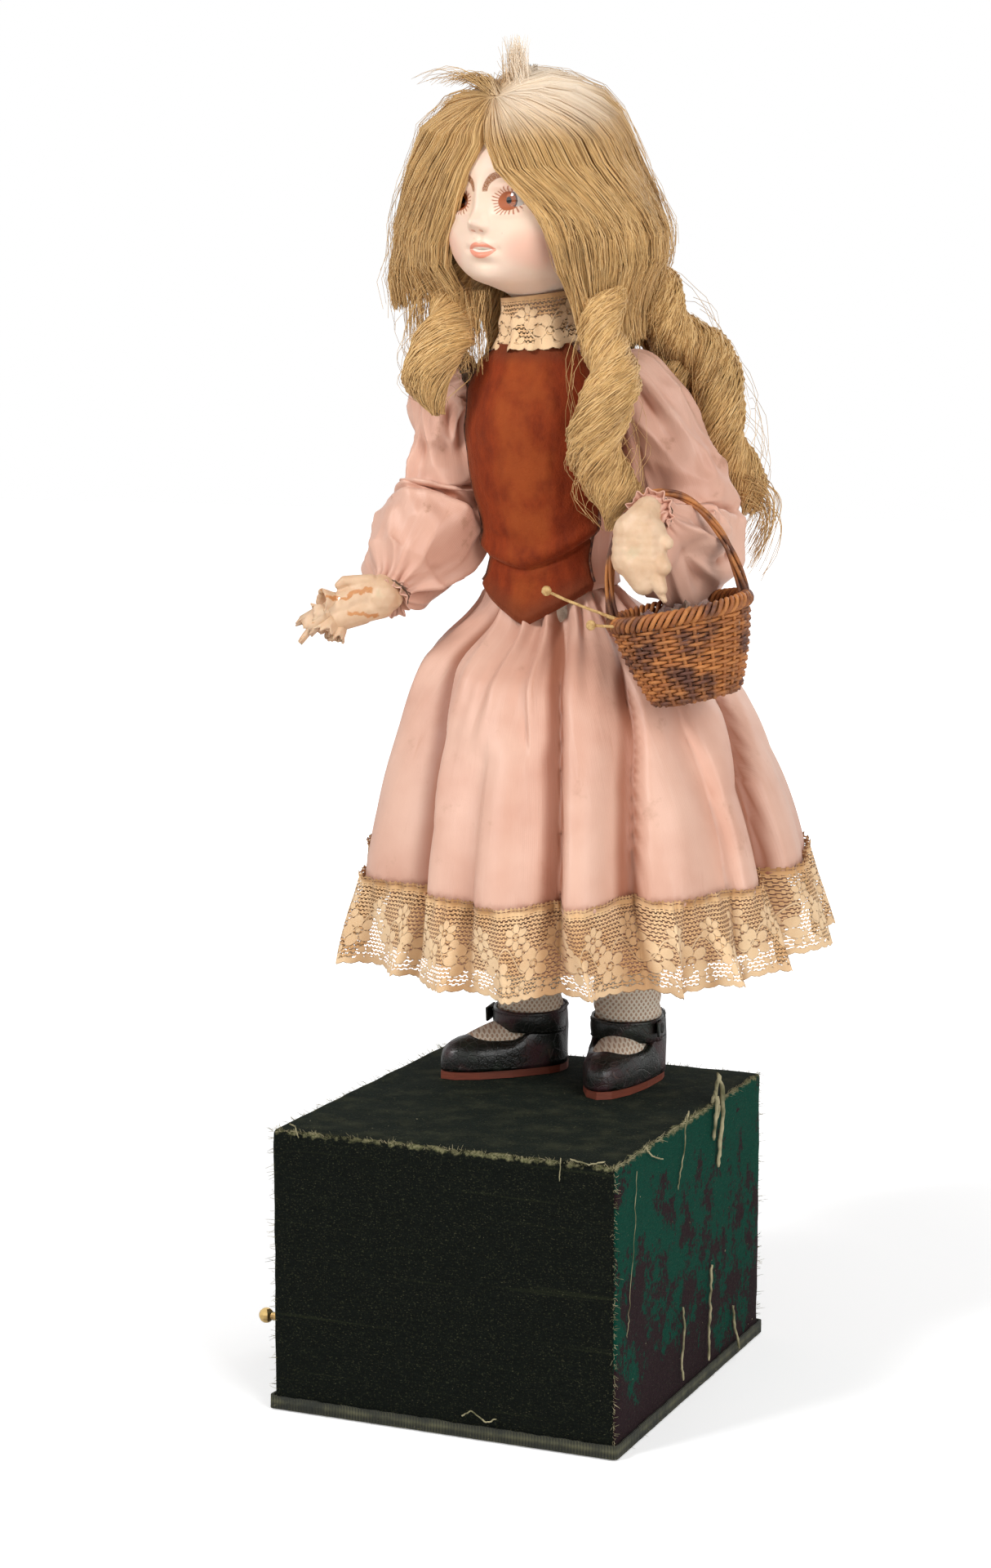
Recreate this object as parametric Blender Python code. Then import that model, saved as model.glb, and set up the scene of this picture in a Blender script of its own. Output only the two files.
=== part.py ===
"""A clockwork doll automaton: a bisque-headed doll with a basket, on a velvet-covered plinth.

Sizes are in millimetres and MM turns them into Blender's metres.  +Z is up, the doll and the
plinth's front face -Y, and the origin is the middle of the plinth's underside.  The doll is
modelled in its own upright frame, which leans forward from the ankles.
"""
import math

import bmesh
import bpy
from mathutils import Matrix, Vector

MM = 0.001
GAP = 0.3                 # clearance between pieces that touch
RUN = 0.3                 # clearance round a pivot or a shaft

# Plinth
PLINTH_WIDTH = 140.0
PLINTH_DEPTH = 162.0
PLINTH_HEIGHT = 110.0
VELVET = 0.9
SIDE_BOARD = 6.0
TOP_BOARD = 8.0
BOTTOM_BOARD = 6.0
VELVET_LIFT = 0.6         # lower edge of the velvet above the table
BRAID_THICK = 1.2
BRAID_HEIGHT = 8.0

# Clockwork in the plinth
PLATE = 2.0
LEFT_PLATE_X = -42.0      # outer face
RIGHT_PLATE_X = 34.0      # outer face
PLATE_FRONT_ROOM = 6.8    # front board's inside to the plates
PLATE_BACK_ROOM = 9.8     # back board's inside to the plates
PLATE_EDGE = 6.0          # plates' edges to the middles of pillars and pivots
PILLAR_R = 2.5
PILLAR_LOW_Z = 14.0
PILLAR_HIGH_Z = 71.0
ARBOR_END = 0.8           # an arbor's pivot stands this far out of a plate
MODULE = 2.0
FLY_MODULE = 1.25
GREAT_TEETH = 24
CAM_TEETH = 18
PINION_TEETH = 6
CYLINDER_TEETH = 12
SECOND_TEETH = 24
FLY_TEETH = 8
WHEEL_THICK = 4.0
WHEEL_X = -34.0           # left face of the wheels that mesh with the great wheel
SECOND_WHEEL_X = -6.0
SECOND_WHEEL_THICK = 2.0
BARREL_Y = 15.0
BARREL_Z = 42.0
BARREL_R = 22.0
BARREL_LENGTH = 20.0
BARREL_WALL = 1.5
CAM_Y = -20.0
SECOND_ANGLE = -20.0
FLY_ANGLE = 80.0
CYLINDER_ANGLE = 200.0
WINDING_R = 2.5
CAM_ARBOR_R = 2.0
TRAIN_ARBOR_R = 1.5
FLY_ARBOR_R = 1.2
KEY_STANDOFF = 3.0        # key hub to the plinth's side
KEY_HUB_R = 5.0
KEY_HUB = 11.0
KEY_WING_R = 8.5
KEY_THICK = 2.6
RATCHET_TEETH = 12
RATCHET_R = 9.0
RATCHET_THICK = 2.4
CLICK_ANGLE = 128.0
CLICK_DISTANCE = 17.0
SPRING_TURNS = 4.0
SPRING_STRIP = 0.7
FAN_R = 14.0
FAN_LENGTH = 15.0
FAN_X = 6.0
MUSIC_R = 10.0
MUSIC_LENGTH = 50.0
COMB_TEETH = 14
COMB_WIDTH = 34.0
COMB_DEPTH = 24.0
COMB_THICK = 1.6

# Cams and levers
CAM_R = 12.0
CAM_LIFT = 2.0
CAM_THICK = 3.0
CAM_BUSH_R = 6.0
LEVER_PIVOT_Z = 83.0
LEVER_PIN_R = 1.5
LEVER_BOSS_R = 4.0
LEVER_THICK = 2.4
LEVER_DEEP = 5.0
NOSE_WIDTH = 3.0

# Start knob
KNOB_INSET = 5.8          # front board's inside to the stem's middle
KNOB_Z = 32.0
KNOB_R = 3.0
KNOB_STEM_R = 1.5
KNOB_STANDOFF = 10.0      # ball's middle from the plinth's side
KNOB_INSIDE = 18.0        # stem beyond the velvet
STOP_PIN_Y = -26.0
STOP_TRAVEL = 4.0

# Figure frame: leans forward from the plinth's top
LEAN = 6.0
FIGURE_X = -1.5
FIGURE_Y = PLINTH_DEPTH / 2 - 29.0

# Legs and shoes
RIGHT_LEG_X = -17.5
LEFT_LEG_X = 25.5
LEG_BORE_R = 7.0
WIRE_HOLE_R = 5.5
LEG_TOP = 150.0
ANKLE_R = 10.5
CALF_R = 12.4
THIGH_R = 14.0
SOCK_THICK = 0.5
SOCK_LOW = 12.0
SOCK_HIGH = 118.0
SOLE_THICK = 3.0
SHOE_HALF_WIDTH = 14.6
TOE_REACH = 42.0
HEEL_REACH = 14.8
SHOE_TOP = 24.0
RIGHT_TOE_OUT = 38.0
LEFT_TOE_OUT = -3.0
STRAP_HIGH = 4.0
STRAP_THICK = 1.6
BUTTON_R = 2.3

# Trunk: half width, front and back at heights up the figure
TRUNK = (
    (150.0, 41.0, 26.0, 26.0),
    (166.0, 38.0, 24.0, 24.0),
    (190.0, 28.0, 20.0, 19.0),
    (204.0, 24.2, 18.4, 16.2),
    (214.0, 23.5, 18.3, 15.4),
    (230.0, 25.3, 21.3, 16.9),
    (250.0, 28.8, 24.3, 18.3),
    (266.0, 30.0, 24.3, 18.8),
    (280.0, 29.8, 20.3, 17.8),
    (290.0, 25.5, 15.8, 15.3),
    (297.0, 16.5, 13.5, 13.5),
)
TRUNK_WALL = 2.2
BODICE_THICK = 1.4
BODICE_EASE = 0.6         # bodice's inside to the trunk
BODICE_LOW = 204.0
BODICE_POINT = 8.0        # how far the front point hangs
NECK_PLATE = 3.0
TRUNK_FLOOR = 4.0

# Arms
SHOULDER_Z = 281.0
SHAFT_R = 3.5
CRANK_REACH = 8.0
CRANK_X = 14.5
CRANK_THICK = 3.0
ARM_R = 5.5
SLEEVE_BORE_R = 6.2
SLEEVE_START = 32.9

# Skirt, lining and lace
SKIRT_WAIST_R = 25.0
SKIRT_HEM_R = 85.6
SKIRT_HEM_Z = 93.0
SKIRT_SHIFT_X = 10.0
SKIRT_THICK = 1.2
SKIRT_FOLDS = 9
SKIRT_FOLD_DEEP = 3.4
LINING_TOP_Z = 188.0
LINING_LOW_Z = 72.0
LINING_LOW_R = 84.0
LINING_THICK = 0.8
LINING_EASE = 0.8         # lining's waist to the trunk
LACE_HEM_Z = 62.0
LACE_HEM_R = 99.0
LACE_THICK = 1.0
LACE_FOLDS = 18
LACE_FOLD_DEEP = 2.6

# Neck and head, in the head's frame: it faces -Y and turns about the neck's axis
HEAD_YAW = -20.0
NECK_TUBE_R = 5.0
NECK_BORE_R = 2.3
NECK_TUBE_LOW = 278.0
NECK_CRANK_Z = 286.0
NECK_PIN_REACH = 10.0
NECK_PIN_R = 1.2
NECK_PIN_DROP = 12.0
NOD_Y = -8.0
NOD_Z = 330.0
NOD_PIN_R = 1.3
NOD_YOKE_HALF = 9.0
NOD_LUG_HALF = 6.2
HEAD_WALL = 2.2
HEAD = (
    (306.0, 11.3, 11.3, 11.3),
    (315.0, 12.0, 12.4, 13.0),
    (319.5, 16.0, 22.0, 16.0),
    (323.0, 21.0, 31.0, 19.0),
    (329.0, 27.0, 36.0, 24.0),
    (337.0, 30.5, 37.5, 29.0),
    (346.0, 31.5, 37.5, 32.0),
    (356.0, 31.0, 36.0, 34.0),
    (366.0, 29.5, 35.5, 34.0),
    (377.0, 25.5, 30.5, 31.0),
    (385.5, 19.0, 23.0, 24.0),
    (391.0, 10.5, 12.5, 13.0),
)
FACE_TURN = 5.5           # face's middle from the head block's forward line
NOSE_Z = 346.0
NOSE_OUT = 4.6
EYE_X = 10.5
EYE_Z = 353.0
EYE_R = 6.0
EYE_OPEN_R = 5.0
EYE_SET_BACK = 2.5        # eyeball to the head's inside

# Wig: half width, front and back at heights up the figure
WIG = (
    (317.0, 45.0, 24.0, 42.0),
    (328.0, 52.0, 32.0, 47.0),
    (340.0, 52.0, 35.0, 47.0),
    (352.0, 45.0, 37.0, 45.0),
    (364.0, 39.0, 38.0, 42.0),
    (378.0, 34.0, 35.0, 38.0),
    (389.0, 26.0, 27.0, 29.0),
    (396.0, 14.0, 15.0, 16.0),
    (398.5, 6.0, 6.5, 7.0),
)
WIG_FLARE = 0.3           # extra reach of the locks in front of the right shoulder
WIG_FLARE_AT = -50.0      # degrees from the face
WIG_FLARE_TOP = 420.0
BLOCK_EASE = 2.4          # head block's bar to the head's inside
WIG_GAP = 1.1
FACE_HALF_WIDTH = 25.0
FACE_TOP_Z = 377.0
FALL_TOP_Z = 312.0
FALL_SHELF_Z = 299.0
FALL_R = 44.0
FALL_ROOM = 6.5           # collar to the hair round it
FALL_ROUND = 3.5

# Collar
COLLAR_R = 17.6
COLLAR_THICK = 1.0
COLLAR_HIGH = 311.0

# Basket, in an upright frame that hangs from the left forearm
HANG = (58.1, -36.7, 244.6)
BASKET_YAW = 23.6
BASKET_TILT = -12.0
BASKET_R = 26.0
BASKET_BASE_R = 16.0
BASKET_WALL = 1.8
BASKET_DEEP = 33.0
HANDLE_RISE = 45.0
HANDLE_R = 1.4
STAMEN_R = 0.7
STAMEN_TIP_R = 1.9

# Control wires
WIRE_R = 0.8
WIRE_SPREAD = 2.5

# Bell crank that turns the neck shaft
BELL_Z = 255.0
BELL_ARM = 12.0
BELL_PAD_X = -16.0
BELL_R = 3.5
BELL_STUD_R = 1.5
BELL_HALF_THICK = 1.2
BELL_TIP_GAP = 0.4        # finger to the neck shaft's pin

# Corners round the turned shapes
CAM_STEPS = 16
LEG_SIDES = 14
TRUNK_SIDES = 20
BODICE_SIDES = 20
SKIRT_SIDES = 54
LINING_SIDES = 18
LACE_SIDES = 4 * LACE_FOLDS
BASKET_SIDES = 20
HEAD_SIDES = 24
WIG_SIDES = 20
ARCH_STEPS = 14


def clear_scene():
    for old in list(bpy.data.objects):
        bpy.data.objects.remove(old, do_unlink=True)


clear_scene()


# Materials

def material(name, colour, roughness=0.6, metallic=0.0):
    made = bpy.data.materials.new(name)
    made.use_nodes = True
    shader = made.node_tree.nodes["Principled BSDF"]
    shader.inputs["Base Color"].default_value = (*colour, 1.0)
    shader.inputs["Roughness"].default_value = roughness
    shader.inputs["Metallic"].default_value = metallic
    made.diffuse_color = (*colour, 1.0)
    return made


PINE = ("pine", (0.55, 0.40, 0.24), 0.7, 0.0)
VELVET_GREEN = ("green_velvet", (0.035, 0.05, 0.035), 0.95, 0.0)
BRAID = ("gilt_braid", (0.30, 0.25, 0.14), 0.8, 0.0)
BRASS = ("brass", (0.75, 0.56, 0.24), 0.35, 1.0)
STEEL = ("steel", (0.45, 0.45, 0.46), 0.4, 1.0)
BISQUE = ("bisque", (0.88, 0.76, 0.68), 0.45, 0.0)
GLASS = ("eye_glass", (0.14, 0.06, 0.03), 0.1, 0.0)
MOHAIR = ("mohair", (0.62, 0.44, 0.22), 0.8, 0.0)
RUST = ("rust_velvet", (0.55, 0.22, 0.09), 0.9, 0.0)
SATIN = ("pink_satin", (0.78, 0.50, 0.42), 0.45, 0.0)
LINING = ("brown_lining", (0.42, 0.28, 0.24), 0.85, 0.0)
LACE = ("ecru_lace", (0.72, 0.64, 0.48), 0.9, 0.0)
COTTON = ("white_cotton", (0.85, 0.82, 0.75), 0.9, 0.0)
LEATHER = ("dark_leather", (0.06, 0.035, 0.025), 0.5, 0.0)
SOLE = ("red_brown_leather", (0.30, 0.12, 0.07), 0.7, 0.0)
WICKER = ("wicker", (0.28, 0.16, 0.08), 0.8, 0.0)
PETAL = ("faded_petals", (0.42, 0.34, 0.38), 0.9, 0.0)
PULP = ("papier_mache", (0.60, 0.52, 0.42), 0.9, 0.0)


# Frames

def rotation(axis, degrees):
    return Matrix.Rotation(math.radians(degrees), 4, axis)


def move(x, y, z):
    return Matrix.Translation((x * MM, y * MM, z * MM))


def empty(name, place, parent=None):
    made = bpy.data.objects.new(name, None)
    made.empty_display_size = 0.01
    bpy.context.scene.collection.objects.link(made)
    made.parent = parent
    made.matrix_local = place
    return made


FIGURE = move(FIGURE_X, FIGURE_Y, PLINTH_HEIGHT) @ rotation("X", LEAN)
HEAD_FRAME = rotation("Z", HEAD_YAW)
HANG_FRAME = (move(*HANG) @ rotation("X", -LEAN) @ rotation("Z", BASKET_YAW)
              @ rotation("Y", BASKET_TILT))
figure = empty("figure_frame", FIGURE)
head_frame = empty("head_frame", HEAD_FRAME, figure)
hang_frame = empty("basket_frame", HANG_FRAME, figure)


# Shape helpers: every one takes millimetres

def ring_point(a, f, b, angle):
    """Point of an oval ring: half width a, front reach f, back reach b; angle 0 is the front."""
    forward = -math.cos(angle)
    reach = f if forward < 0 else b
    return a * math.sin(angle), reach * forward


def loft(rings, loop=False):
    """Closed solid through rings of points; loop joins the last ring to the first."""
    bm = bmesh.new()
    rows = [[bm.verts.new(Vector(p) * MM) for p in ring] for ring in rings]
    pairs = list(zip(rows, rows[1:]))
    if loop:
        pairs.append((rows[-1], rows[0]))
    for low, high in pairs:
        count = len(low)
        for i in range(count):
            j = (i + 1) % count
            bm.faces.new((low[i], low[j], high[j], high[i]))
    if not loop:
        bm.faces.new(rows[0])
        bm.faces.new(rows[-1])
    bmesh.ops.recalc_face_normals(bm, faces=bm.faces)
    return bm


def box(low, high):
    bm = bmesh.new()
    bmesh.ops.create_cube(bm, size=1.0)
    size = [(high[i] - low[i]) * MM for i in range(3)]
    middle = [(high[i] + low[i]) * 0.5 * MM for i in range(3)]
    bmesh.ops.scale(bm, vec=size, verts=bm.verts)
    bmesh.ops.translate(bm, vec=middle, verts=bm.verts)
    return bm


def rod(start, end, radius, sides=16, end_radius=None):
    """Cylinder or cone between two points."""
    a = Vector(start) * MM
    b = Vector(end) * MM
    way = b - a
    bm = bmesh.new()
    last = radius if end_radius is None else end_radius
    bmesh.ops.create_cone(bm, cap_ends=True, segments=sides, radius1=radius * MM,
                          radius2=last * MM, depth=way.length)
    turn = way.to_track_quat("Z", "Y").to_matrix().to_4x4()
    bmesh.ops.transform(bm, matrix=Matrix.Translation((a + b) / 2) @ turn, verts=bm.verts)
    return bm


def ball(centre, radius, sides=12, rings=8, stretch=(1, 1, 1)):
    bm = bmesh.new()
    bmesh.ops.create_uvsphere(bm, u_segments=sides, v_segments=rings, radius=radius * MM)
    bmesh.ops.scale(bm, vec=stretch, verts=bm.verts)
    bmesh.ops.translate(bm, vec=Vector(centre) * MM, verts=bm.verts)
    return bm


def prism(outline, low, high, axis="X"):
    """Solid of an outline drawn square to an axis, between two places on that axis."""
    if axis == "X":
        rings = [[(x, p[0], p[1]) for p in outline] for x in (low, high)]
    elif axis == "Y":
        rings = [[(p[0], y, p[1]) for p in outline] for y in (low, high)]
    else:
        rings = [[(p[0], p[1], z) for p in outline] for z in (low, high)]
    return loft(rings)


def tube_path(points, radii, sides=14, bore=None):
    """Round solid along a path, with an optional bore of one radius."""
    path = [Vector(p) for p in points]
    rings = []
    inner = []
    side = (path[1] - path[0]).orthogonal()
    for i, here in enumerate(path):
        way = (path[min(i + 1, len(path) - 1)] - path[max(i - 1, 0)]).normalized()
        side = (side - way * side.dot(way)).normalized()
        up = way.cross(side)
        turns = [2 * math.pi * k / sides for k in range(sides)]
        spokes = [side * math.cos(a) + up * math.sin(a) for a in turns]
        rings.append([here + spoke * radii[i] for spoke in spokes])
        inner.append([here + spoke * (bore or 1.0) for spoke in spokes])
    if bore is None:
        return loft(rings)
    return loft(rings + inner[::-1], loop=True)


def shell(outer, inner):
    """Wall between two stacks of rings, open at both ends."""
    return loft(outer + inner[::-1], loop=True)


def make(name, bm, look, frame=None, origin=(0, 0, 0), smooth=35):
    """Object from a mesh drawn in its frame, with its origin on its joint's axis."""
    mesh = bpy.data.meshes.new(name)
    bmesh.ops.translate(bm, vec=-Vector(origin) * MM, verts=bm.verts)
    bm.to_mesh(mesh)
    bm.free()
    mesh.shade_smooth()
    mesh.set_sharp_from_angle(angle=math.radians(smooth))
    made = bpy.data.objects.new(name, mesh)
    bpy.context.scene.collection.objects.link(made)
    if look:
        made.data.materials.append(look_of(look))
    made.parent = frame
    made.location = Vector(origin) * MM
    return made


looks = {}


def look_of(look):
    if look[0] not in looks:
        looks[look[0]] = material(*look)
    return looks[look[0]]


def boolean(target, bm, frame, how):
    tool = make(f"{target.name}_{how.lower()}_{len(target.modifiers)}", bm, None, frame)
    tool.hide_render = True
    tool.display_type = "WIRE"
    modifier = target.modifiers.new(how.title(), "BOOLEAN")
    modifier.operation = how
    modifier.object = tool
    modifier.solver = "EXACT"


def cut(target, bm, frame=None):
    boolean(target, bm, frame, "DIFFERENCE")


def add(target, bm, frame=None):
    boolean(target, bm, frame, "UNION")


def circle(centre, radius, count, phase=0.0):
    steps = [2 * math.pi * (i + phase) / count for i in range(count)]
    return [(centre[0] + radius * math.cos(a), centre[1] + radius * math.sin(a)) for a in steps]


def polar(centre, distance, degrees):
    angle = math.radians(degrees)
    return centre[0] + distance * math.cos(angle), centre[1] + distance * math.sin(angle)


# Plinth: boards inside a velvet skin

case_x = PLINTH_WIDTH / 2 - VELVET - GAP
case_y = PLINTH_DEPTH / 2 - VELVET - GAP
case_top = PLINTH_HEIGHT - VELVET - GAP
under_top = case_top - TOP_BOARD
floor_z = BOTTOM_BOARD + GAP
inner_x = case_x - SIDE_BOARD
inner_y = case_y - SIDE_BOARD
side_y = inner_y - GAP

make("plinth_bottom_board", box((-case_x, -case_y, 0), (case_x, case_y, BOTTOM_BOARD)), PINE)
top_board = make("plinth_top_board", box((-case_x, -case_y, under_top), (case_x, case_y, case_top)), PINE)
for name, y in (("plinth_front_board", -case_y), ("plinth_back_board", inner_y)):
    make(name, box((-case_x, y, floor_z), (case_x, y + SIDE_BOARD, under_top - GAP)), PINE)
left_board = make("plinth_left_board",
                  box((-case_x, -side_y, floor_z), (-inner_x, side_y, under_top - GAP)), PINE)
make("plinth_right_board", box((inner_x, -side_y, floor_z), (case_x, side_y, under_top - GAP)), PINE)

velvet = make("velvet_cover", box((-PLINTH_WIDTH / 2, -PLINTH_DEPTH / 2, VELVET_LIFT),
                                  (PLINTH_WIDTH / 2, PLINTH_DEPTH / 2, PLINTH_HEIGHT)), VELVET_GREEN)
skin_x = PLINTH_WIDTH / 2 - VELVET
skin_y = PLINTH_DEPTH / 2 - VELVET
cut(velvet, box((-skin_x, -skin_y, -5), (skin_x, skin_y, PLINTH_HEIGHT - VELVET)))


def corners(x, y):
    return [(-x, -y), (x, -y), (x, y), (-x, y)]


def frame_ring(inside_x, inside_y, thick, low, high):
    """Four-sided band round a box."""
    outer = corners(inside_x + thick, inside_y + thick)
    inner = corners(inside_x, inside_y)
    return shell([[(*p, z) for p in outer] for z in (low, high)],
                 [[(*p, z) for p in inner] for z in (low, high)])


make("bottom_braid", frame_ring(PLINTH_WIDTH / 2 + GAP, PLINTH_DEPTH / 2 + GAP, BRAID_THICK,
                                VELVET_LIFT, VELVET_LIFT + BRAID_HEIGHT), BRAID)

# Clockwork: places of the arbors, as (y, z) points

barrel = (BARREL_Y, BARREL_Z)
cam_distance = (GREAT_TEETH + CAM_TEETH) * MODULE / 2
cam = (CAM_Y, BARREL_Z + math.sqrt(cam_distance ** 2 - (BARREL_Y - CAM_Y) ** 2))
second = polar(barrel, (GREAT_TEETH + PINION_TEETH) * MODULE / 2, SECOND_ANGLE)
fly = polar(second, (SECOND_TEETH + FLY_TEETH) * FLY_MODULE / 2, FLY_ANGLE)
cylinder = polar(barrel, (GREAT_TEETH + CYLINDER_TEETH) * MODULE / 2, CYLINDER_ANGLE)
plate_front = PLATE_FRONT_ROOM - inner_y
plate_back = inner_y - PLATE_BACK_ROOM
plate_top = LEVER_PIVOT_Z + LEVER_BOSS_R + 1.0
lever_pivot = (plate_front + PLATE_EDGE + 1.0, LEVER_PIVOT_Z)
pillars = ((plate_front + PLATE_EDGE, PILLAR_LOW_Z), (plate_back - PLATE_EDGE, PILLAR_LOW_Z),
           (plate_back - PLATE_EDGE, PILLAR_HIGH_Z))
left_inner = LEFT_PLATE_X + PLATE
right_inner = RIGHT_PLATE_X - PLATE
arbor_low = LEFT_PLATE_X - ARBOR_END
arbor_high = RIGHT_PLATE_X + ARBOR_END
wheel_high = WHEEL_X + WHEEL_THICK


def gear_outline(centre, teeth, module, facing):
    """Toothed outline with a tooth's middle at the angle facing, in radians."""
    pitch = 2 * math.pi / teeth
    tip = teeth * module / 2 + 0.75 * module
    root = teeth * module / 2 - 1.1 * module
    points = []
    for i in range(teeth):
        middle = facing + i * pitch
        for radius, share in ((root, -0.23), (tip, -0.08), (tip, 0.08), (root, 0.23)):
            angle = middle + share * pitch
            points.append((centre[0] + radius * math.cos(angle), centre[1] + radius * math.sin(angle)))
    return points


def axle(centre, low, high, radius, sides=16):
    return rod((low, *centre), (high, *centre), radius, sides)


def angle_to(start, end):
    return math.atan2(end[1] - start[1], end[0] - start[0])


def mesh_facing(driver, driver_teeth, driver_facing, driven, driven_teeth):
    """Facing of a driven gear so that its gap takes the driver's tooth."""
    way = angle_to(driver, driven)
    phase = ((way - driver_facing) / (2 * math.pi / driver_teeth)) % 1.0
    return way + math.pi + (0.5 + phase) * 2 * math.pi / driven_teeth


left_plate = make("movement_plate_left", box((LEFT_PLATE_X, plate_front, floor_z),
                                             (left_inner, plate_back, plate_top)), BRASS)
right_plate = make("movement_plate_right", box((right_inner, plate_front, floor_z),
                                               (RIGHT_PLATE_X, plate_back, plate_top)), BRASS)
for place in pillars:
    add(left_plate, axle(place, left_inner - 1, right_inner - GAP, PILLAR_R, 10))
bores = ((barrel, WINDING_R), (cam, CAM_ARBOR_R), (second, TRAIN_ARBOR_R), (fly, FLY_ARBOR_R),
         (cylinder, TRAIN_ARBOR_R))
flat_share = 1 / math.cos(math.pi / 8)   # keeps the flats of an eight-sided bore clear
for plate, low in ((left_plate, LEFT_PLATE_X), (right_plate, right_inner)):
    for centre, radius in bores:
        cut(plate, axle(centre, low - 1, low + PLATE + 1, (radius + RUN) * flat_share, 8))
add(right_plate, axle(lever_pivot, left_inner + GAP, right_inner + 1, LEVER_PIN_R, 12))
click_pivot = polar(barrel, CLICK_DISTANCE, CLICK_ANGLE)
ratchet_high = LEFT_PLATE_X - 2
add(left_plate, axle(click_pivot, ratchet_high - RATCHET_THICK - 0.5, LEFT_PLATE_X + 1, 1.2, 12))

# Winding arbor with its ratchet wheel, the key and the click

key_hub_high = -PLINTH_WIDTH / 2 - KEY_STANDOFF
key_hub_low = key_hub_high - KEY_HUB
arbor_tip = key_hub_high - 6.0
arbor = make("winding_arbor", axle(barrel, arbor_tip, arbor_high, WINDING_R), STEEL,
             origin=(0, *barrel))
saw = []
for i in range(RATCHET_TEETH):
    start = 2 * math.pi * i / RATCHET_TEETH
    for radius, turn in ((RATCHET_R - 2, 0.0), (RATCHET_R, 0.02)):
        saw.append(polar(barrel, radius, math.degrees(start + turn)))
add(arbor, prism(saw, ratchet_high - RATCHET_THICK, ratchet_high))
cut(left_board, axle(barrel, -case_x - 1, -inner_x + 1, WINDING_R + RUN))
cut(velvet, axle(barrel, -PLINTH_WIDTH / 2 - 1, -skin_x + 0.2, WINDING_R + RUN))

key = make("winding_key", axle(barrel, key_hub_low, key_hub_high, KEY_HUB_R, 20), BRASS,
           origin=(0, *barrel))
wing_x = key_hub_low - KEY_WING_R + 3
for side in (-1, 1):
    wing = (wing_x, BARREL_Z + side * (KEY_WING_R - 1.5))
    add(key, prism(circle(wing, KEY_WING_R, 16, 0.5), BARREL_Y - KEY_THICK / 2,
                   BARREL_Y + KEY_THICK / 2, "Y"))
cut(key, axle(barrel, arbor_tip - 0.5, key_hub_high + 1, WINDING_R + RUN))

click = make("ratchet_click", axle(click_pivot, ratchet_high - RATCHET_THICK, ratchet_high, 3.0, 14),
             STEEL, origin=(0, *click_pivot))
nose_tip = polar(barrel, RATCHET_R + GAP + 1.0, CLICK_ANGLE - 52)
add(click, rod((ratchet_high - RATCHET_THICK / 2, *click_pivot),
               (ratchet_high - RATCHET_THICK / 2, *nose_tip), 1.1, 8))
cut(click, axle(click_pivot, ratchet_high - RATCHET_THICK - 1, ratchet_high + 1, 1.2 + RUN, 12))

# Spring barrel with the great wheel, and the mainspring

barrel_high = wheel_high + BARREL_LENGTH
drum = make("spring_barrel", prism(gear_outline(barrel, GREAT_TEETH, MODULE, 0.0), WHEEL_X, wheel_high),
            BRASS, origin=(0, *barrel))
add(drum, axle(barrel, wheel_high - 1, barrel_high, BARREL_R, 20))
cut(drum, axle(barrel, wheel_high, barrel_high + 1, BARREL_R - BARREL_WALL, 20))
cut(drum, axle(barrel, WHEEL_X - 1, wheel_high + 1, WINDING_R + RUN))

spring_in = WINDING_R + RUN + 0.6
spring_out = BARREL_R - BARREL_WALL - SPRING_STRIP - GAP
spiral = []
steps = int(SPRING_TURNS * 12)
for edge in (0, 1):
    line = []
    for i in range(steps + 1):
        share = i / steps
        radius = spring_in + (spring_out - spring_in) * share + edge * SPRING_STRIP
        line.append(polar(barrel, radius, 360 * SPRING_TURNS * share))
    spiral += line if edge == 0 else line[::-1]
make("mainspring", prism(spiral, wheel_high + GAP, barrel_high - 1.5), STEEL, origin=(0, *barrel))

# Train: second wheel, fly, camshaft and music cylinder

cam_arbor = make("camshaft", axle(cam, arbor_low, arbor_high, CAM_ARBOR_R, 14), STEEL,
                 origin=(0, *cam))
cam_facing = mesh_facing(barrel, GREAT_TEETH, 0.0, cam, CAM_TEETH)
add(cam_arbor, prism(gear_outline(cam, CAM_TEETH, MODULE, cam_facing), WHEEL_X, wheel_high))

second_arbor = make("second_wheel", axle(second, arbor_low, arbor_high, TRAIN_ARBOR_R, 12), STEEL,
                    origin=(0, *second))
pinion_facing = mesh_facing(barrel, GREAT_TEETH, 0.0, second, PINION_TEETH)
add(second_arbor, prism(gear_outline(second, PINION_TEETH, MODULE, pinion_facing), WHEEL_X, wheel_high))
add(second_arbor, prism(gear_outline(second, SECOND_TEETH, FLY_MODULE, 0.0), SECOND_WHEEL_X,
                        SECOND_WHEEL_X + SECOND_WHEEL_THICK))

fly_arbor = make("fly_governor", axle(fly, arbor_low, arbor_high, FLY_ARBOR_R, 12), STEEL,
                 origin=(0, *fly))
fly_facing = mesh_facing(second, SECOND_TEETH, 0.0, fly, FLY_TEETH)
add(fly_arbor, prism(gear_outline(fly, FLY_TEETH, FLY_MODULE, fly_facing), SECOND_WHEEL_X - 1,
                     SECOND_WHEEL_X + SECOND_WHEEL_THICK + 1))
add(fly_arbor, box((FAN_X, fly[0] - 0.5, fly[1] - FAN_R),
                   (FAN_X + FAN_LENGTH, fly[0] + 0.5, fly[1] + FAN_R)))

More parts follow.
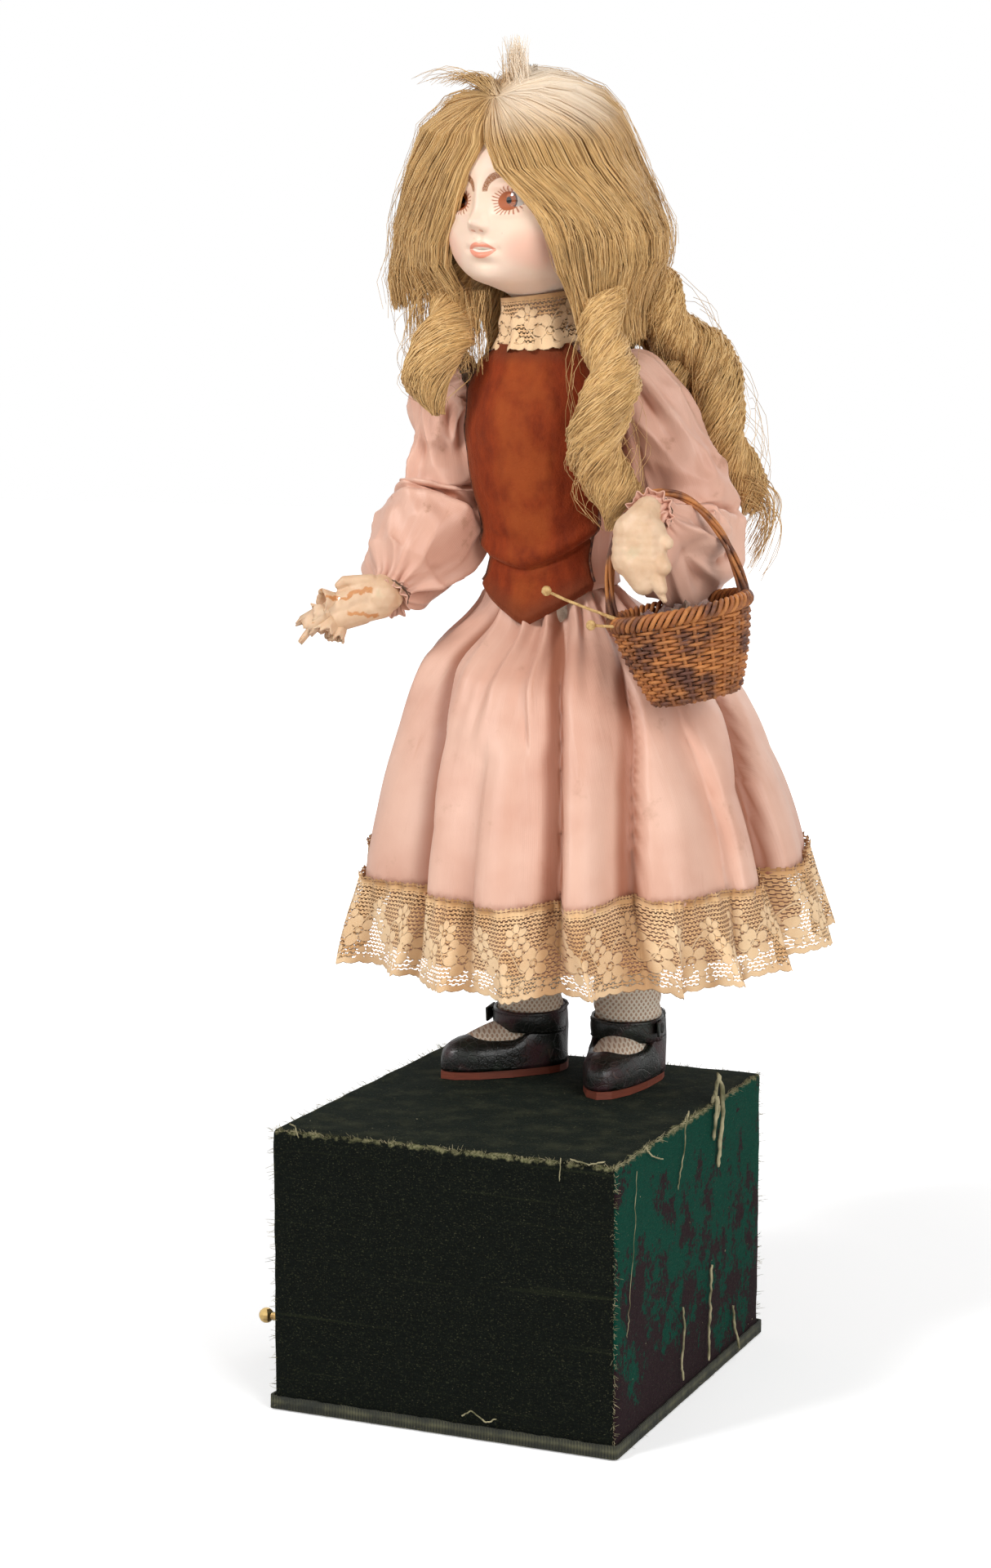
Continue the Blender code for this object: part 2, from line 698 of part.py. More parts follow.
music = make("music_cylinder", axle(cylinder, arbor_low, arbor_high, TRAIN_ARBOR_R, 12), BRASS,
             origin=(0, *cylinder))
music_facing = mesh_facing(barrel, GREAT_TEETH, 0.0, cylinder, CYLINDER_TEETH)
add(music, prism(gear_outline(cylinder, CYLINDER_TEETH, MODULE, music_facing), WHEEL_X, wheel_high))
add(music, axle(cylinder, wheel_high - 0.5, wheel_high + MUSIC_LENGTH, MUSIC_R, 14))

comb_tip = cylinder[0] - MUSIC_R - 0.6
comb_x = wheel_high + (MUSIC_LENGTH - COMB_WIDTH) / 2
comb = make("music_comb", box((comb_x, comb_tip - COMB_DEPTH, cylinder[1]),
                              (comb_x + COMB_WIDTH, comb_tip, cylinder[1] + COMB_THICK)), STEEL)
add(comb, box((comb_x + 2, comb_tip - COMB_DEPTH - 1, floor_z),
              (comb_x + COMB_WIDTH - 2, comb_tip - COMB_DEPTH + 7, cylinder[1] + 0.5)))
slit_pitch = COMB_WIDTH / COMB_TEETH
for i in range(1, COMB_TEETH):
    slit = comb_x + i * slit_pitch
    cut(comb, box((slit - 0.4, comb_tip - COMB_DEPTH + 9, cylinder[1] - 1),
                  (slit + 0.4, comb_tip + 1, cylinder[1] + COMB_THICK + 1)))

# Control wires: their lines inside the legs, and the lanes of the cams and levers below them

lean_sin = math.sin(math.radians(LEAN))
lean_cos = math.cos(math.radians(LEAN))
lever_top = LEVER_PIVOT_Z + LEVER_DEEP / 2


def figure_height(y, world_z):
    """Height up the figure of a world height, on the line at y."""
    return (world_z - PLINTH_HEIGHT - y * lean_sin) / lean_cos


def world_y(y, z):
    return FIGURE_Y + y * lean_cos - z * lean_sin


turn_line = (RIGHT_LEG_X - WIRE_SPREAD, WIRE_SPREAD)
right_line = (RIGHT_LEG_X + WIRE_SPREAD, -WIRE_SPREAD)
nod_line = (LEFT_LEG_X - WIRE_SPREAD, WIRE_SPREAD)
left_line = (LEFT_LEG_X + WIRE_SPREAD, -WIRE_SPREAD)
LINKS = (("head_turn", turn_line, 2.0), ("right_arm", right_line, 0.0),
         ("head_nod", nod_line, 0.0), ("left_arm", left_line, 0.0))

# Cam stack: four shaped discs on one bush

cam_low = turn_line[0] + FIGURE_X - CAM_THICK / 2 - 2
cam_high = left_line[0] + FIGURE_X + CAM_THICK / 2 + 2


def cam_ring(x, lobes):
    """Ring of the stack at x: the bush for no lobes, or a disc with that many lobes."""
    points = []
    for i in range(CAM_STEPS):
        turn = 2 * math.pi * i / CAM_STEPS
        radius = CAM_R - CAM_LIFT * (0.5 - 0.5 * math.cos(lobes * turn)) if lobes else CAM_BUSH_R
        points.append((x, cam[0] + radius * math.cos(turn), cam[1] + radius * math.sin(turn)))
    return points


stack_rings = [cam_ring(cam_low, 0)]
for lobes, (name, line, drop) in enumerate(LINKS, 1):
    middle = line[0] + FIGURE_X
    for side in (-1, 1):
        face = middle + side * CAM_THICK / 2
        pair = [cam_ring(face, 0), cam_ring(face, lobes)]
        stack_rings += pair if side < 0 else pair[::-1]
stack_rings.append(cam_ring(cam_high, 0))
bore_rings = [[(x, *p) for p in circle(cam, CAM_ARBOR_R + RUN, CAM_STEPS)] for x in (cam_low, cam_high)]
make("cam_stack", shell(stack_rings, bore_rings), PINE, origin=(0, *cam))

# Levers: one over each cam, with its far end under a wire

for name, line, drop in LINKS:
    x = line[0] + FIGURE_X
    reach = world_y(line[1], figure_height(line[1], lever_top)) + 4
    lever = make(f"lever_{name}", box((x - LEVER_THICK / 2, lever_pivot[0], lever_top - LEVER_DEEP),
                                      (x + LEVER_THICK / 2, reach, lever_top)), STEEL,
                 origin=(0, *lever_pivot))
    half = LEVER_THICK / 2 + 0.05
    add(lever, axle(lever_pivot, x - half, x + half, LEVER_BOSS_R, 14))
    nose_low = cam[1] + CAM_R + 0.4 + drop
    add(lever, box((x - 1.1, cam[0] - NOSE_WIDTH / 2, nose_low),
                   (x + 1.1, cam[0] + NOSE_WIDTH / 2, lever_top - 1)))
    cut(lever, axle(lever_pivot, x - 3, x + 3, LEVER_PIN_R + RUN, 12))

# Start and stop knob: slides along X through the left side

knob_x = -PLINTH_WIDTH / 2 - KNOB_STANDOFF
stem_end = -PLINTH_WIDTH / 2 + KNOB_INSIDE
knob_at = (KNOB_INSET - inner_y, KNOB_Z)
stop_pin = (STOP_PIN_Y, KNOB_Z)
knob = make("start_knob", axle(knob_at, knob_x, stem_end, KNOB_STEM_R, 12), BRASS,
            origin=(knob_x, *knob_at))
add(knob, ball((knob_x, *knob_at), KNOB_R, 10, 7))
add(knob, box((stem_end - 3, knob_at[0] - 1.3, KNOB_Z - 1.6),
              (stem_end - 0.2, STOP_PIN_Y + 1.6, KNOB_Z + 1.6)))
stop_tip = WHEEL_X - GAP - STOP_TRAVEL
add(knob, axle(stop_pin, stem_end - 1.5, stop_tip, 1.1, 10))
cut(left_board, axle(knob_at, -case_x - 1, -inner_x + 1, KNOB_STEM_R + RUN))
cut(velvet, axle(knob_at, -PLINTH_WIDTH / 2 - 1, -skin_x + 0.2, KNOB_STEM_R + RUN))
cut(left_plate, axle(stop_pin, LEFT_PLATE_X - 1, left_inner + 1, 1.1 + RUN, 12))

# Legs, socks and shoes



def leg_radius(z):
    points = ((0.0, ANKLE_R), (SOCK_LOW, ANKLE_R), (SOCK_LOW + 10, CALF_R), (100.0, CALF_R),
              (LEG_TOP, THIGH_R))
    for (z0, r0), (z1, r1) in zip(points, points[1:]):
        if z <= z1:
            return r0 + (r1 - r0) * (z - z0) / (z1 - z0)
    return points[-1][1]


def round_rings(x, levels, grow=0.0):
    return [[(*p, z) for p in circle((x, 0), leg_radius(z) + grow, LEG_SIDES)] for z in levels]


def sole_outline(grow, toe, heel, half):
    """Foot outline that points to -Y, about the ankle."""
    points = []
    for i in range(16):
        angle = 2 * math.pi * i / 16
        side = math.sin(angle)
        points.append(((half + grow) * side, ring_point(0, toe + grow, heel + grow, angle)[1]))
    return points


UPPER = (
    (0.0, 0.90, 0.97, 0.93),
    (4.5, 1.00, 1.00, 1.00),
    (10.5, 0.99, 0.91, 1.00),
    (15.5, 0.98, 0.60, 1.01),
    (20.5, 1.05, 0.41, 1.06),
)
shoe_base = PLINTH_HEIGHT + GAP
upper_base = shoe_base + SOLE_THICK + GAP

for side, leg_x, toe_out in (("right", RIGHT_LEG_X, RIGHT_TOE_OUT), ("left", LEFT_LEG_X, LEFT_TOE_OUT)):
    foot = move(FIGURE_X + leg_x, FIGURE_Y, 0) @ rotation("Z", -toe_out)
    foot_frame = empty(f"{side}_foot_frame", foot)
    sole = make(f"{side}_shoe_sole",
                prism(sole_outline(0.4, TOE_REACH, HEEL_REACH, SHOE_HALF_WIDTH - 1.2), shoe_base,
                      shoe_base + SOLE_THICK, "Z"), SOLE, foot_frame)
    rings = []
    for height, wide, toe, heel in UPPER:
        line = sole_outline(0.0, TOE_REACH * toe, HEEL_REACH * heel, SHOE_HALF_WIDTH * wide)
        rings.append([(*p, upper_base + height) for p in line])
    upper = make(f"{side}_shoe_upper", loft(rings), LEATHER, foot_frame)
    outer_side = 1 if side == "left" else -1
    ankle_hole = CALF_R + SOCK_THICK + 3 * GAP
    strap = [[(*p, z) for p in circle((leg_x, 0), ankle_hole + STRAP_THICK, 18)]
             for z in (SHOE_TOP - 1.5, SHOE_TOP - 1.5 + STRAP_HIGH)]
    add(upper, loft(strap), figure)
    button_x = leg_x + outer_side * (ankle_hole + STRAP_THICK)
    add(upper, ball((button_x, -4.0, SHOE_TOP + 0.5), BUTTON_R, 8, 5), figure)
    leg_low = figure_height(0, shoe_base + SOLE_THICK + GAP)
    for target in (sole, upper, velvet, top_board):
        cut(target, rod((leg_x, 0, -16), (leg_x, 0, leg_low + 3), WIRE_HOLE_R, 12), figure)
    cut(upper, rod((leg_x, 0, leg_low - 4), (leg_x, 0, SOCK_LOW + 3), ANKLE_R + GAP, 18), figure)
    cut(upper, rod((leg_x, 0, SOCK_LOW - GAP), (leg_x, 0, SHOE_TOP + 12), ankle_hole, 18), figure)
    tilt = math.tan(math.radians(LEAN))
    levels = (leg_low, SOCK_LOW, SOCK_LOW + 10, 100.0, LEG_TOP - GAP)
    outer = round_rings(leg_x, levels)
    inner = [[(*p, z) for p in circle((leg_x, 0), LEG_BORE_R, LEG_SIDES)] for z in (leg_low, LEG_TOP - GAP)]
    for ring in (outer, inner):
        ring[0] = [(px, py, leg_low - py * tilt) for px, py, pz in ring[0]]
    make(f"{side}_leg", shell(outer, inner), PULP, figure)
    sock_levels = (SOCK_LOW, SOCK_LOW + 10, 100.0, SOCK_HIGH)
    make(f"{side}_sock", shell(round_rings(leg_x, sock_levels, GAP + SOCK_THICK),
                               round_rings(leg_x, sock_levels, GAP)), COTTON, figure)

# Trunk, bodice and skirt share the trunk's section


def section(table, z):
    """Half width, front and back of a table of sections at a height."""
    if z <= table[0][0]:
        return table[0][1:]
    for low, high in zip(table, table[1:]):
        if z <= high[0]:
            share = (z - low[0]) / (high[0] - low[0])
            share = share * share * (3 - 2 * share) * 0.5 + share * 0.5
            return tuple(low[i] + (high[i] - low[i]) * share for i in (1, 2, 3))
    return table[-1][1:]


def oval(table, z, grow, count, height=None):
    ring = []
    for i in range(count):
        angle = 2 * math.pi * i / count
        level = z if height is None else height(angle)
        a, f, b = section(table, level)
        ring.append((*ring_point(a + grow, f + grow, b + grow, angle), level))
    return ring


levels = [row[0] for row in TRUNK]
outer = [oval(TRUNK, z, 0, TRUNK_SIDES) for z in levels]
trunk = make("trunk", loft(outer), PULP, figure)
hollow = (levels[0] + TRUNK_FLOOR, 170.0, 204.0, 216.0, 250.0, 280.0, levels[-1] - NECK_PLATE)
cut(trunk, loft([oval(TRUNK, z, -TRUNK_WALL, 12) for z in hollow]), figure)
cut(trunk, rod((0, 0, 280), (0, 0, 310), NECK_TUBE_R + RUN, 20), figure)
for leg_x in (RIGHT_LEG_X, LEFT_LEG_X):
    cut(trunk, rod((leg_x, 0, LEG_TOP - 5), (leg_x, 0, LEG_TOP + 6), WIRE_HOLE_R, 12), figure)
shaft_cut = rod((-60, 0, SHOULDER_Z), (60, 0, SHOULDER_Z), SHAFT_R + RUN, 12)
cut(trunk, shaft_cut, figure)


def bodice_edge(angle):
    front = max(0.0, math.cos(angle)) ** 6
    return BODICE_LOW - BODICE_POINT * front


bodice_levels = [row[0] for row in TRUNK if row[0] > BODICE_LOW + 4]
outer = [oval(TRUNK, BODICE_LOW, BODICE_EASE + BODICE_THICK, BODICE_SIDES, bodice_edge)]
inner = [oval(TRUNK, BODICE_LOW, BODICE_EASE, BODICE_SIDES, bodice_edge)]
outer += [oval(TRUNK, z, BODICE_EASE + BODICE_THICK, BODICE_SIDES) for z in bodice_levels]
inner += [oval(TRUNK, z, BODICE_EASE, BODICE_SIDES) for z in bodice_levels]
bodice = make("bodice", shell(outer, inner), RUST, figure)
cut(bodice, rod((-60, 0, SHOULDER_Z), (60, 0, SHOULDER_Z), SHAFT_R + RUN, 12), figure)


def skirt_shift(z):
    """The skirt swings to the doll's left as it falls."""
    left = max(0.0, 1 - (BODICE_LOW - z) / (BODICE_LOW - SKIRT_HEM_Z))
    return SKIRT_SHIFT_X * (1 - left * left)


def smooth_step(value):
    value = min(max(value, 0.0), 1.0)
    return value * value * (3 - 2 * value)


def skirt_radius(angle, drop):
    """Radius of the bell at a share of the way down, with its folds."""
    share = 0.5 * math.sqrt(drop) + 0.5 * (1 - (1 - drop) ** 1.7)
    fold = math.cos(SKIRT_FOLDS * angle + 0.8 * math.sin(2 * angle))
    return SKIRT_WAIST_R + (SKIRT_HEM_R - SKIRT_WAIST_R) * share + SKIRT_FOLD_DEEP * drop ** 1.2 * fold


def skirt_ring(drop, grow):
    """Ring of the satin skirt: drop runs from 0 at the bodice's edge to 1 at the hem."""
    ring = []
    for i in range(SKIRT_SIDES):
        angle = 2 * math.pi * i / SKIRT_SIDES
        top = bodice_edge(angle) - 2 * GAP
        z = top + (SKIRT_HEM_Z - top) * drop
        bell = skirt_radius(angle, drop) - SKIRT_THICK
        blend = smooth_step(drop / 0.25)
        reach = (r + GAP + (bell - r - GAP) * blend + grow for r in section(TRUNK, z))
        x, y = ring_point(*reach, angle)
        ring.append((x + skirt_shift(z), y, z))
    return ring


skirt_drops = (0.0, 0.08, 0.22, 0.45, 0.72, 1.0)
make("skirt", shell([skirt_ring(drop, SKIRT_THICK) for drop in skirt_drops],
                    [skirt_ring(drop, 0.0) for drop in skirt_drops]), SATIN, figure)


def lining_ring(z, grow):
    share = ((LINING_TOP_Z - z) / (LINING_TOP_Z - LINING_LOW_Z)) ** 1.15
    reach = [r + LINING_EASE + (LINING_LOW_R - r - LINING_EASE) * share + grow for r in section(TRUNK, z)]
    ring = []
    for i in range(LINING_SIDES):
        x, y = ring_point(*reach, 2 * math.pi * i / LINING_SIDES)
        ring.append((x + skirt_shift(z) * share, y, z))
    return ring


lining_levels = (LINING_TOP_Z, 160.0, 118.0, LINING_LOW_Z)
make("skirt_lining", shell([lining_ring(z, LINING_THICK) for z in lining_levels],
                           [lining_ring(z, 0.0) for z in lining_levels]), LINING, figure)

lace_top = SKIRT_HEM_Z - GAP


def lace_ring(z, grow):
    """Ring of the flounce, which is sewn to the satin's hem and hangs in its own ruffles."""
    share = (lace_top - z) / (lace_top - LACE_HEM_Z)
    ring = []
    for i in range(LACE_SIDES):
        angle = 2 * math.pi * i / LACE_SIDES
        start = skirt_radius(angle, 1.0) - LACE_THICK
        ruffle = LACE_FOLD_DEEP * share * math.cos(LACE_FOLDS * angle)
        reach = start + (LACE_HEM_R - LACE_THICK - start) * share + ruffle + grow
        x, y = ring_point(reach, reach, reach, angle)
        ring.append((x + skirt_shift(z), y, z))
    return ring


lace_levels = (lace_top, 78.0, LACE_HEM_Z)
make("lace_flounce", shell([lace_ring(z, LACE_THICK) for z in lace_levels],
                           [lace_ring(z, 0.0) for z in lace_levels]), LACE, figure)

# Lace collar stands on the bodice's neckline

collar_low = TRUNK[-1][0] + GAP
collar_rings = []
for grow in (COLLAR_THICK, 0.0):
    foot_ring = oval(TRUNK, TRUNK[-1][0], GAP + grow, 24)
    rim_ring = [(*ring_point(*(3 * (COLLAR_R - COLLAR_THICK + grow,)), 2 * math.pi * i / 24),
                 COLLAR_HIGH) for i in range(24)]
    half_ring = [tuple((p[k] + q[k]) / 2 for k in (0, 1)) + (collar_low + 4,)
                 for p, q in zip(foot_ring, rim_ring)]
    foot_ring = [(p[0], p[1], collar_low) for p in foot_ring]
    collar_rings.append([foot_ring, half_ring, rim_ring])
make("lace_collar", shell(*collar_rings), LACE, figure)

# Arms: a steel shaft and crank in the trunk, an arm inside a puffed sleeve, and a bisque hand

RIGHT_ARM = (
    (-SLEEVE_START, 0.0, SHOULDER_Z, 9.0),
    (-38.5, 0.0, SHOULDER_Z, 10.4),
    (-43.5, 0.0, 272.0, 10.0),
    (-44.3, 1.0, 260.0, 11.0),
    (-45.0, 1.0, 248.0, 13.0),
    (-48.0, -3.0, 235.0, 15.5),
    (-52.0, -16.0, 222.0, 15.0),
    (-54.0, -28.0, 211.0, 12.0),
    (-53.5, -37.0, 204.0, 7.0),
)
LEFT_ARM = (
    (SLEEVE_START, 0.0, SHOULDER_Z, 9.0),
    (38.5, 0.0, SHOULDER_Z, 10.4),
    (43.5, 0.0, 272.0, 10.0),
    (46.5, 0.0, 263.0, 12.8),
    (50.5, 1.0, 250.0, 14.5),
    (54.0, 2.0, 240.0, 15.5),
    (58.0, 1.0, 229.0, 15.5),
    (61.0, -8.0, 219.0, 14.5),
    (61.5, -22.0, 225.0, 13.0),
    (61.0, -34.0, 232.0, 10.5),
    (60.0, -45.0, 237.5, 7.0),
)
SHOULDER = (0, 0, SHOULDER_Z)


def hand(name, arm, bend, tip, palm_side, curl):
    """Bisque hand that goes on from the arm's end for a length bend, then runs to its tip."""
    end = Vector(arm[-1][:3])
    way = (end - Vector(arm[-2][:3])).normalized()
    wrist = end + way * (GAP + bend)
    along = Vector(tip) - wrist
    length = along.length
    along.normalize()
    face = Vector(palm_side)
    face = (face - along * face.dot(along)).normalized()
    across = face.cross(along)

    def at(x, y, z):
        return wrist + across * x + face * y + along * z

    def palm_ring(z, wide, deep):
        return [at(wide * math.cos(a), deep * math.sin(a), z)
                for a in (2 * math.pi * i / 12 for i in range(12))]

    made = make(name, tube_path([end + way * GAP, wrist, at(0, 0, 7)], (5.0, 5.2, 4.6), 10), BISQUE,
                figure, SHOULDER)
    add(made, loft([palm_ring(z, *size) for z, size in
                    ((2, (4.6, 3.6)), (7, (6.6, 4.6)), (13, (8.2, 5.0)), (18, (8.0, 4.4)))]), figure)
    for x, reach in ((-6.0, 0.86), (-2.0, 1.0), (2.0, 0.97), (6.0, 0.80)):
        last = 18 + (length - 18) * reach
        add(made, tube_path([at(x, 0, 15), at(x, curl * 0.4, 21), at(x * 1.1, curl, last)],
                            (2.1, 2.0, 1.5), 6), figure)
    add(made, tube_path([at(4, 1, 5), at(10, curl * 0.5 + 1, 11), at(10.5, curl, 17)],
                        (2.6, 2.4, 1.8), 6), figure)
    return made


for side, sign, path in (("right", -1, RIGHT_ARM), ("left", 1, LEFT_ARM)):
    points = [row[:3] for row in path]
    make(f"{side}_sleeve", tube_path(points, [row[3] for row in path], 12, SLEEVE_BORE_R), SATIN,
         figure, SHOULDER)
    arm = make(f"{side}_arm", tube_path(points, [ARM_R] * len(points), 8), PULP, figure, SHOULDER)
    add(arm, rod((sign * (CRANK_X - 4), 0, SHOULDER_Z), (sign * (SLEEVE_START + 2), 0, SHOULDER_Z),
                 SHAFT_R, 14), figure)
    low_x, high_x = sorted((sign * (CRANK_X - 1.6), sign * (CRANK_X + 1.6)))
    add(arm, box((low_x, -CRANK_REACH - 1.5, SHOULDER_Z - CRANK_THICK / 2),
                 (high_x, 0, SHOULDER_Z + CRANK_THICK / 2)), figure)

hand("right_hand", RIGHT_ARM, 3.5, (-77.0, -65.0, 193.0), (0.3, 0.2, -1.0), 3.0)
hand("left_hand", LEFT_ARM, 7.0, (58.5, -58.0, 207.0), (-0.3, 0.9, 0.0), 4.0)

# Basket hanging on the left forearm, with its handle and dried flowers

basket_z = (
    (-HANDLE_RISE - BASKET_DEEP, 0.0),
    (-HANDLE_RISE - BASKET_DEEP + 4, 0.22),
    (-HANDLE_RISE - BASKET_DEEP * 0.55, 0.62),
    (-HANDLE_RISE - 5.0, 0.94),
    (-HANDLE_RISE - 2.5, 1.06),
    (-HANDLE_RISE, 1.0),
)


def basket_ring(z, share, shrink, sides=BASKET_SIDES):
    radius = BASKET_BASE_R + (BASKET_R - BASKET_BASE_R) * share - shrink
    return [(*p, z) for p in circle((0, 0), radius, sides)]


outer = [basket_ring(z, share, 0.0) for z, share in basket_z]
inner = [basket_ring(z + (BASKET_WALL if i == 0 else 0), min(share, 1.0), BASKET_WALL)
         for i, (z, share) in enumerate(basket_z)]
hang_at = (0, 0, 0)
make("basket", loft(outer + inner[::-1]), WICKER, hang_frame, hang_at)
arch_r = BASKET_R - BASKET_WALL / 2
arch_turns = [math.pi * i / ARCH_STEPS for i in range(ARCH_STEPS + 1)]
arch_rise = HANDLE_RISE - GAP
arch = [(-arch_r * math.cos(a), 0, arch_rise * (math.sin(a) - 1)) for a in arch_turns]
make("basket_handle", tube_path(arch, [HANDLE_R] * len(arch), 7), WICKER, hang_frame, hang_at)

heap_in = BASKET_WALL + 3 * GAP
heap = [basket_ring(z + (BASKET_WALL + GAP if i == 0 else 0), share, heap_in, 14)
        for i, (z, share) in enumerate(basket_z[:4])]
heap.append(basket_ring(-HANDLE_RISE - 3.0, 0.7, heap_in, 14))
heap.append(basket_ring(-HANDLE_RISE - 1.5, 0.0, BASKET_WALL + 4, 14))
flowers = make("dried_flowers", loft(heap), PETAL, hang_frame, hang_at)
for start, end in (((-14, -6, -48), (-47.2, -5, -26.8)), ((-6, -9, -47), (-33.7, -11, -42.3))):
    add(flowers, rod(start, end, STAMEN_R, 6), hang_frame)
    add(flowers, ball(end, STAMEN_TIP_R, 6, 5), hang_frame)

# Neck shaft: turns in the trunk, with a crank below and the nod pivot's yoke on top

neck_top = NOD_Z - 5.0
neck = make("neck_shaft", rod((0, 0, NECK_TUBE_LOW), (0, 0, neck_top - 1), NECK_TUBE_R, 16), BRASS,
            head_frame, (0, 0, TRUNK[-1][0]))
add(neck, rod((0, 0, TRUNK[-1][0] + GAP), (0, 0, TRUNK[-1][0] + GAP + 2), NECK_TUBE_R + 3, 16), head_frame)
add(neck, box((-2, 0, NECK_CRANK_Z - 1.5), (2, NECK_PIN_REACH + 1.5, NECK_CRANK_Z + 1.5)), head_frame)
add(neck, rod((0, NECK_PIN_REACH, NECK_CRANK_Z), (0, NECK_PIN_REACH, NECK_CRANK_Z - NECK_PIN_DROP),
              NECK_PIN_R, 8), head_frame)
add(neck, box((-NOD_YOKE_HALF, NOD_Y - 3, neck_top - 3), (NOD_YOKE_HALF, 5, neck_top)), head_frame)
for low, high in ((-NOD_YOKE_HALF, -NOD_LUG_HALF - RUN), (NOD_LUG_HALF + RUN, NOD_YOKE_HALF)):
    add(neck, box((low, NOD_Y - 2.9, neck_top - 1), (high, NOD_Y + 3, NOD_Z + 3)), head_frame)
add(neck, rod((-NOD_YOKE_HALF + 1, NOD_Y, NOD_Z), (NOD_YOKE_HALF - 1, NOD_Y, NOD_Z), NOD_PIN_R, 10),
    head_frame)
cut(neck, rod((0, 0, NECK_TUBE_LOW - 1), (0, 0, neck_top + 1), NECK_BORE_R, 12), head_frame)

# Head: bisque shell, the block that it nods on, glass eyes and the wig

NOD_PIVOT = (0, NOD_Y, NOD_Z)


def head_ring(z, count, grow, nose):
    """Ring of the head; the nose stands out at the front."""
    ring = []
    a, f, b = section(HEAD, z)
    for i in range(count):
        angle = 2 * math.pi * i / count
        off = math.atan2(math.sin(angle), math.cos(angle)) - math.radians(FACE_TURN)
        out = nose * math.exp(-(off / 0.13) ** 2 - ((z - NOSE_Z) / 5.0) ** 2)
        ring.append((*ring_point(a + grow, f + grow + out, b + grow, angle), z))
    return ring


head_levels = [row[0] for row in HEAD] + [341.0, 351.0]
head_levels.sort()
head = make("head_shell", loft([head_ring(z, HEAD_SIDES, 0.0, NOSE_OUT) for z in head_levels]), BISQUE,
            head_frame, NOD_PIVOT, 60)
hollow = (head_levels[0] - 1, 315.0, 323.0, 337.0, 356.0, 370.0, 385.5, head_levels[-1] + 1)
cut(head, loft([head_ring(z, 12, -HEAD_WALL, 0.0) for z in hollow]), head_frame)
face_x = section(HEAD, EYE_Z)[1] * math.sin(math.radians(FACE_TURN))
for eye_x in (face_x - EYE_X, face_x + EYE_X):
    lid = [(eye_x + EYE_OPEN_R * math.cos(a), EYE_Z + 0.62 * EYE_OPEN_R * math.sin(a))
           for a in (2 * math.pi * i / 14 for i in range(14))]
    cut(head, prism(lid, -48.0, -24.0, "Y"), head_frame)

block_low = neck_top + 1.9
block_half = section(HEAD, NOD_Z + 3)[0] - HEAD_WALL - BLOCK_EASE
block = make("head_block", box((-NOD_LUG_HALF, NOD_Y - 4, block_low), (NOD_LUG_HALF, 5, NOD_Z + 4)),
             PINE, head_frame, NOD_PIVOT)
add(block, box((-block_half, -4, NOD_Z + 3), (block_half, 4, NOD_Z + 7)), head_frame)
cut(block, rod((-20, NOD_Y, NOD_Z), (20, NOD_Y, NOD_Z), NOD_PIN_R + RUN, 14), head_frame)

eye_half, eye_front = (reach - HEAD_WALL for reach in section(HEAD, EYE_Z)[:2])
balls = []
for eye_x in (face_x - EYE_X, face_x + EYE_X):
    eye_y = EYE_R + EYE_SET_BACK - eye_front * math.sqrt(1 - (eye_x / eye_half) ** 2)
    balls.append((eye_x, eye_y, EYE_Z))
eyes = make("glass_eyes", ball(balls[0], EYE_R, 8, 6), GLASS, head_frame, NOD_PIVOT)
add(eyes, ball(balls[1], EYE_R, 8, 6), head_frame)
add(eyes, rod(*[(x, y + 2, z) for x, y, z in balls], 1.6, 8), head_frame)


def wig_ring(z):
    """Ring of the wig, with the fuller locks in front of the right shoulder."""
    ring = []
    for i, (x, y, height) in enumerate(oval(WIG, z, 0, WIG_SIDES)):
        off = 2 * math.pi * i / WIG_SIDES - math.radians(WIG_FLARE_AT)
        off = math.atan2(math.sin(off), math.cos(off))
        out = 1 + WIG_FLARE * math.exp(-(off / 0.55) ** 2) * smooth_step((WIG_FLARE_TOP - z) / 45)
        ring.append((x * out, y * out, height))
    return ring


wig = make("wig_crown", loft([wig_ring(row[0]) for row in WIG]), MOHAIR, head_frame, NOD_PIVOT, 60)
scalp = [oval(HEAD, z, WIG_GAP, 16) for z in (329.0, 337.0, 346.0, 356.0, 366.0, 377.0, 385.5, 391.0)]
scalp.insert(0, [(x, y, WIG[0][0] - 5) for x, y, z in scalp[0]])
scalp.append([(x, y, HEAD[-1][0] + WIG_GAP) for x, y, z in scalp[-1]])
cut(wig, loft(scalp), head_frame)
face_low = 300.0
face_half = (FACE_TOP_Z - face_low) / 2
opening = [(FACE_HALF_WIDTH * math.cos(a), face_low + face_half + face_half * math.sin(a))
           for a in (2 * math.pi * i / 18 for i in range(18))]
cut(wig, prism(opening, -60.0, -11.0, "Y"), head_frame)

# Hair below the head lies on the shoulders and the back, so it stays with the trunk

arc = []
for degrees in range(-126, 127, 18):
    angle = math.radians(degrees)
    spoke = (math.sin(angle), math.cos(angle))
    near = COLLAR_R + FALL_ROOM
    arc.append([(spoke[0] * r, spoke[1] * r, z) for r, z in
                ((near, FALL_SHELF_Z), (FALL_R, FALL_SHELF_Z), (FALL_R, FALL_TOP_Z - FALL_ROUND),
                 (FALL_R - 2 * FALL_ROUND, FALL_TOP_Z), (near + FALL_ROUND, FALL_TOP_Z))])
hair = make("hanging_hair", loft(arc), MOHAIR, figure, (0, 0, 0), 60)
back_y = max(row[3] for row in TRUNK if row[0] > 240.0) + BODICE_EASE + BODICE_THICK + GAP
FALL = ((310.0, -38.0, 38.0, 14.0), (296.0, -44.0, 58.0, 16.0), (270.0, -36.0, 72.0, 14.0),
        (250.0, -20.0, 76.0, 11.0), (232.0, 10.0, 74.0, 6.0))
sheet = []
